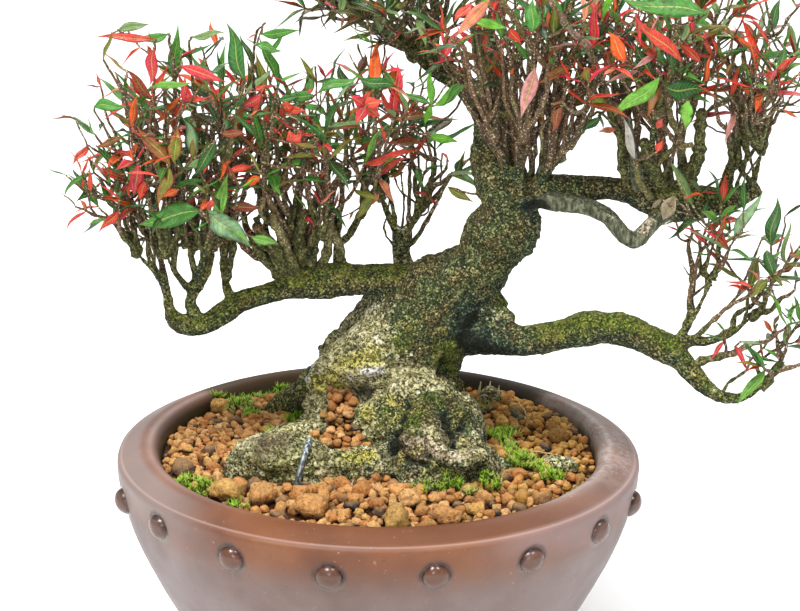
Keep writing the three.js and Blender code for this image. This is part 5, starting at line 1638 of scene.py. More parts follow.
def add_leaf(batch, leaf, tints, rng):
    """A lance-shaped blade with a long drawn-out tip, folded along its rib, waved and twisted"""
    is_small = leaf["length"] < 9
    stations = SMALL_BLADE_STATIONS if is_small else BLADE_STATIONS
    ring = np.array(SMALL_BLADE_RING if is_small else BLADE_RING)
    across, under = ring[:, 0], ring[:, 1]
    half_width = leaf["width"] / 2
    fold = leaf.get("fold", rng.uniform(0.2, 0.9))
    wave = rng.uniform(0.05, 0.16) * half_width
    beats = rng.uniform(1.6, 3.0)
    phase = rng.uniform(0, 2 * math.pi)
    twist = rng.uniform(-0.7, 0.7) * leaf.get("freedom", 1)
    sweep = rng.uniform(-0.09, 0.09) * leaf["length"]
    curl = rng.uniform(-0.05, 0.05) * leaf["length"]
    ripple = rng.uniform(-0.05, 0.05) * leaf["length"]
    thickness = 0.26 if is_small else 0.32
    side = np.cross(leaf["along"], leaf["up"])
    rows = []
    places = []
    for t in stations:
        outline = math.sin(math.pi * min(t, 0.999) ** 0.74) ** 1.3
        half = max(half_width * outline, PETIOLE_HALF if t < 0.1 else 0.05)
        turn = twist * t
        right = side * math.cos(turn) + leaf["up"] * math.sin(turn)
        lift = leaf["up"] * math.cos(turn) - side * math.sin(turn)
        waves = wave * across ** 2 * np.sin(2 * math.pi * beats * t + phase + np.where(across > 0, 1.4, 0))
        rise = fold * np.abs(across) * half * 0.7 + waves * outline
        rise = rise + under * thickness * (0.5 + 0.5 * outline)
        bow = leaf["droop"] * leaf["length"] * t * t + ripple * math.sin(2 * math.pi * t)
        shift = sweep * t * t + curl * math.sin(2 * math.pi * t)
        middle = leaf["base"] + leaf["along"] * (leaf["length"] * t) - leaf["up"] * bow + side * shift
        rows.append(middle + np.outer(across * half, right) + np.outer(rise, lift))
        places.append(np.stack([across, np.full(len(ring), t), np.full(len(ring), phase)], axis=1))
    points = np.concatenate(rows)
    places = np.concatenate(places)
    blade, edge = tints
    share = np.clip(np.abs(places[:, 0]) ** 2 * 0.6 + places[:, 1] ** 3 * 0.5, 0, 1)[:, None]
    batch.add(points, ring_faces(len(stations), len(ring)), blade * (1 - share) + edge * share, places)


COLLAR = 9


def add_twig(batch, path, tint, rng, step=1.6, slimmer=1.0, mossy=0.0, moss_end=22):
    """A knobbly twig: it swells at its nodes, slims beyond its collar, and is mossy where it starts"""
    fine = smooth_path(path, step)
    lengths = np.concatenate([[0], np.cumsum(np.linalg.norm(np.diff(fine[:, :3], axis=0), axis=1))])
    pitch = rng.uniform(4, 6.5)
    start = rng.uniform(0, pitch)
    from_node = np.abs((lengths + start + pitch / 2) % pitch - pitch / 2)
    swell = 1 + 0.4 * np.exp(-(from_node / 0.8) ** 2)
    slim = slimmer + (1 - slimmer) * ramp_between(COLLAR, 0, lengths)
    fine[:, 3] *= swell * slim * np.array([rng.uniform(0.86, 1.12) for _ in fine])
    fine[:, :3] += np.array([[rng.uniform(-0.16, 0.16) for _ in range(3)] for _ in fine])
    sides = 8 if path[0][3] > 1.2 else 6 if path[0][3] > 0.6 else 5
    points, faces = tube(fine, sides)
    young = YOUNG_TINTS[rng.randrange(len(YOUNG_TINTS))]
    share = np.repeat(ramp_between(0.55, 1.1, lengths / max(lengths[-1], 1)), sides)[:, None] * 0.8
    moss = np.repeat(mossy * ramp_between(moss_end, 4, lengths), sides)
    places = np.stack([moss, np.zeros(len(moss)), np.zeros(len(moss))], axis=1)
    batch.add(points, faces, np.array(tint) * (1 - share) + np.array(young) * share, places)


# Leaves that stand out: pixels of the base and the tip, depth behind the pot's middle, width and tint
NOTABLE_LEAVES = {
    "pair_left": ((200, 211), (137, 222), -27, 7.4, "green"),
    "pair_right": ((207, 210), (252, 249), -27, 7.2, "silver_green"),
    "pair_small": ((252, 237), (278, 246), -24, 3.4, "fresh_green"),
    "upright": ((245, 80), (228, 22), -22, 5.4, "deep_green"),
    "top_left_red": ((155, 39), (94, 34), -20, 2.9, "red"),
    "top_left_green": ((168, 34), (137, 44), -16, 3.2, "green"),
    "crimson_wide": ((154, 49), (150, 86), -24, 4.0, "crimson"),
    "crimson_long": ((180, 66), (227, 82), -25, 3.7, "crimson"),
    "left_green": ((94, 107), (125, 103), -22, 4, "green"),
    "bronze": ((170, 165), (137, 127), -28, 4.8, "bronze"),
    "two_tone": ((174, 162), (177, 126), -28, 4.6, "two_tone"),
    "half_red": ((169, 167), (161, 208), -28, 3.8, "two_tone"),
    "crimson_low": ((138, 165), (135, 196), -26, 4.6, "crimson"),
    "red_low": ((145, 182), (138, 199), -25, 3.6, "red"),
    "hanging": ((216, 141), (194, 178), -26, 4.2, "deep_green"),
    "hook_red": ((221, 133), (247, 133), -24, 2.8, "brown_red"),
    "mid_crimson": ((261, 95), (243, 110), -22, 3.4, "crimson"),
    "orange_low": ((178, 190), (163, 196), -28, 2.6, "orange"),
    "bud_left": ((201, 211), (208, 196), -28, 2.2, "orange"),
    "bud_right": ((207, 210), (216, 196), -28, 2.2, "coral"),
    "mid_red": ((229, 172), (255, 164), -22, 2.6, "red"),
    "low_orange": ((232, 207), (262, 208), -20, 3.2, "brown_red"),
    "red_tongue": ((261, 178), (244, 184), -22, 2.8, "orange"),
    "top_pale": ((192, 37), (226, 31), -10, 2.6, "grey_green"),
    "top_right_green": ((261, 34), (300, 34), -16, 3.2, "green"),
    "top_right_low": ((256, 45), (281, 52), -18, 3.4, "green"),
    "cross_green": ((151, 87), (194, 84), -24, 2.4, "fresh_green"),
    "edge_green": ((279, 100), (300, 97), -20, 3.2, "deep_green"),
    "left_pink": ((138, 205), (108, 228), -16, 2.4, "coral"),
    "left_red_far": ((128, 178), (95, 168), -18, 3, "red"),
    "left_bronze": ((122, 138), (95, 148), -20, 2.6, "bronze"),
    "left_grey": ((118, 30), (150, 22), -10, 3.2, "grey_green"),
    "long_green": ((319, 92), (360, 75), -14, 3.4, "green"),
    "long_green_right": ((360, 79), (399, 88), -12, 4, "deep_green"),
    "long_green_left": ((313, 95), (280, 99), -16, 3.6, "green"),
    "cluster_a": ((365, 106), (352, 95), -14, 3.6, "crimson"),
    "cluster_b": ((365, 106), (382, 99), -15, 4.2, "coral"),
    "cluster_c": ((365, 107), (357, 124), -16, 3.6, "crimson"),
    "cluster_d": ((366, 107), (380, 118), -15, 3.8, "coral"),
    "cluster_e": ((364, 105), (370, 90), -14, 3.2, "red"),
    "tuft_red": ((290, 112), (286, 101), -20, 3, "red"),
    "tuft_red_side": ((290, 112), (303, 108), -20, 2.8, "coral"),
    "tuft_pink": ((292, 142), (289, 131), -22, 3.2, "coral"),
    "tuft_pink_side": ((293, 142), (302, 134), -22, 3, "coral"),
    "grass_up": ((431, 106), (429, 67), -6, 2.6, "grass"),
    "grass_arc": ((434, 106), (466, 84), -6, 3, "grass"),
    "grass_down": ((431, 104), (426, 127), -6, 2.6, "grass"),
    "grass_left": ((430, 104), (400, 92), -5, 2.4, "green"),
    "mid_green": ((431, 136), (458, 142), -4, 3.2, "grass"),
    "right_of_mid": ((448, 187), (472, 204), 4, 3, "olive"),
    "hanging_olive": ((374, 195), (354, 220), 4, 3.4, "olive"),
    "hanging_pink": ((379, 192), (367, 209), 4, 2.4, "salmon"),
    "salmon": ((489, 0), (455, 37), -36, 4.2, "salmon"),
    "coral_back": ((471, 3), (455, 22), -30, 3.6, "coral"),
    "green_arc": ((474, 22), (508, 27), -32, 3, "grass"),
    "centre_upright": ((532, 32), (532, -2), -36, 5.2, "green"),
    "centre_red": ((510, 29), (520, 45), -34, 3, "red"),
    "pale_s": ((535, 68), (521, 119), -38, 4.6, "pink"),
    "big_green": ((706, 14), (620, 1), -38, 7.6, "green"),
    "big_coral": ((681, 61), (632, 19), -38, 4.8, "coral"),
    "orange_flag": ((625, 62), (610, 30), -34, 4.6, "orange"),
    "spear": ((659, 78), (616, 120), -38, 5, "fresh_green"),
    "right_dark": ((666, 87), (706, 94), -34, 6.6, "deep_green"),
    "right_hanging": ((688, 101), (686, 130), -36, 4.4, "fresh_green"),
    "behind_spear": ((652, 78), (632, 44), -30, 4.6, "dark_green"),
    "brown_a": ((564, 98), (549, 110), -24, 2.8, "brown_red"),
    "brown_b": ((562, 107), (550, 132), -26, 3, "brown_red"),
    "olive_right": ((608, 107), (585, 94), -24, 3.8, "olive"),
    "small_dark": ((600, 117), (581, 132), -22, 2.8, "deep_green"),
    "small_red": ((616, 129), (597, 131), -22, 2.2, "salmon"),
    "left_arc": ((465, 85), (440, 104), -20, 3, "green"),
    "right_red_a": ((657, 128), (662, 119), -34, 2.4, "coral"),
    "right_red_b": ((657, 152), (662, 140), -34, 2.6, "red"),
    "withered": ((635, 159), (624, 117), -28, 2.8, "withered"),
    "curled": ((675, 196), (661, 221), -26, 4.8, "dead"),
    "top_red_left": ((700, 62), (678, 40), -30, 3.2, "red"),
    "sliver": ((661, 199), (651, 208), -24, 1.4, "dead"),
    "knot_a": ((388, 172), (376, 158), 32, 3.4, "dark_green"),
    "knot_b": ((389, 170), (400, 156), 32, 3, "olive"),
    "knot_c": ((388, 174), (372, 172), 33, 3.2, "dark_green"),
    "knot_d": ((389, 174), (404, 172), 33, 3, "olive"),
    "knot_e": ((388, 176), (384, 190), 32, 2.8, "dark_green"),
    "right_of_trunk_a": ((456, 172), (462, 158), 30, 3, "dark_green"),
    "right_of_trunk_b": ((456, 172), (468, 176), 30, 2.4, "brown_red"),
}
SOLID_LEAF_SLIMMING = 0.66
BARE_LEAF_SLIMMING = 0.5
DEAD_LEAF_FOLD = 1.3

# Stems that stand out, by pad: pixels from the foot up, depth of the foot and the tip, their radii, the kind
NOTABLE_STEMS = {
    "left": {
        "left_pale": ([(223, 240), (221, 210), (221, 188), (222, 165), (229, 148), (234, 136), (238, 106),
                       (245, 81)], (-3, -22), (1.0, 0.45), "olive"),
        "left_dotted": ([(268, 232), (267, 197), (264, 173), (262, 158), (270, 136), (273, 97)], (2, -20),
                         (0.8, 0.35), "brown"),
        "left_long": ([(207, 232), (201, 188), (186, 133), (177, 106), (174, 70), (170, 46), (169, 34)],
                       (-4, -22), (0.85, 0.35), "dark"),
        "left_next": ([(210, 232), (207, 190), (200, 142), (195, 106), (192, 74), (189, 40)], (-4, -14),
                       (0.75, 0.35), "dark"),
        "left_thin": ([(225, 246), (233, 215), (236, 185), (226, 140), (219, 110), (204, 55), (201, 47)],
                       (12, -14), (0.6, 0.25), "dark"),
        "left_lean": ([(172, 232), (168, 205), (151, 167), (132, 118), (121, 90), (103, 60)], (-6, -24),
                       (0.85, 0.35), "brown"),
        "left_far": ([(172, 240), (155, 204), (121, 161), (103, 124)], (-6, -22), (0.85, 0.4), "dark"),
        "left_low": ([(168, 246), (144, 217), (117, 191), (94, 173)], (-6, -20), (0.75, 0.35), "dark"),
        "left_lowest": ([(168, 258), (158, 234), (117, 205), (94, 190)], (-6, -18), (0.65, 0.3), "brown"),
        "left_up": ([(262, 222), (266, 195), (264, 165), (255, 100), (253, 72), (256, 35), (265, 23)],
                     (22, -12), (0.7, 0.3), "dark"),
        "left_inner": ([(182, 232), (176, 215), (163, 179), (155, 130), (154, 93), (155, 48)], (-5, -22),
                        (0.75, 0.3), "brown"),
        "left_dry": ([(168, 264), (158, 250), (140, 236), (131, 232), (120, 226)], (-6, -14), (0.4, 0.25),
                      "pale"),
        "left_beige": ([(268, 240), (262, 215), (265, 196), (265, 170), (268, 150), (262, 120)], (4, -8),
                        (0.95, 0.4), "beige"),
        "left_bent": ([(284, 240), (270, 205), (274, 191), (283, 179), (290, 160), (296, 130), (300, 100)],
                       (6, -6), (0.85, 0.35), "brown"),
        "left_right": ([(322, 235), (320, 208), (316, 185), (311, 170), (304, 140), (300, 118)], (10, 0),
                        (0.75, 0.3), "brown"),
        "left_side": ([(318, 215), (316, 203), (324, 193), (340, 184), (352, 176)], (10, 4), (0.5, 0.25),
                       "dark"),
        "left_edge": ([(331, 232), (330, 205), (322, 170), (330, 130), (336, 100)], (12, 4), (0.65, 0.3),
                       "dark"),
        "knot_stub": ([(290, 281), (283, 262), (274, 246), (262, 233), (255, 225)], (6, -2), (2.2, 1.0),
                       "mossy"),
        "knot_lichen": ([(296, 279), (290, 258), (283, 238), (275, 222), (273, 213)], (6, 0), (2.0, 1.1),
                         "beige"),
        "knot_mid": ([(303, 277), (301, 256), (299, 236), (303, 222), (305, 211)], (8, 2), (2.2, 1.2),
                      "mossy"),
        "knot_top": ([(312, 275), (312, 250), (316, 232), (318, 218), (324, 211)], (8, 4), (2.0, 1.2),
                      "beige"),
        "knot_arm": ([(322, 272), (327, 253), (328, 240), (329, 227), (332, 213)], (8, 4), (1.5, 1.0),
                      "beige"),
        "knot_loop": ([(335, 268), (341, 252), (337, 240), (331, 227), (327, 215)], (8, 6), (1.4, 1.0),
                       "beige"),
        "knot_left": ([(290, 276), (276, 266), (262, 258), (248, 250), (238, 240)], (8, 4), (1.9, 1.0),
                       "shadow"),
        "knot_far_left": ([(288, 272), (270, 258), (254, 240), (246, 226), (243, 208)], (12, 10), (1.7, 0.8),
                           "shadow"),
        "knot_cross": ([(284, 270), (268, 262), (256, 246), (262, 232), (256, 218)], (6, 2), (1.5, 0.9),
                        "mossy"),
        "knot_deep": ([(296, 272), (276, 252), (262, 236), (256, 226)], (14, 14), (2.2, 1.2), "shadow"),
        "knot_deep_up": ([(300, 272), (294, 246), (282, 226), (280, 210)], (14, 14), (2.2, 1.2), "shadow"),
        "knot_lump": ([(306, 268), (302, 256), (303, 248)], (5, 0), (1.1, 1.3), "beige"),
        "knot_dark": ([(292, 272), (292, 245), (288, 228), (292, 212)], (10, 8), (1.9, 1.0), "shadow"),
        "knot_dark_right": ([(308, 272), (308, 240), (312, 224)], (10, 8), (1.9, 1.2), "shadow"),
        "knot_low": ([(284, 272), (272, 252), (262, 246), (252, 236)], (7, 2), (1.6, 0.9), "mossy"),
        "tangle_a": ([(166, 256), (178, 246), (196, 241), (214, 246), (227, 240)], (-5, -12), (0.7, 0.35),
                      "dark"),
        "tangle_b": ([(170, 244), (184, 236), (200, 232), (222, 234), (240, 228)], (-6, -14), (0.7, 0.35),
                      "brown"),
        "tangle_c": ([(197, 252), (208, 243), (221, 238), (236, 240), (248, 233)], (-4, -9), (0.7, 0.35),
                      "dark"),
        "tangle_d": ([(204, 248), (196, 240), (182, 236), (168, 232), (153, 236)], (-4, -12), (0.65, 0.3),
                      "dark"),
        "tangle_e": ([(224, 246), (214, 242), (204, 238), (190, 230), (176, 228)], (8, -6), (0.6, 0.3),
                      "brown"),
        "tangle_f": ([(195, 256), (196, 246), (204, 236), (212, 228), (216, 216)], (-4, -14), (0.7, 0.4),
                      "dark"),
        "tangle_g": ([(226, 246), (236, 238), (246, 240), (256, 248)], (10, 2), (0.7, 0.5), "dark"),
        "tangle_h": ([(168, 250), (160, 240), (150, 233), (146, 222)], (-6, -12), (0.6, 0.3), "dark"),
    },
    "middle": {
        "middle_stem": ([(404, 262), (409, 241), (409, 218), (409, 200), (410, 167), (413, 138), (413, 113)],
                         (28, 34), (0.95, 0.3), "dark"),
        "middle_fork": ([(406, 250), (416, 239), (424, 225), (435, 206), (447, 183), (456, 171)], (28, 32),
                         (0.95, 0.4), "dark"),
        "middle_net_a": ([(402, 250), (389, 240), (384, 228), (386, 218), (390, 197), (389, 189),
                          (388, 172)], (28, 32), (0.4, 0.25), "dark"),
        "middle_net_b": ([(403, 250), (400, 237), (403, 221), (404, 203), (402, 186), (400, 164)], (28, 32),
                          (0.5, 0.25), "dark"),
        "middle_net_c": ([(424, 225), (428, 212), (430, 196), (440, 182)], (30, 32), (0.36, 0.22), "dark"),
        "middle_net_d": ([(409, 218), (416, 205), (418, 190), (424, 172)], (30, 34), (0.36, 0.22), "dark"),
        "middle_net_e": ([(409, 200), (400, 190), (394, 176), (388, 168)], (31, 33), (0.36, 0.22), "dark"),
        "middle_stray": ([(389, 189), (370, 200), (354, 211), (340, 218)], (32, 28), (0.3, 0.2), "dark"),
    },
    "centre": {
        "centre_first": ([(503, 190), (504, 168), (493, 134), (474, 95), (464, 48), (455, 37)], (0, -34),
                          (1.1, 0.5), "brown"),
        "centre_second": ([(508, 190), (500, 140), (491, 108), (479, 51), (476, 34)], (0, -30), (0.95, 0.4),
                           "brown"),
        "centre_third": ([(512, 190), (515, 149), (508, 102), (505, 68), (498, 42), (494, 32)], (0, -30),
                          (1.05, 0.4), "brown"),
        "centre_fourth": ([(533, 190), (532, 163), (523, 127), (516, 110), (512, 80), (514, 40)], (0, -26),
                           (0.95, 0.35), "brown"),
        "centre_arch": ([(545, 168), (549, 153), (559, 136), (593, 115), (600, 113), (616, 125)], (-4, -24),
                         (0.6, 0.4), "brown"),
        "centre_fifth": ([(545, 188), (545, 170), (542, 136), (543, 109), (549, 85), (556, 50)], (-2, -26),
                          (0.9, 0.4), "beige"),
        "centre_sixth": ([(550, 186), (550, 149), (557, 125), (564, 109), (569, 100), (585, 70)], (-2, -24),
                          (0.75, 0.3), "brown"),
        "centre_seventh": ([(528, 188), (535, 149), (532, 117), (535, 95), (530, 60)], (-2, -28),
                            (0.85, 0.35), "dark"),
        "centre_eighth": ([(520, 190), (518, 149), (521, 136), (513, 117), (505, 102), (503, 68), (501, 40)],
                           (-2, -32), (0.85, 0.35), "brown"),
        "centre_last": ([(540, 190), (556, 160), (560, 130), (575, 90), (580, 50)], (-2, -20), (0.85, 0.35),
                         "brown"),
        "centre_left": ([(500, 180), (487, 150), (480, 120), (470, 100)], (4, -10), (0.9, 0.45), "dark"),
    },
    "right": {
        "slant_long": ([(623, 150), (618, 109), (590, 95), (559, 80), (535, 51), (515, 20), (500, -2)],
                        (-8, -32), (1.25, 0.8), "brown"),
        "slant_grey": ([(620, 140), (601, 81), (588, 49), (566, 25), (549, -2)], (-8, -34), (1.2, 0.8),
                        "pale"),
        "right_edge": ([(628, 196), (626, 182), (621, 158), (622, 143), (615, 125), (607, 106), (600, 88)],
                        (-5, -16), (1.6, 0.9), "mossy"),
        "right_spur": ([(650, 198), (648, 194), (639, 180), (635, 160)], (-8, -26), (1.3, 0.6), "olive"),
        "right_ringed": ([(668, 200), (662, 185), (653, 167), (646, 156), (644, 140)], (-6, -18), (2.0, 1.4),
                          "mossy"),
        "right_stout": ([(693, 205), (690, 175), (698, 158), (700, 135), (702, 110)], (-6, -14), (2.5, 1.5),
                         "mossy"),
        "right_yellow": ([(690, 170), (681, 143), (672, 120), (667, 106), (662, 95)], (-10, -22), (1.1, 0.9),
                          "olive"),
        "right_smooth": ([(667, 106), (662, 95), (672, 71), (676, 40), (678, 5)], (-22, -24), (1.3, 1.0),
                          "olive"),
        "right_crossing": ([(684, 165), (672, 138), (655, 114), (650, 98)], (-10, -26), (0.85, 0.5),
                            "brown"),
        "right_backward": ([(672, 165), (658, 136), (640, 110), (623, 81), (607, 60)], (-10, -26),
                            (0.85, 0.5), "brown"),
        "right_snag": ([(666, 165), (669, 152), (680, 147), (691, 145)], (-10, -24), (1.0, 0.8), "olive"),
        "right_high": ([(698, 150), (691, 85), (694, 42), (691, 0)], (-10, -24), (0.8, 0.5), "brown"),
        "right_inner": ([(640, 185), (636, 140), (640, 110), (650, 70), (655, 40)], (-4, -16), (0.85, 0.4),
                         "brown"),
        "right_outer": ([(655, 185), (662, 140), (668, 110), (690, 70), (700, 40)], (-4, -14), (0.85, 0.4),
                         "brown"),
    },
}
STEM_MOSS = {
    "mossy": (1.6, 90), "shadow": (0.5, 20), "beige": (0.62, 36), "olive": (0.5, 26), "brown": (0.5, 14),
    "dark": (0.8, 16), "pale": (0, 10),
}
LEAVES_ON_STEM = 4
STEM_LEAF_LENGTHS = (5, 10)
# Only stems with tips thinner than this bear leaves
THIN_TIP = 0.45
# A stem starts in the heart of the wood where its foot is nearer to one than this
FOOT_REACH = 13


def notable_leaf(base_pixel, tip_pixel, depth, width, rng):
    """A leaf that shows its face to the photograph's camera between two of its pixels"""
    base = seen_at_depth(base_pixel, depth)
    tip = seen_at_depth(tip_pixel, depth + rng.uniform(-3.5, 3.5))
    along = tip - base
    length = float(np.linalg.norm(along))
    along = along / length
    towards = np.array(view_axes()[0]) - base
    tilt = np.array([rng.uniform(-0.3, 0.3), 0, rng.uniform(-0.1, 0.5)])
    up = unit(towards / np.linalg.norm(towards) + tilt)
    up = unit(up - along * up.dot(along))
    droop = rng.uniform(-0.05, 0.12)
    return {"base": base, "along": along, "up": up, "length": length, "width": width, "droop": droop,
            "freedom": 0.35, "fold": rng.uniform(0.15, 0.4)}


def grow_notable_stems(sprays):
    """Each notable stem from the heart of the wood nearest its foot, with a few leaves about its tip"""
    rng = random.Random(29)
    hearts = [point for _, path, _ in wood_members() for point in smooth_path(path, WOOD_STEP)]
    places = np.array(hearts)[:, :3]
    for pad, stems in NOTABLE_STEMS.items():
        shoots = next(spray for spray in sprays if pad_of(spray) == pad)["shoots"]
        for name, (pixels, depths, radii, kind) in stems.items():
            points = [seen_at_depth(*at) for at in zip(pixels, np.linspace(*depths, len(pixels)))]
            apart = np.linalg.norm(places - points[0], axis=1)
            if apart.min() < FOOT_REACH:
                points[0] = places[int(apart.argmin())]
            path = [(*point, radius) for point, radius in zip(points, np.linspace(*radii, len(pixels)))]
            leaves = []
            if kind in ("brown", "dark") and radii[1] < THIN_TIP:
                for _ in range(rng.randrange(1, LEAVES_ON_STEM)):
                    leaves.append({**fine_leaf(path, rng, *STEM_LEAF_LENGTHS), "fine": True})
            shoots.append({"path": path, "part": name, "leaves": leaves, "fine": True, "kind": kind})


def grow_notable_leaves(sprays):
    """Each notable leaf with a thin twig to it from the nearest shoot"""
    rng = random.Random(19)
    starts = [(np.array(p), spray) for spray in sprays for shoot in spray["shoots"] for p in shoot["path"]]
    places = np.array([p[:3] for p, _ in starts])
    grown = []
    for base_pixel, tip_pixel, depth, width, tint in NOTABLE_LEAVES.values():
        leaf = notable_leaf(base_pixel, tip_pixel, depth, width, rng)
        if tint == "dead":
            leaf["fold"], leaf["freedom"] = DEAD_LEAF_FOLD, 1
        end = leaf["base"]
        apart = np.linalg.norm(places - end, axis=1) + 0.5 * np.abs(places[:, 2] - end[2] + 4)
        source, spray = starts[int(apart.argmin())]
        span = float(np.linalg.norm(end - source[:3]))
        middle = (source[:3] + end) / 2 + np.array([0, 0, -0.12 * span])
        radius = min(0.5, source[3] * 0.9)
        path = twig_path(source[:3], middle, end - leaf["along"] * 0.2, radius, 5, rng.random, FINE_TIP, 0.8)
        path[-1] = (*end, FINE_TIP)
        grown.append((pad_of(spray), path, leaf, tint))
    return grown


def make_sprays(bark):
    thicket = Thicket()
    sprays = grow_sprays(thicket)
    thicken(sprays, thicket)
    grow_notable_stems(sprays)
    notable = grow_notable_leaves(sprays)
    leaf = leaf_look()
    rng = random.Random(11)
    for pad, (_, _, _, leafy, red_share) in FINE_GROWTH.items():
        mossiness = 0.3 if pad in ("centre", "top") else 0.9
        members = [spray for spray in sprays if pad_of(spray) == pad]
        nodes = [f"spray_{spray['name']}" for spray in members]
        reds = [node for node in nodes if "_red_" in node]
        greens = [node for node in nodes if "_red_" not in node]
        green_shares = BACK_GREEN_SHARES if pad == "back" else GREEN_SHARES
        twigs, green, red = Batch(), Batch(), Batch()
        for spray in members:
            is_red = "_red_" in spray["name"]
            for shoot in spray["shoots"]:
                add_shoot(twigs, shoot, shoot is spray["shoots"][0], mossiness, rng)
                for blade in shoot["leaves"]:
                    turns_red = rng.random() < red_share if blade.get("fine") else is_red
                    shares = RED_SHARES if turns_red else green_shares
                    if not blade.get("fine"):
                        is_bare = blade["base"][2] < leafy and pad in ("centre", "right")
                        slimming = BARE_LEAF_SLIMMING if is_bare else SOLID_LEAF_SLIMMING
                        blade = {**blade, "width": blade["width"] * slimming}
                        shares = DULL_SHARES if is_bare and not turns_red else shares
                    add_leaf(red if turns_red else green, blade, pick_tints(shares, rng), rng)
        for _, path, blade, tint in [item for item in notable if item[0] == pad]:
            add_twig(twigs, path, TWIG_TINTS[0], rng, 2)
            is_green = tint in GREEN_SHARES
            add_leaf(green if is_green else red, blade, shaded_tints(tint, rng), rng)
        twigs.piece(f"twigs_{pad}", bark, "bark", nodes)
        green.piece(f"leaves_green_{pad}", leaf, "leaf_green", greens)
        red.piece(f"leaves_red_{pad}", leaf, "leaf_red", reds)


def add_shoot(batch, shoot, is_main, mossiness, rng):
    """A shoot of the solids, a fine one or a notable one"""
    tint = TWIG_TINTS[rng.randrange(len(TWIG_TINTS))]
    if "kind" in shoot:
        mossy, moss_end = STEM_MOSS[shoot["kind"]]
        add_twig(batch, shoot["path"], STEM_TINTS[shoot["kind"]], rng, 2, 1, mossy, moss_end)
    elif shoot.get("fine"):
        add_twig(batch, shoot["path"], tint, rng, 2.2, 1, mossiness if shoot["from_wood"] else 0)
    else:
        add_twig(batch, shoot["path"], tint, rng, 1.6, 0.58, mossiness if is_main else 0)


# Soil: a dark bed, then fired clay grains laid one by one on a map of its heights

# The pile of small grains in the pocket between the front root and the trunk
PILE_SIDES = (-29, -20)
PILE_SHIFT = 6
PILE_START = (-12, 84)
PILE_SLOPE = 0.62
PILE_BACK = 4

# Sizes of grains: how many, smallest and largest, and how finely each is cut up
GRAIN_CLASSES = [(60, 6.2, 8, 8), (420, 4.8, 6.2, 6), (1600, 3.4, 4.8, 4), (3200, 2.4, 3.4, 3)]
GRAIN_FAR = 70
GRAIN_FORMS = 14
GRAIN_PLANES = 14
# Tries at each grain, of which the one over the deepest gap is laid, and how much room it has to have there
GRAIN_TRIES = 6
GRAIN_ROOM = 0.42
PILE_GRAINS = 420
PILE_SIZES = (2.4, 4.2)
GRAIN_TINTS = [
    (paint(214, 156, 94), 6), (paint(198, 136, 76), 6), (paint(226, 174, 114), 4), (paint(180, 116, 62), 4),
    (paint(208, 162, 92), 3), (paint(146, 106, 70), 2),
]
SHADY_TINTS = [
    (paint(206, 154, 74), 5), (paint(186, 132, 58), 5), (paint(218, 170, 86), 3), (paint(154, 108, 52), 3),
    (paint(206, 134, 68), 2),
]
DARK_GRAIN = paint(62, 60, 58)
BROWN_GRAIN = paint(104, 82, 66)
GOLD_GRAIN = paint(226, 172, 48)

# Grains that stand out: place, size and tint
NAMED_GRAINS = {
    "dark_back": ((-42, 38.9), 4.6, DARK_GRAIN), "dark_front": ((-7.8, -49.4), 4.4, DARK_GRAIN),
    "grey_front": ((-30.7, -55.4), 5.6, BROWN_GRAIN), "brown_front": ((-39.3, -33.8), 6, BROWN_GRAIN),
    "purple_left": ((-62.4, -16.5), 7.4, BROWN_GRAIN), "dark_left": ((-55, -1), 4.6, BROWN_GRAIN),
    "big_left": ((-48.6, -38), 9.2, GRAIN_TINTS[4][0]),
    "big_front": ((-19.9, -53.2), 9.4, GRAIN_TINTS[0][0]),
    "big_mid": ((-36.8, -43.6), 7.8, GRAIN_TINTS[0][0]), "big_back": ((-53, 41), 7, GRAIN_TINTS[4][0]),
    "dark_right": ((43.7, 5.6), 4, DARK_GRAIN), "black_right": ((55, 4.6), 4, DARK_GRAIN),
    "big_right": ((60, 12), 6.2, SHADY_TINTS[3][0]), "gold": ((-24.6, -15.5), 3, GOLD_GRAIN),
    "gold_small": ((-19.5, -13.5), 2.6, GOLD_GRAIN), "big_front_right": ((6, -61), 9, GRAIN_TINTS[4][0]),
    "front_block": ((22, -58), 8.2, GRAIN_TINTS[0][0]), "tall_front": ((9.5, -47), 7.4, GRAIN_TINTS[2][0]),
}


def soil_level(x, y):
    """The height that the tops of the grains lie about"""
    share = np.minimum(np.hypot(x, y) / SOIL_RADIUS, 1)
    mound = SOIL_EDGE + SOIL_MOUND * (1 - share * share)
    pile = PILE_START[1] + PILE_SLOPE * (np.minimum(y, PILE_BACK) - PILE_START[0])
    shift = PILE_SHIFT * ramp_between(-14, -9, y)
    inside = ramp_between(PILE_SIDES[0] + shift, PILE_SIDES[1] + shift, x) * ramp_between(6, -2, x)
    inside = inside * ramp_between(-27, -19, y) * ramp_between(16, 6, y)
    back = 1.5 * share * share * ramp_between(-15, 15, y)
    right = 2.2 * ramp_between(22, 46, x) * ramp_between(4, 26, y)
    return mound + back + right + inside * np.maximum(pile - mound, 0)


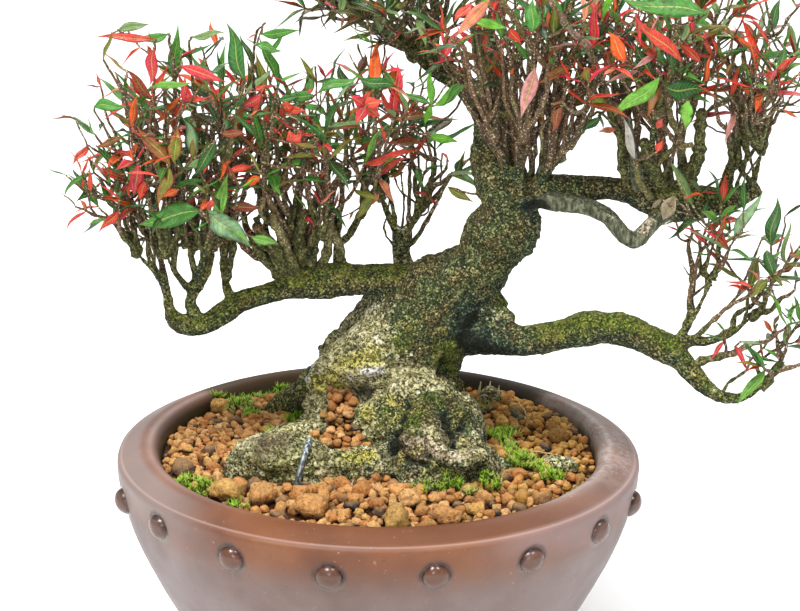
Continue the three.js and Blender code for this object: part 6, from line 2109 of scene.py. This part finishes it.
class Ground:
    """Heights over a fine square grid, which each grain laid on it raises"""

    def __init__(self):
        self.cell = 0.6
        self.reach = 73.2
        axis = np.arange(-self.reach, self.reach + self.cell, self.cell)
        self.x, self.y = np.meshgrid(axis, axis, indexing="ij")
        self.height = soil_level(self.x, self.y) - BED_DEPTH

    def window(self, x, y, half):
        low_x, high_x = [int(round((x + self.reach + d) / self.cell)) for d in (-half, half)]
        low_y, high_y = [int(round((y + self.reach + d) / self.cell)) for d in (-half, half)]
        area = (slice(max(low_x, 0), high_x + 1), slice(max(low_y, 0), high_y + 1))
        apart = np.hypot(self.x[area] - x, self.y[area] - y)
        return area, apart

    def seat(self, x, y, half):
        """The height on which a thing of this half width comes to rest"""
        area, _ = self.window(x, y, half * 0.75)
        return float(np.percentile(self.height[area], 72))

    def raise_to(self, x, y, half, middle, half_height):
        area, apart = self.window(x, y, half)
        dome = middle + half_height * np.sqrt(np.clip(1 - (apart / half) ** 2, 0, 1))
        self.height[area] = np.where(apart < half, np.maximum(self.height[area], dome), self.height[area])


def cube_sphere(splits):
    """Directions and faces of a cube's grid blown up to a ball"""
    steps = [math.tan((i / splits - 0.5) * math.pi / 2) for i in range(splits + 1)]
    numbers = {}
    points = []
    faces = []

    def number(p):
        key = tuple(round(c, 5) for c in p)
        if key not in numbers:
            numbers[key] = len(points)
            points.append(unit(np.array(p, float)))
        return numbers[key]
    for axis in range(3):
        for end in (-1, 1):
            for i in range(splits):
                for j in range(splits):
                    corners = [(steps[i], steps[j]), (steps[i + 1], steps[j]),
                               (steps[i + 1], steps[j + 1]), (steps[i], steps[j + 1])]
                    face = []
                    for a, b in corners if end > 0 else corners[::-1]:
                        p = [0, 0, 0]
                        p[axis], p[(axis + 1) % 3], p[(axis + 2) % 3] = end, a, b
                        face.append(number(p))
                    faces.append(face)
    return np.array(points), faces


def grain_form(splits, rng):
    """A ball cut by random planes with rounded edges between them, then dented: half size about 1"""
    ways, faces = cube_sphere(splits)
    planes = [unit(np.array([rng.gauss(0, 1) for _ in range(3)])) for _ in range(GRAIN_PLANES)]
    planes = np.array(planes)
    offsets = np.array([rng.uniform(0.72, 1.08) for _ in planes])
    sharpness = 15
    facing = np.clip(ways @ planes.T, 0, None) / offsets
    size = (facing ** sharpness).sum(axis=1) ** (-1 / sharpness)
    size = np.clip(size, 0.6, 1.25)
    seed = rng.randrange(1000)
    size *= 1 + 0.2 * wobble(ways, 0.6, 2, seed) + 0.14 * wobble(ways, 0.3, 2, seed + 9)
    return ways * size[:, None], faces


def random_turn(rng):
    """A rotation drawn evenly from all"""
    quaternion = np.array([rng.gauss(0, 1) for _ in range(4)])
    w, x, y, z = quaternion / np.linalg.norm(quaternion)
    return np.array([
        [1 - 2 * (y * y + z * z), 2 * (x * y - z * w), 2 * (x * z + y * w)],
        [2 * (x * y + z * w), 1 - 2 * (x * x + z * z), 2 * (y * z - x * w)],
        [2 * (x * z - y * w), 2 * (y * z + x * w), 1 - 2 * (x * x + y * y)],
    ])


class GrainLayer:
    """Lays grains on the ground, clear of the wood and inside the pot's wall"""

    def __init__(self, ground, wood_tree):
        self.ground = ground
        self.tree = wood_tree
        self.rng = random.Random(23)
        self.batches = {name: Batch() for name in ("left", "front", "right")}
        self.forms = {splits: [grain_form(splits, self.rng) for _ in range(GRAIN_FORMS)]
                      for splits in (3, 4, 6, 8)}

    def is_free(self, x, y, z, half):
        if math.hypot(x, y) > SOIL_WALL[-1][0] + 0.3 - half * 0.88:
            return False
        place, normal, _, apart = self.tree.find_nearest(Vector((x, y, z)))
        return (Vector((x, y, z)) - place).dot(normal) > 0 and apart > half * 0.5

    def lay(self, x, y, size, tint, splits, rise=0.52):
        """Puts one grain down and says whether it found room"""
        rng = self.rng
        half = size / 2
        seat = self.ground.seat(x, y, half)
        flat = rng.uniform(0.74, 0.98)
        middle = seat + half * flat * rise
        if not self.is_free(x, y, middle, half):
            return False
        points, faces = self.forms[splits][rng.randrange(GRAIN_FORMS)]
        stretch = np.array([rng.uniform(0.84, 1.16), rng.uniform(0.84, 1.16), 1])
        shaped = (points @ random_turn(rng).T) * stretch * (half, half, half * flat)
        shaped = shaped @ np.array(Matrix.Rotation(rng.uniform(0, 6.3), 3, "Z")).T + (x, y, middle)
        shade = rng.uniform(0.76, 1.16)
        colour = np.array(tint) * (shade, shade * rng.uniform(0.97, 1.02), shade * rng.uniform(0.94, 1.04), 1)
        name = "front" if y < -30 else "left" if x < 0 else "right"
        heights = (shaped[:, 2] - middle) / (half * flat)
        self.batches[name].add(shaped, faces, colour, np.stack([heights * 0, heights * 0, heights], axis=1))
        self.ground.raise_to(x, y, half * 0.92, middle, half * flat)
        return True

    def local_size(self, x, y):
        """Grains are coarse at the front and fine at the back left and in the pile"""
        if self.is_pile(x, y):
            return 0.66
        front = ramp_between(5, -40, y)
        right = ramp_between(0, 40, x)
        return float(0.7 + 0.3 * front + 0.06 * right * (1 - front))

    def is_pile(self, x, y):
        return PILE_SIDES[0] < x < 0 and -24 < y < 14

    def tint(self, x, y):
        shady = float(ramp_between(10, 60, x + 0.45 * y)) * 0.9
        choices = SHADY_TINTS if self.rng.random() < shady else GRAIN_TINTS
        if self.rng.random() < 0.055:
            return BROWN_GRAIN if self.rng.random() < 0.6 else DARK_GRAIN
        return self.rng.choices([c for c, _ in choices], [w for _, w in choices])[0]

    def fill(self):
        rng = self.rng
        for (x, y), size, tint in NAMED_GRAINS.values():
            self.lay(x, y, size, tint, 8 if size > 5 else 4, 0.8)
        for wanted, small, large, splits in GRAIN_CLASSES:
            for _ in range(wanted):
                best = None
                for _ in range(GRAIN_TRIES):
                    far = GRAIN_FAR * math.sqrt(rng.random())
                    turn = rng.uniform(0, 2 * math.pi)
                    x, y = far * math.cos(turn), far * math.sin(turn)
                    size = rng.uniform(small, large) * self.local_size(x, y)
                    room = soil_level(x, y) - self.ground.seat(x, y, size / 2)
                    if best is None or room > best[0]:
                        best = (room, x, y, size)
                room, x, y, size = best
                if room > GRAIN_ROOM * size - 1.3:
                    self.lay(x, y, size, self.tint(x, y), splits)
        for _ in range(PILE_GRAINS):
            x, y = rng.uniform(PILE_SIDES[0], 0), rng.uniform(-24, 9)
            size = rng.uniform(*PILE_SIZES)
            if soil_level(x, y) - self.ground.seat(x, y, size / 2) > GRAIN_ROOM * size - 1.6:
                self.lay(x, y, size, self.tint(x, y), 4)


def make_bed():
    """The dark soil body under the grains: its top follows the soil's level, its side the pot's wall"""
    rng = random.Random(5)
    edge = SOIL_WALL[-1][0]
    points = [(0, 0, float(soil_level(0, 0)) - BED_DEPTH)]
    for i in range(1, BED_RINGS + 1):
        for x, y in circle(edge * i / BED_RINGS, BED_SIDES, 0.5 * (i % 2)):
            lump = rng.uniform(-BED_LUMP, BED_LUMP)
            points.append((x, y, float(soil_level(x, y)) - BED_DEPTH + lump))
    floor = SOIL_WALL[0][1]
    for radius, height in [*SOIL_WALL[-2::-1], (BED_MIDDLE, floor)]:
        points += [(x, y, height) for x, y in circle(radius, BED_SIDES, 0.5 * (BED_RINGS % 2))]
    points.append((0, 0, floor))
    faces = poled_faces(BED_RINGS + len(SOIL_WALL), BED_SIDES)
    make_piece("soil_bed", points, faces, bed_look(), ["soil"])


def make_soil(wood_tree):
    ground = Ground()
    make_bed()
    layer = GrainLayer(ground, wood_tree)
    layer.fill()
    material = grain_look()
    for side, batch in layer.batches.items():
        batch.piece(f"grains_{side}", material, "soil", ["soil"])
    return ground


# Moss, straw and bits of bark on the soil

# Each tuft: place, radius, height and how straw-coloured it is
MOSS_TUFTS = {
    "back_left_bright": ((-49.3, 52), 3.6, 4.2, 0.1), "back_left_straw": ((-47, 38), 4.4, 4.4, 0.55),
    "back_left_small": ((-43, 31), 2.6, 2.4, 0.4), "mid_left": ((-27, 23), 4.2, 3.6, 0.12),
    "mid_left_small": ((-34, 12), 3, 1.8, 0.4), "ridge_side": ((-33, 5.5), 3, 2, 0.6),
    "front_left": ((-60, -29), 4.4, 5, 0.15), "front_left_right": ((-54.6, -34.6), 3.8, 4.6, 0.2),
    "front_small": ((-44, -46.5), 2.6, 2.2, 0.1), "right_high": ((41, 11), 4.8, 3.4, 0.05),
    "right_mid": ((42, 1), 3.4, 2.6, 0.3), "right_low": ((45, -10), 5, 3.6, 0.15),
    "right_far": ((50.5, -13), 3.4, 2.8, 0.3), "right_chip": ((55.6, -20.6), 3.8, 3.6, 0.05),
    "front_right": ((22.4, -37.4), 3.8, 5.4, 0.3), "front_right_pale": ((15, -37.5), 3.4, 3.6, 0.5),
    "front_far_right": ((35.8, -34.6), 4, 5.6, 0.25), "by_stub": ((33.4, 34.5), 3.2, 2.6, 0.1),
    "front_gap": ((29.6, -38.4), 2.2, 2.6, 0.3),
}
# The moss along the pot's wall: from and to these turns, this far out, in so many tufts
WALL_MOSS_TURNS = (2.0, 2.48)
WALL_MOSS_FAR = 69.2
WALL_MOSS_TUFTS = 15
SHOOTS_FOR_AREA = 1.25
NEEDLES = 9
NEEDLE_LENGTHS = (1.5, 2.7)
NEEDLE_WIDTH = 0.42
SHOOT_WIDTH = 0.6
MOSS_BASE = paint(50, 84, 12)
MOSS_TIP = paint(150, 198, 40)
MOSS_STRAW = paint(206, 196, 96)


def add_needle(batch, start, way, length, width, base_tint, tip_tint, rng):
    """A closed three-sided needle that curves up"""
    side = unit(np.cross(way, (rng.uniform(-1, 1), rng.uniform(-1, 1), 0.3)))
    other = np.cross(way, side)
    ring = [side, -0.5 * side + 0.87 * other, -0.5 * side - 0.87 * other]
    middle = start + way * (length * 0.55)
    tip = start + way * length + np.array([0, 0, length * 0.16])
    points = [start + r * width * 0.5 for r in ring] + [middle + r * width * 0.42 for r in ring] + [tip]
    faces = [[2, 1, 0], [0, 1, 4, 3], [1, 2, 5, 4], [2, 0, 3, 5], [3, 4, 6], [4, 5, 6], [5, 3, 6]]
    shares = np.array([0, 0, 0, 0.6, 0.6, 0.6, 1])[:, None]
    batch.add(np.array(points), faces, np.array(base_tint) * (1 - shares) + np.array(tip_tint) * shares)


def add_tuft(batch, x, y, z, radius, height, straw, rng):
    shoots = max(int(radius * radius * SHOOTS_FOR_AREA), 5)
    for _ in range(shoots):
        far = radius * math.sqrt(rng.random())
        turn = rng.uniform(0, 2 * math.pi)
        tall = height * (1 - 0.55 * (far / radius) ** 2) * rng.uniform(0.55, 1.1)
        foot = np.array([x + far * math.cos(turn), y + far * math.sin(turn), z - 0.8])
        lean = np.array([math.cos(turn), math.sin(turn), 0]) * 0.3 * far / radius
        top = foot + (lean + (0, 0, 1)) * tall
        is_straw = rng.random() < straw
        tip_tint = MOSS_STRAW if is_straw else MOSS_TIP
        for _ in range(NEEDLES):
            rise = rng.uniform(0.25, 1)
            start = foot + (top - foot) * rise
            spin = rng.uniform(0, 2 * math.pi)
            way = unit(np.array([math.cos(spin), math.sin(spin), rng.uniform(0.3, 1.5)]))
            shade = rng.uniform(0.7, 1.25)
            tints = [np.array(tint) * (shade, shade, shade, 1) for tint in (MOSS_BASE, tip_tint)]
            add_needle(batch, start, way, rng.uniform(*NEEDLE_LENGTHS), NEEDLE_WIDTH, *tints, rng)
        add_needle(batch, foot, unit(top - foot), tall + 0.8, SHOOT_WIDTH, MOSS_BASE, MOSS_BASE, rng)


def make_moss(ground):
    rng = random.Random(31)
    batch = Batch()
    for (x, y), radius, height, straw in MOSS_TUFTS.values():
        add_tuft(batch, x, y, ground.seat(x, y, radius), radius, height, straw, rng)
    for turn in np.linspace(*WALL_MOSS_TURNS, WALL_MOSS_TUFTS):
        x, y = WALL_MOSS_FAR * math.cos(turn), WALL_MOSS_FAR * math.sin(turn)
        add_tuft(batch, x, y, ground.seat(x, y, 1.2), 1.9, 1.6, 0.15, rng)
    batch.piece("moss_tufts", moss_look(), "soil", ["soil"])


# Dry straws: both ends as (x, y, height over the ground)
STRAWS = {
    "front": [(-8.6, -38.6, 1.2), (-7.2, -35, 6.4)], "left": [(-52, -9, 1.4), (-52.8, 2, 2.6)],
    "left_low": [(-51, -14, 1), (-50, -22, 2)], "front_lip": [(-4, -66, 2), (3, -67.2, 3.4)],
    "right": [(50, 1, 1.4), (57.6, -4, 2.2)], "right_back": [(47, 34, 3), (50, 20, 1.6)],
    "right_rim": [(62, -28, 2), (65.5, -21, 3)], "middle": [(-40, 8, 1.4), (-31, 13, 2.4)],
    "front_right": [(26, -48, 2), (33, -45, 3.2)], "tuft_hair": [(27, -40, 1), (24, -34, 6)],
}
STRAW_TINTS = [paint(214, 190, 130), paint(188, 160, 104), paint(150, 116, 74)]


def make_straws(ground, material):
    rng = random.Random(41)
    batch = Batch()
    for ends in STRAWS.values():
        (x0, y0, lift0), (x1, y1, lift1) = ends
        low = np.array([x0, y0, ground.seat(x0, y0, 1) + lift0 - 1.6])
        high = np.array([x1, y1, ground.seat(x1, y1, 1) + lift1 - 1])
        middle = (low + high) / 2 + np.array([rng.uniform(-1, 1), rng.uniform(-1, 1), rng.uniform(0.2, 1.2)])
        path = twig_path(low, middle, high, 0.34, 5, rng.random, 0.2, 0.5)
        points, faces = tube(smooth_path(path, 1.4), 6)
        batch.add(points, faces, STRAW_TINTS[rng.randrange(3)])
    batch.piece("straws", material, "bark", ["wood"])


# Loose bark: place, half sizes, turn about the upright, and its cover of lichen, moss and pale bark
BARK_BITS = {
    "chip": ((59.1, -10.6), (6.4, 3, 2.7), -0.55, (0.5, 0.66, 0)),
    "stub": ((37.6, 42), (3.8, 2.8, 3.4), 0.3, (0.72, 0.5, 0.1)),
    "root_crumb": ((46, 27), (5, 1.5, 1.5), -1.2, (0.2, 0.2, 0.5)),
}
STUB_SPIKES = [((33.8, 43.4), 2.8), ((37, 42.6), 3.2), ((40, 41.6), 2.2)]
SPIKE_TINT = paint(196, 186, 142)
CHIP_HAIRS = 9
HAIR_TINT = paint(216, 210, 196)
BIT_LIGHT = 0.9


def make_bark_bits(ground, material, straw_material):
    rng = random.Random(43)
    batch = Batch()
    ways, faces = cube_sphere(7)
    hairs = Batch()
    covers = []
    for index, (name, ((x, y), halves, turn, cover)) in enumerate(BARK_BITS.items()):
        lumps = 1 + 0.2 * wobble(ways, 0.6, 3, index + 50) + 0.05 * wobble(ways, 0.16, 2, index + 60)
        shaped = ways * lumps[:, None] * halves
        seat = ground.seat(x, y, halves[0] * 0.6) + halves[2] * 0.45
        shaped = shaped @ np.array(Matrix.Rotation(turn, 3, "Z")).T + (x, y, seat)
        batch.add(shaped, faces, (*cover, BIT_LIGHT))
        covers += [(*cover, BIT_LIGHT)] * len(shaped)
        if name == "stub":
            add_spikes(hairs, seat)
    piece = make_piece("bark_bits", np.concatenate(batch.points), batch.faces, material, ["wood"])
    add_colours(piece, "cover", covers)
    add_colours(piece, "patch", [(0.5 if cover[2] > 0.6 else 0.1, 0, 0, 0) for cover in covers])
    add_chip_hairs(hairs, ground, rng)
    hairs.piece("chip_hairs", straw_material, "bark", ["wood"])


def add_spikes(batch, seat):
    """The broken ends that stand up from the stub"""
    for (x, y), tall in STUB_SPIKES:
        path = [(x, y, seat, 0.6), (x + 0.3, y, seat + 1.6 + tall * 0.4, 0.36),
                (x + 0.6, y + 0.3, seat + 1.8 + tall, 0.12)]
        points, faces = tube(smooth_path(path, 0.8), 8)
        batch.add(points, faces, SPIKE_TINT)


def add_chip_hairs(batch, ground, rng):
    """Short pale fibres along the chip"""
    (x, y), halves, turn, _ = BARK_BITS["chip"]
    top = ground.seat(x, y, halves[0] * 0.6) + halves[2]
    for i in range(CHIP_HAIRS):
        along = (i / (CHIP_HAIRS - 1) - 0.5) * 1.7 * halves[0]
        start_x = x + along * math.cos(turn) + rng.uniform(-1, 1)
        start = np.array([start_x, y + along * math.sin(turn), top - 0.8])
        end = start + (rng.uniform(-2.4, 2.4), rng.uniform(-1.6, 0.6), rng.uniform(1.6, 3.2))
        path = twig_path(start, (start + end) / 2, end, 0.16, 3, rng.random, 0.1, 0.4)
        points, faces = tube(np.array(path), 4)
        batch.add(points, faces, HAIR_TINT)


# Pixels of the photograph that the wire runs through, from its upper end down
WIRE_PIXELS = [(309, 441), (307, 448), (304.5, 456), (302, 464), (300, 472), (298, 480), (296.5, 488)]
WIRE_SUNK = 1.6
# The front root lies about this far behind the pot's middle, and this far to either side of it
FRONT_ROOT_DEPTH = -24
FRONT_ROOT_REACH = 14


def make_wire(wood_tree):
    """The wire lies on the front root, with both ends sunk into it"""
    route = []
    for pixel in WIRE_PIXELS:
        eye, way = line_of_sight(pixel)
        place, normal, _, _ = wood_tree.ray_cast(eye, way)
        if place is not None and abs(place[1] - FRONT_ROOT_DEPTH) < FRONT_ROOT_REACH:
            route.append((*(place + normal * 0.3), WIRE_RADIUS * 0.84))
    first, last = Vector(route[0][:3]), Vector(route[-1][:3])
    route.insert(0, (*(first + Vector((0, WIRE_SUNK * 2, -WIRE_SUNK))), WIRE_RADIUS * 0.5))
    route.append((*(last + Vector((0, WIRE_SUNK, -WIRE_SUNK * 2))), WIRE_RADIUS * 0.6))
    path = smooth_path(route, 0.9)
    path[:, 3] *= 1 + 0.05 * np.sin(np.arange(len(path)) * 1.7)
    points, faces = tube(path, 16)
    make_piece("tie_wire_fine", points, faces, wire_look(), ["tie_wire"])


# Camera, light and floor

def photo_camera():
    data = bpy.data.cameras.new("photo_camera")
    data.sensor_width = SENSOR_WIDTH
    data.lens = FOCAL_LENGTH / IMAGE_WIDTH * SENSOR_WIDTH
    data.clip_start = 0.05
    data.clip_end = 20
    camera = bpy.data.objects.new("photo_camera", data)
    bpy.context.collection.objects.link(camera)
    eye, side, lift, aim = view_axes()
    turn = Matrix((side, lift, -aim)).transposed()
    camera.matrix_world = Matrix.Translation(eye * MM) @ turn.to_4x4()
    bpy.context.scene.camera = camera


# Lights in metres: place, size and power
LIGHTS = {
    "key_light": ((-0.75, -0.85, 2.1), 0.8, 56), "second_light": ((0.85, -0.7, 2.1), 0.7, 26),
    "front_light": ((-0.3, -2.2, 0.9), 0.9, 12), "back_light": ((0.3, 1.8, 1.6), 1.0, 24),
}
LIGHT_TARGET = (0.02, 0, 0.12)
WORLD_STRENGTH = 0.5
FLOOR_HALF = 4.0


def soft_light(name, place, size, power):
    data = bpy.data.lights.new(name, "AREA")
    data.shape = "DISK"
    data.size = size
    data.energy = power
    light = bpy.data.objects.new(name, data)
    bpy.context.collection.objects.link(light)
    light.location = place
    light.rotation_euler = (Vector(LIGHT_TARGET) - Vector(place)).to_track_quat("-Z", "Y").to_euler()


def make_studio():
    world = bpy.data.worlds.new("studio")
    world.use_nodes = True
    background = world.node_tree.nodes["Background"]
    background.inputs["Color"].default_value = (1.0, 1.0, 1.0, 1)
    background.inputs["Strength"].default_value = WORLD_STRENGTH
    bpy.context.scene.world = world
    bpy.context.scene.view_settings.view_transform = "Standard"
    for name, light in LIGHTS.items():
        soft_light(name, *light)
    mesh = bpy.data.meshes.new("floor")
    corners = [(-FLOOR_HALF, -FLOOR_HALF, 0), (FLOOR_HALF, -FLOOR_HALF, 0), (FLOOR_HALF, FLOOR_HALF, 0),
               (-FLOOR_HALF, FLOOR_HALF, 0)]
    mesh.from_pydata(corners, [], [(0, 1, 2, 3)])
    mesh.materials.append(floor_look())
    floor = bpy.data.objects.new("floor", mesh)
    bpy.context.collection.objects.link(floor)


photo_camera()
make_studio()
make_pot()
bark = bark_look()
twig = twig_look()
wood = make_wood(bark)
make_sprays(twig)
carved = wood_tree(wood)
ground = make_soil(carved)
make_moss(ground)
make_straws(ground, twig)
make_bark_bits(ground, bark, twig)
make_wire(carved)
plastic = mesh_look()
for i in range(DRAIN_COUNT):
    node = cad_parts[f"drain_mesh_{i + 1}"]
    node.data.materials.clear()
    node.data.materials.append(plastic)
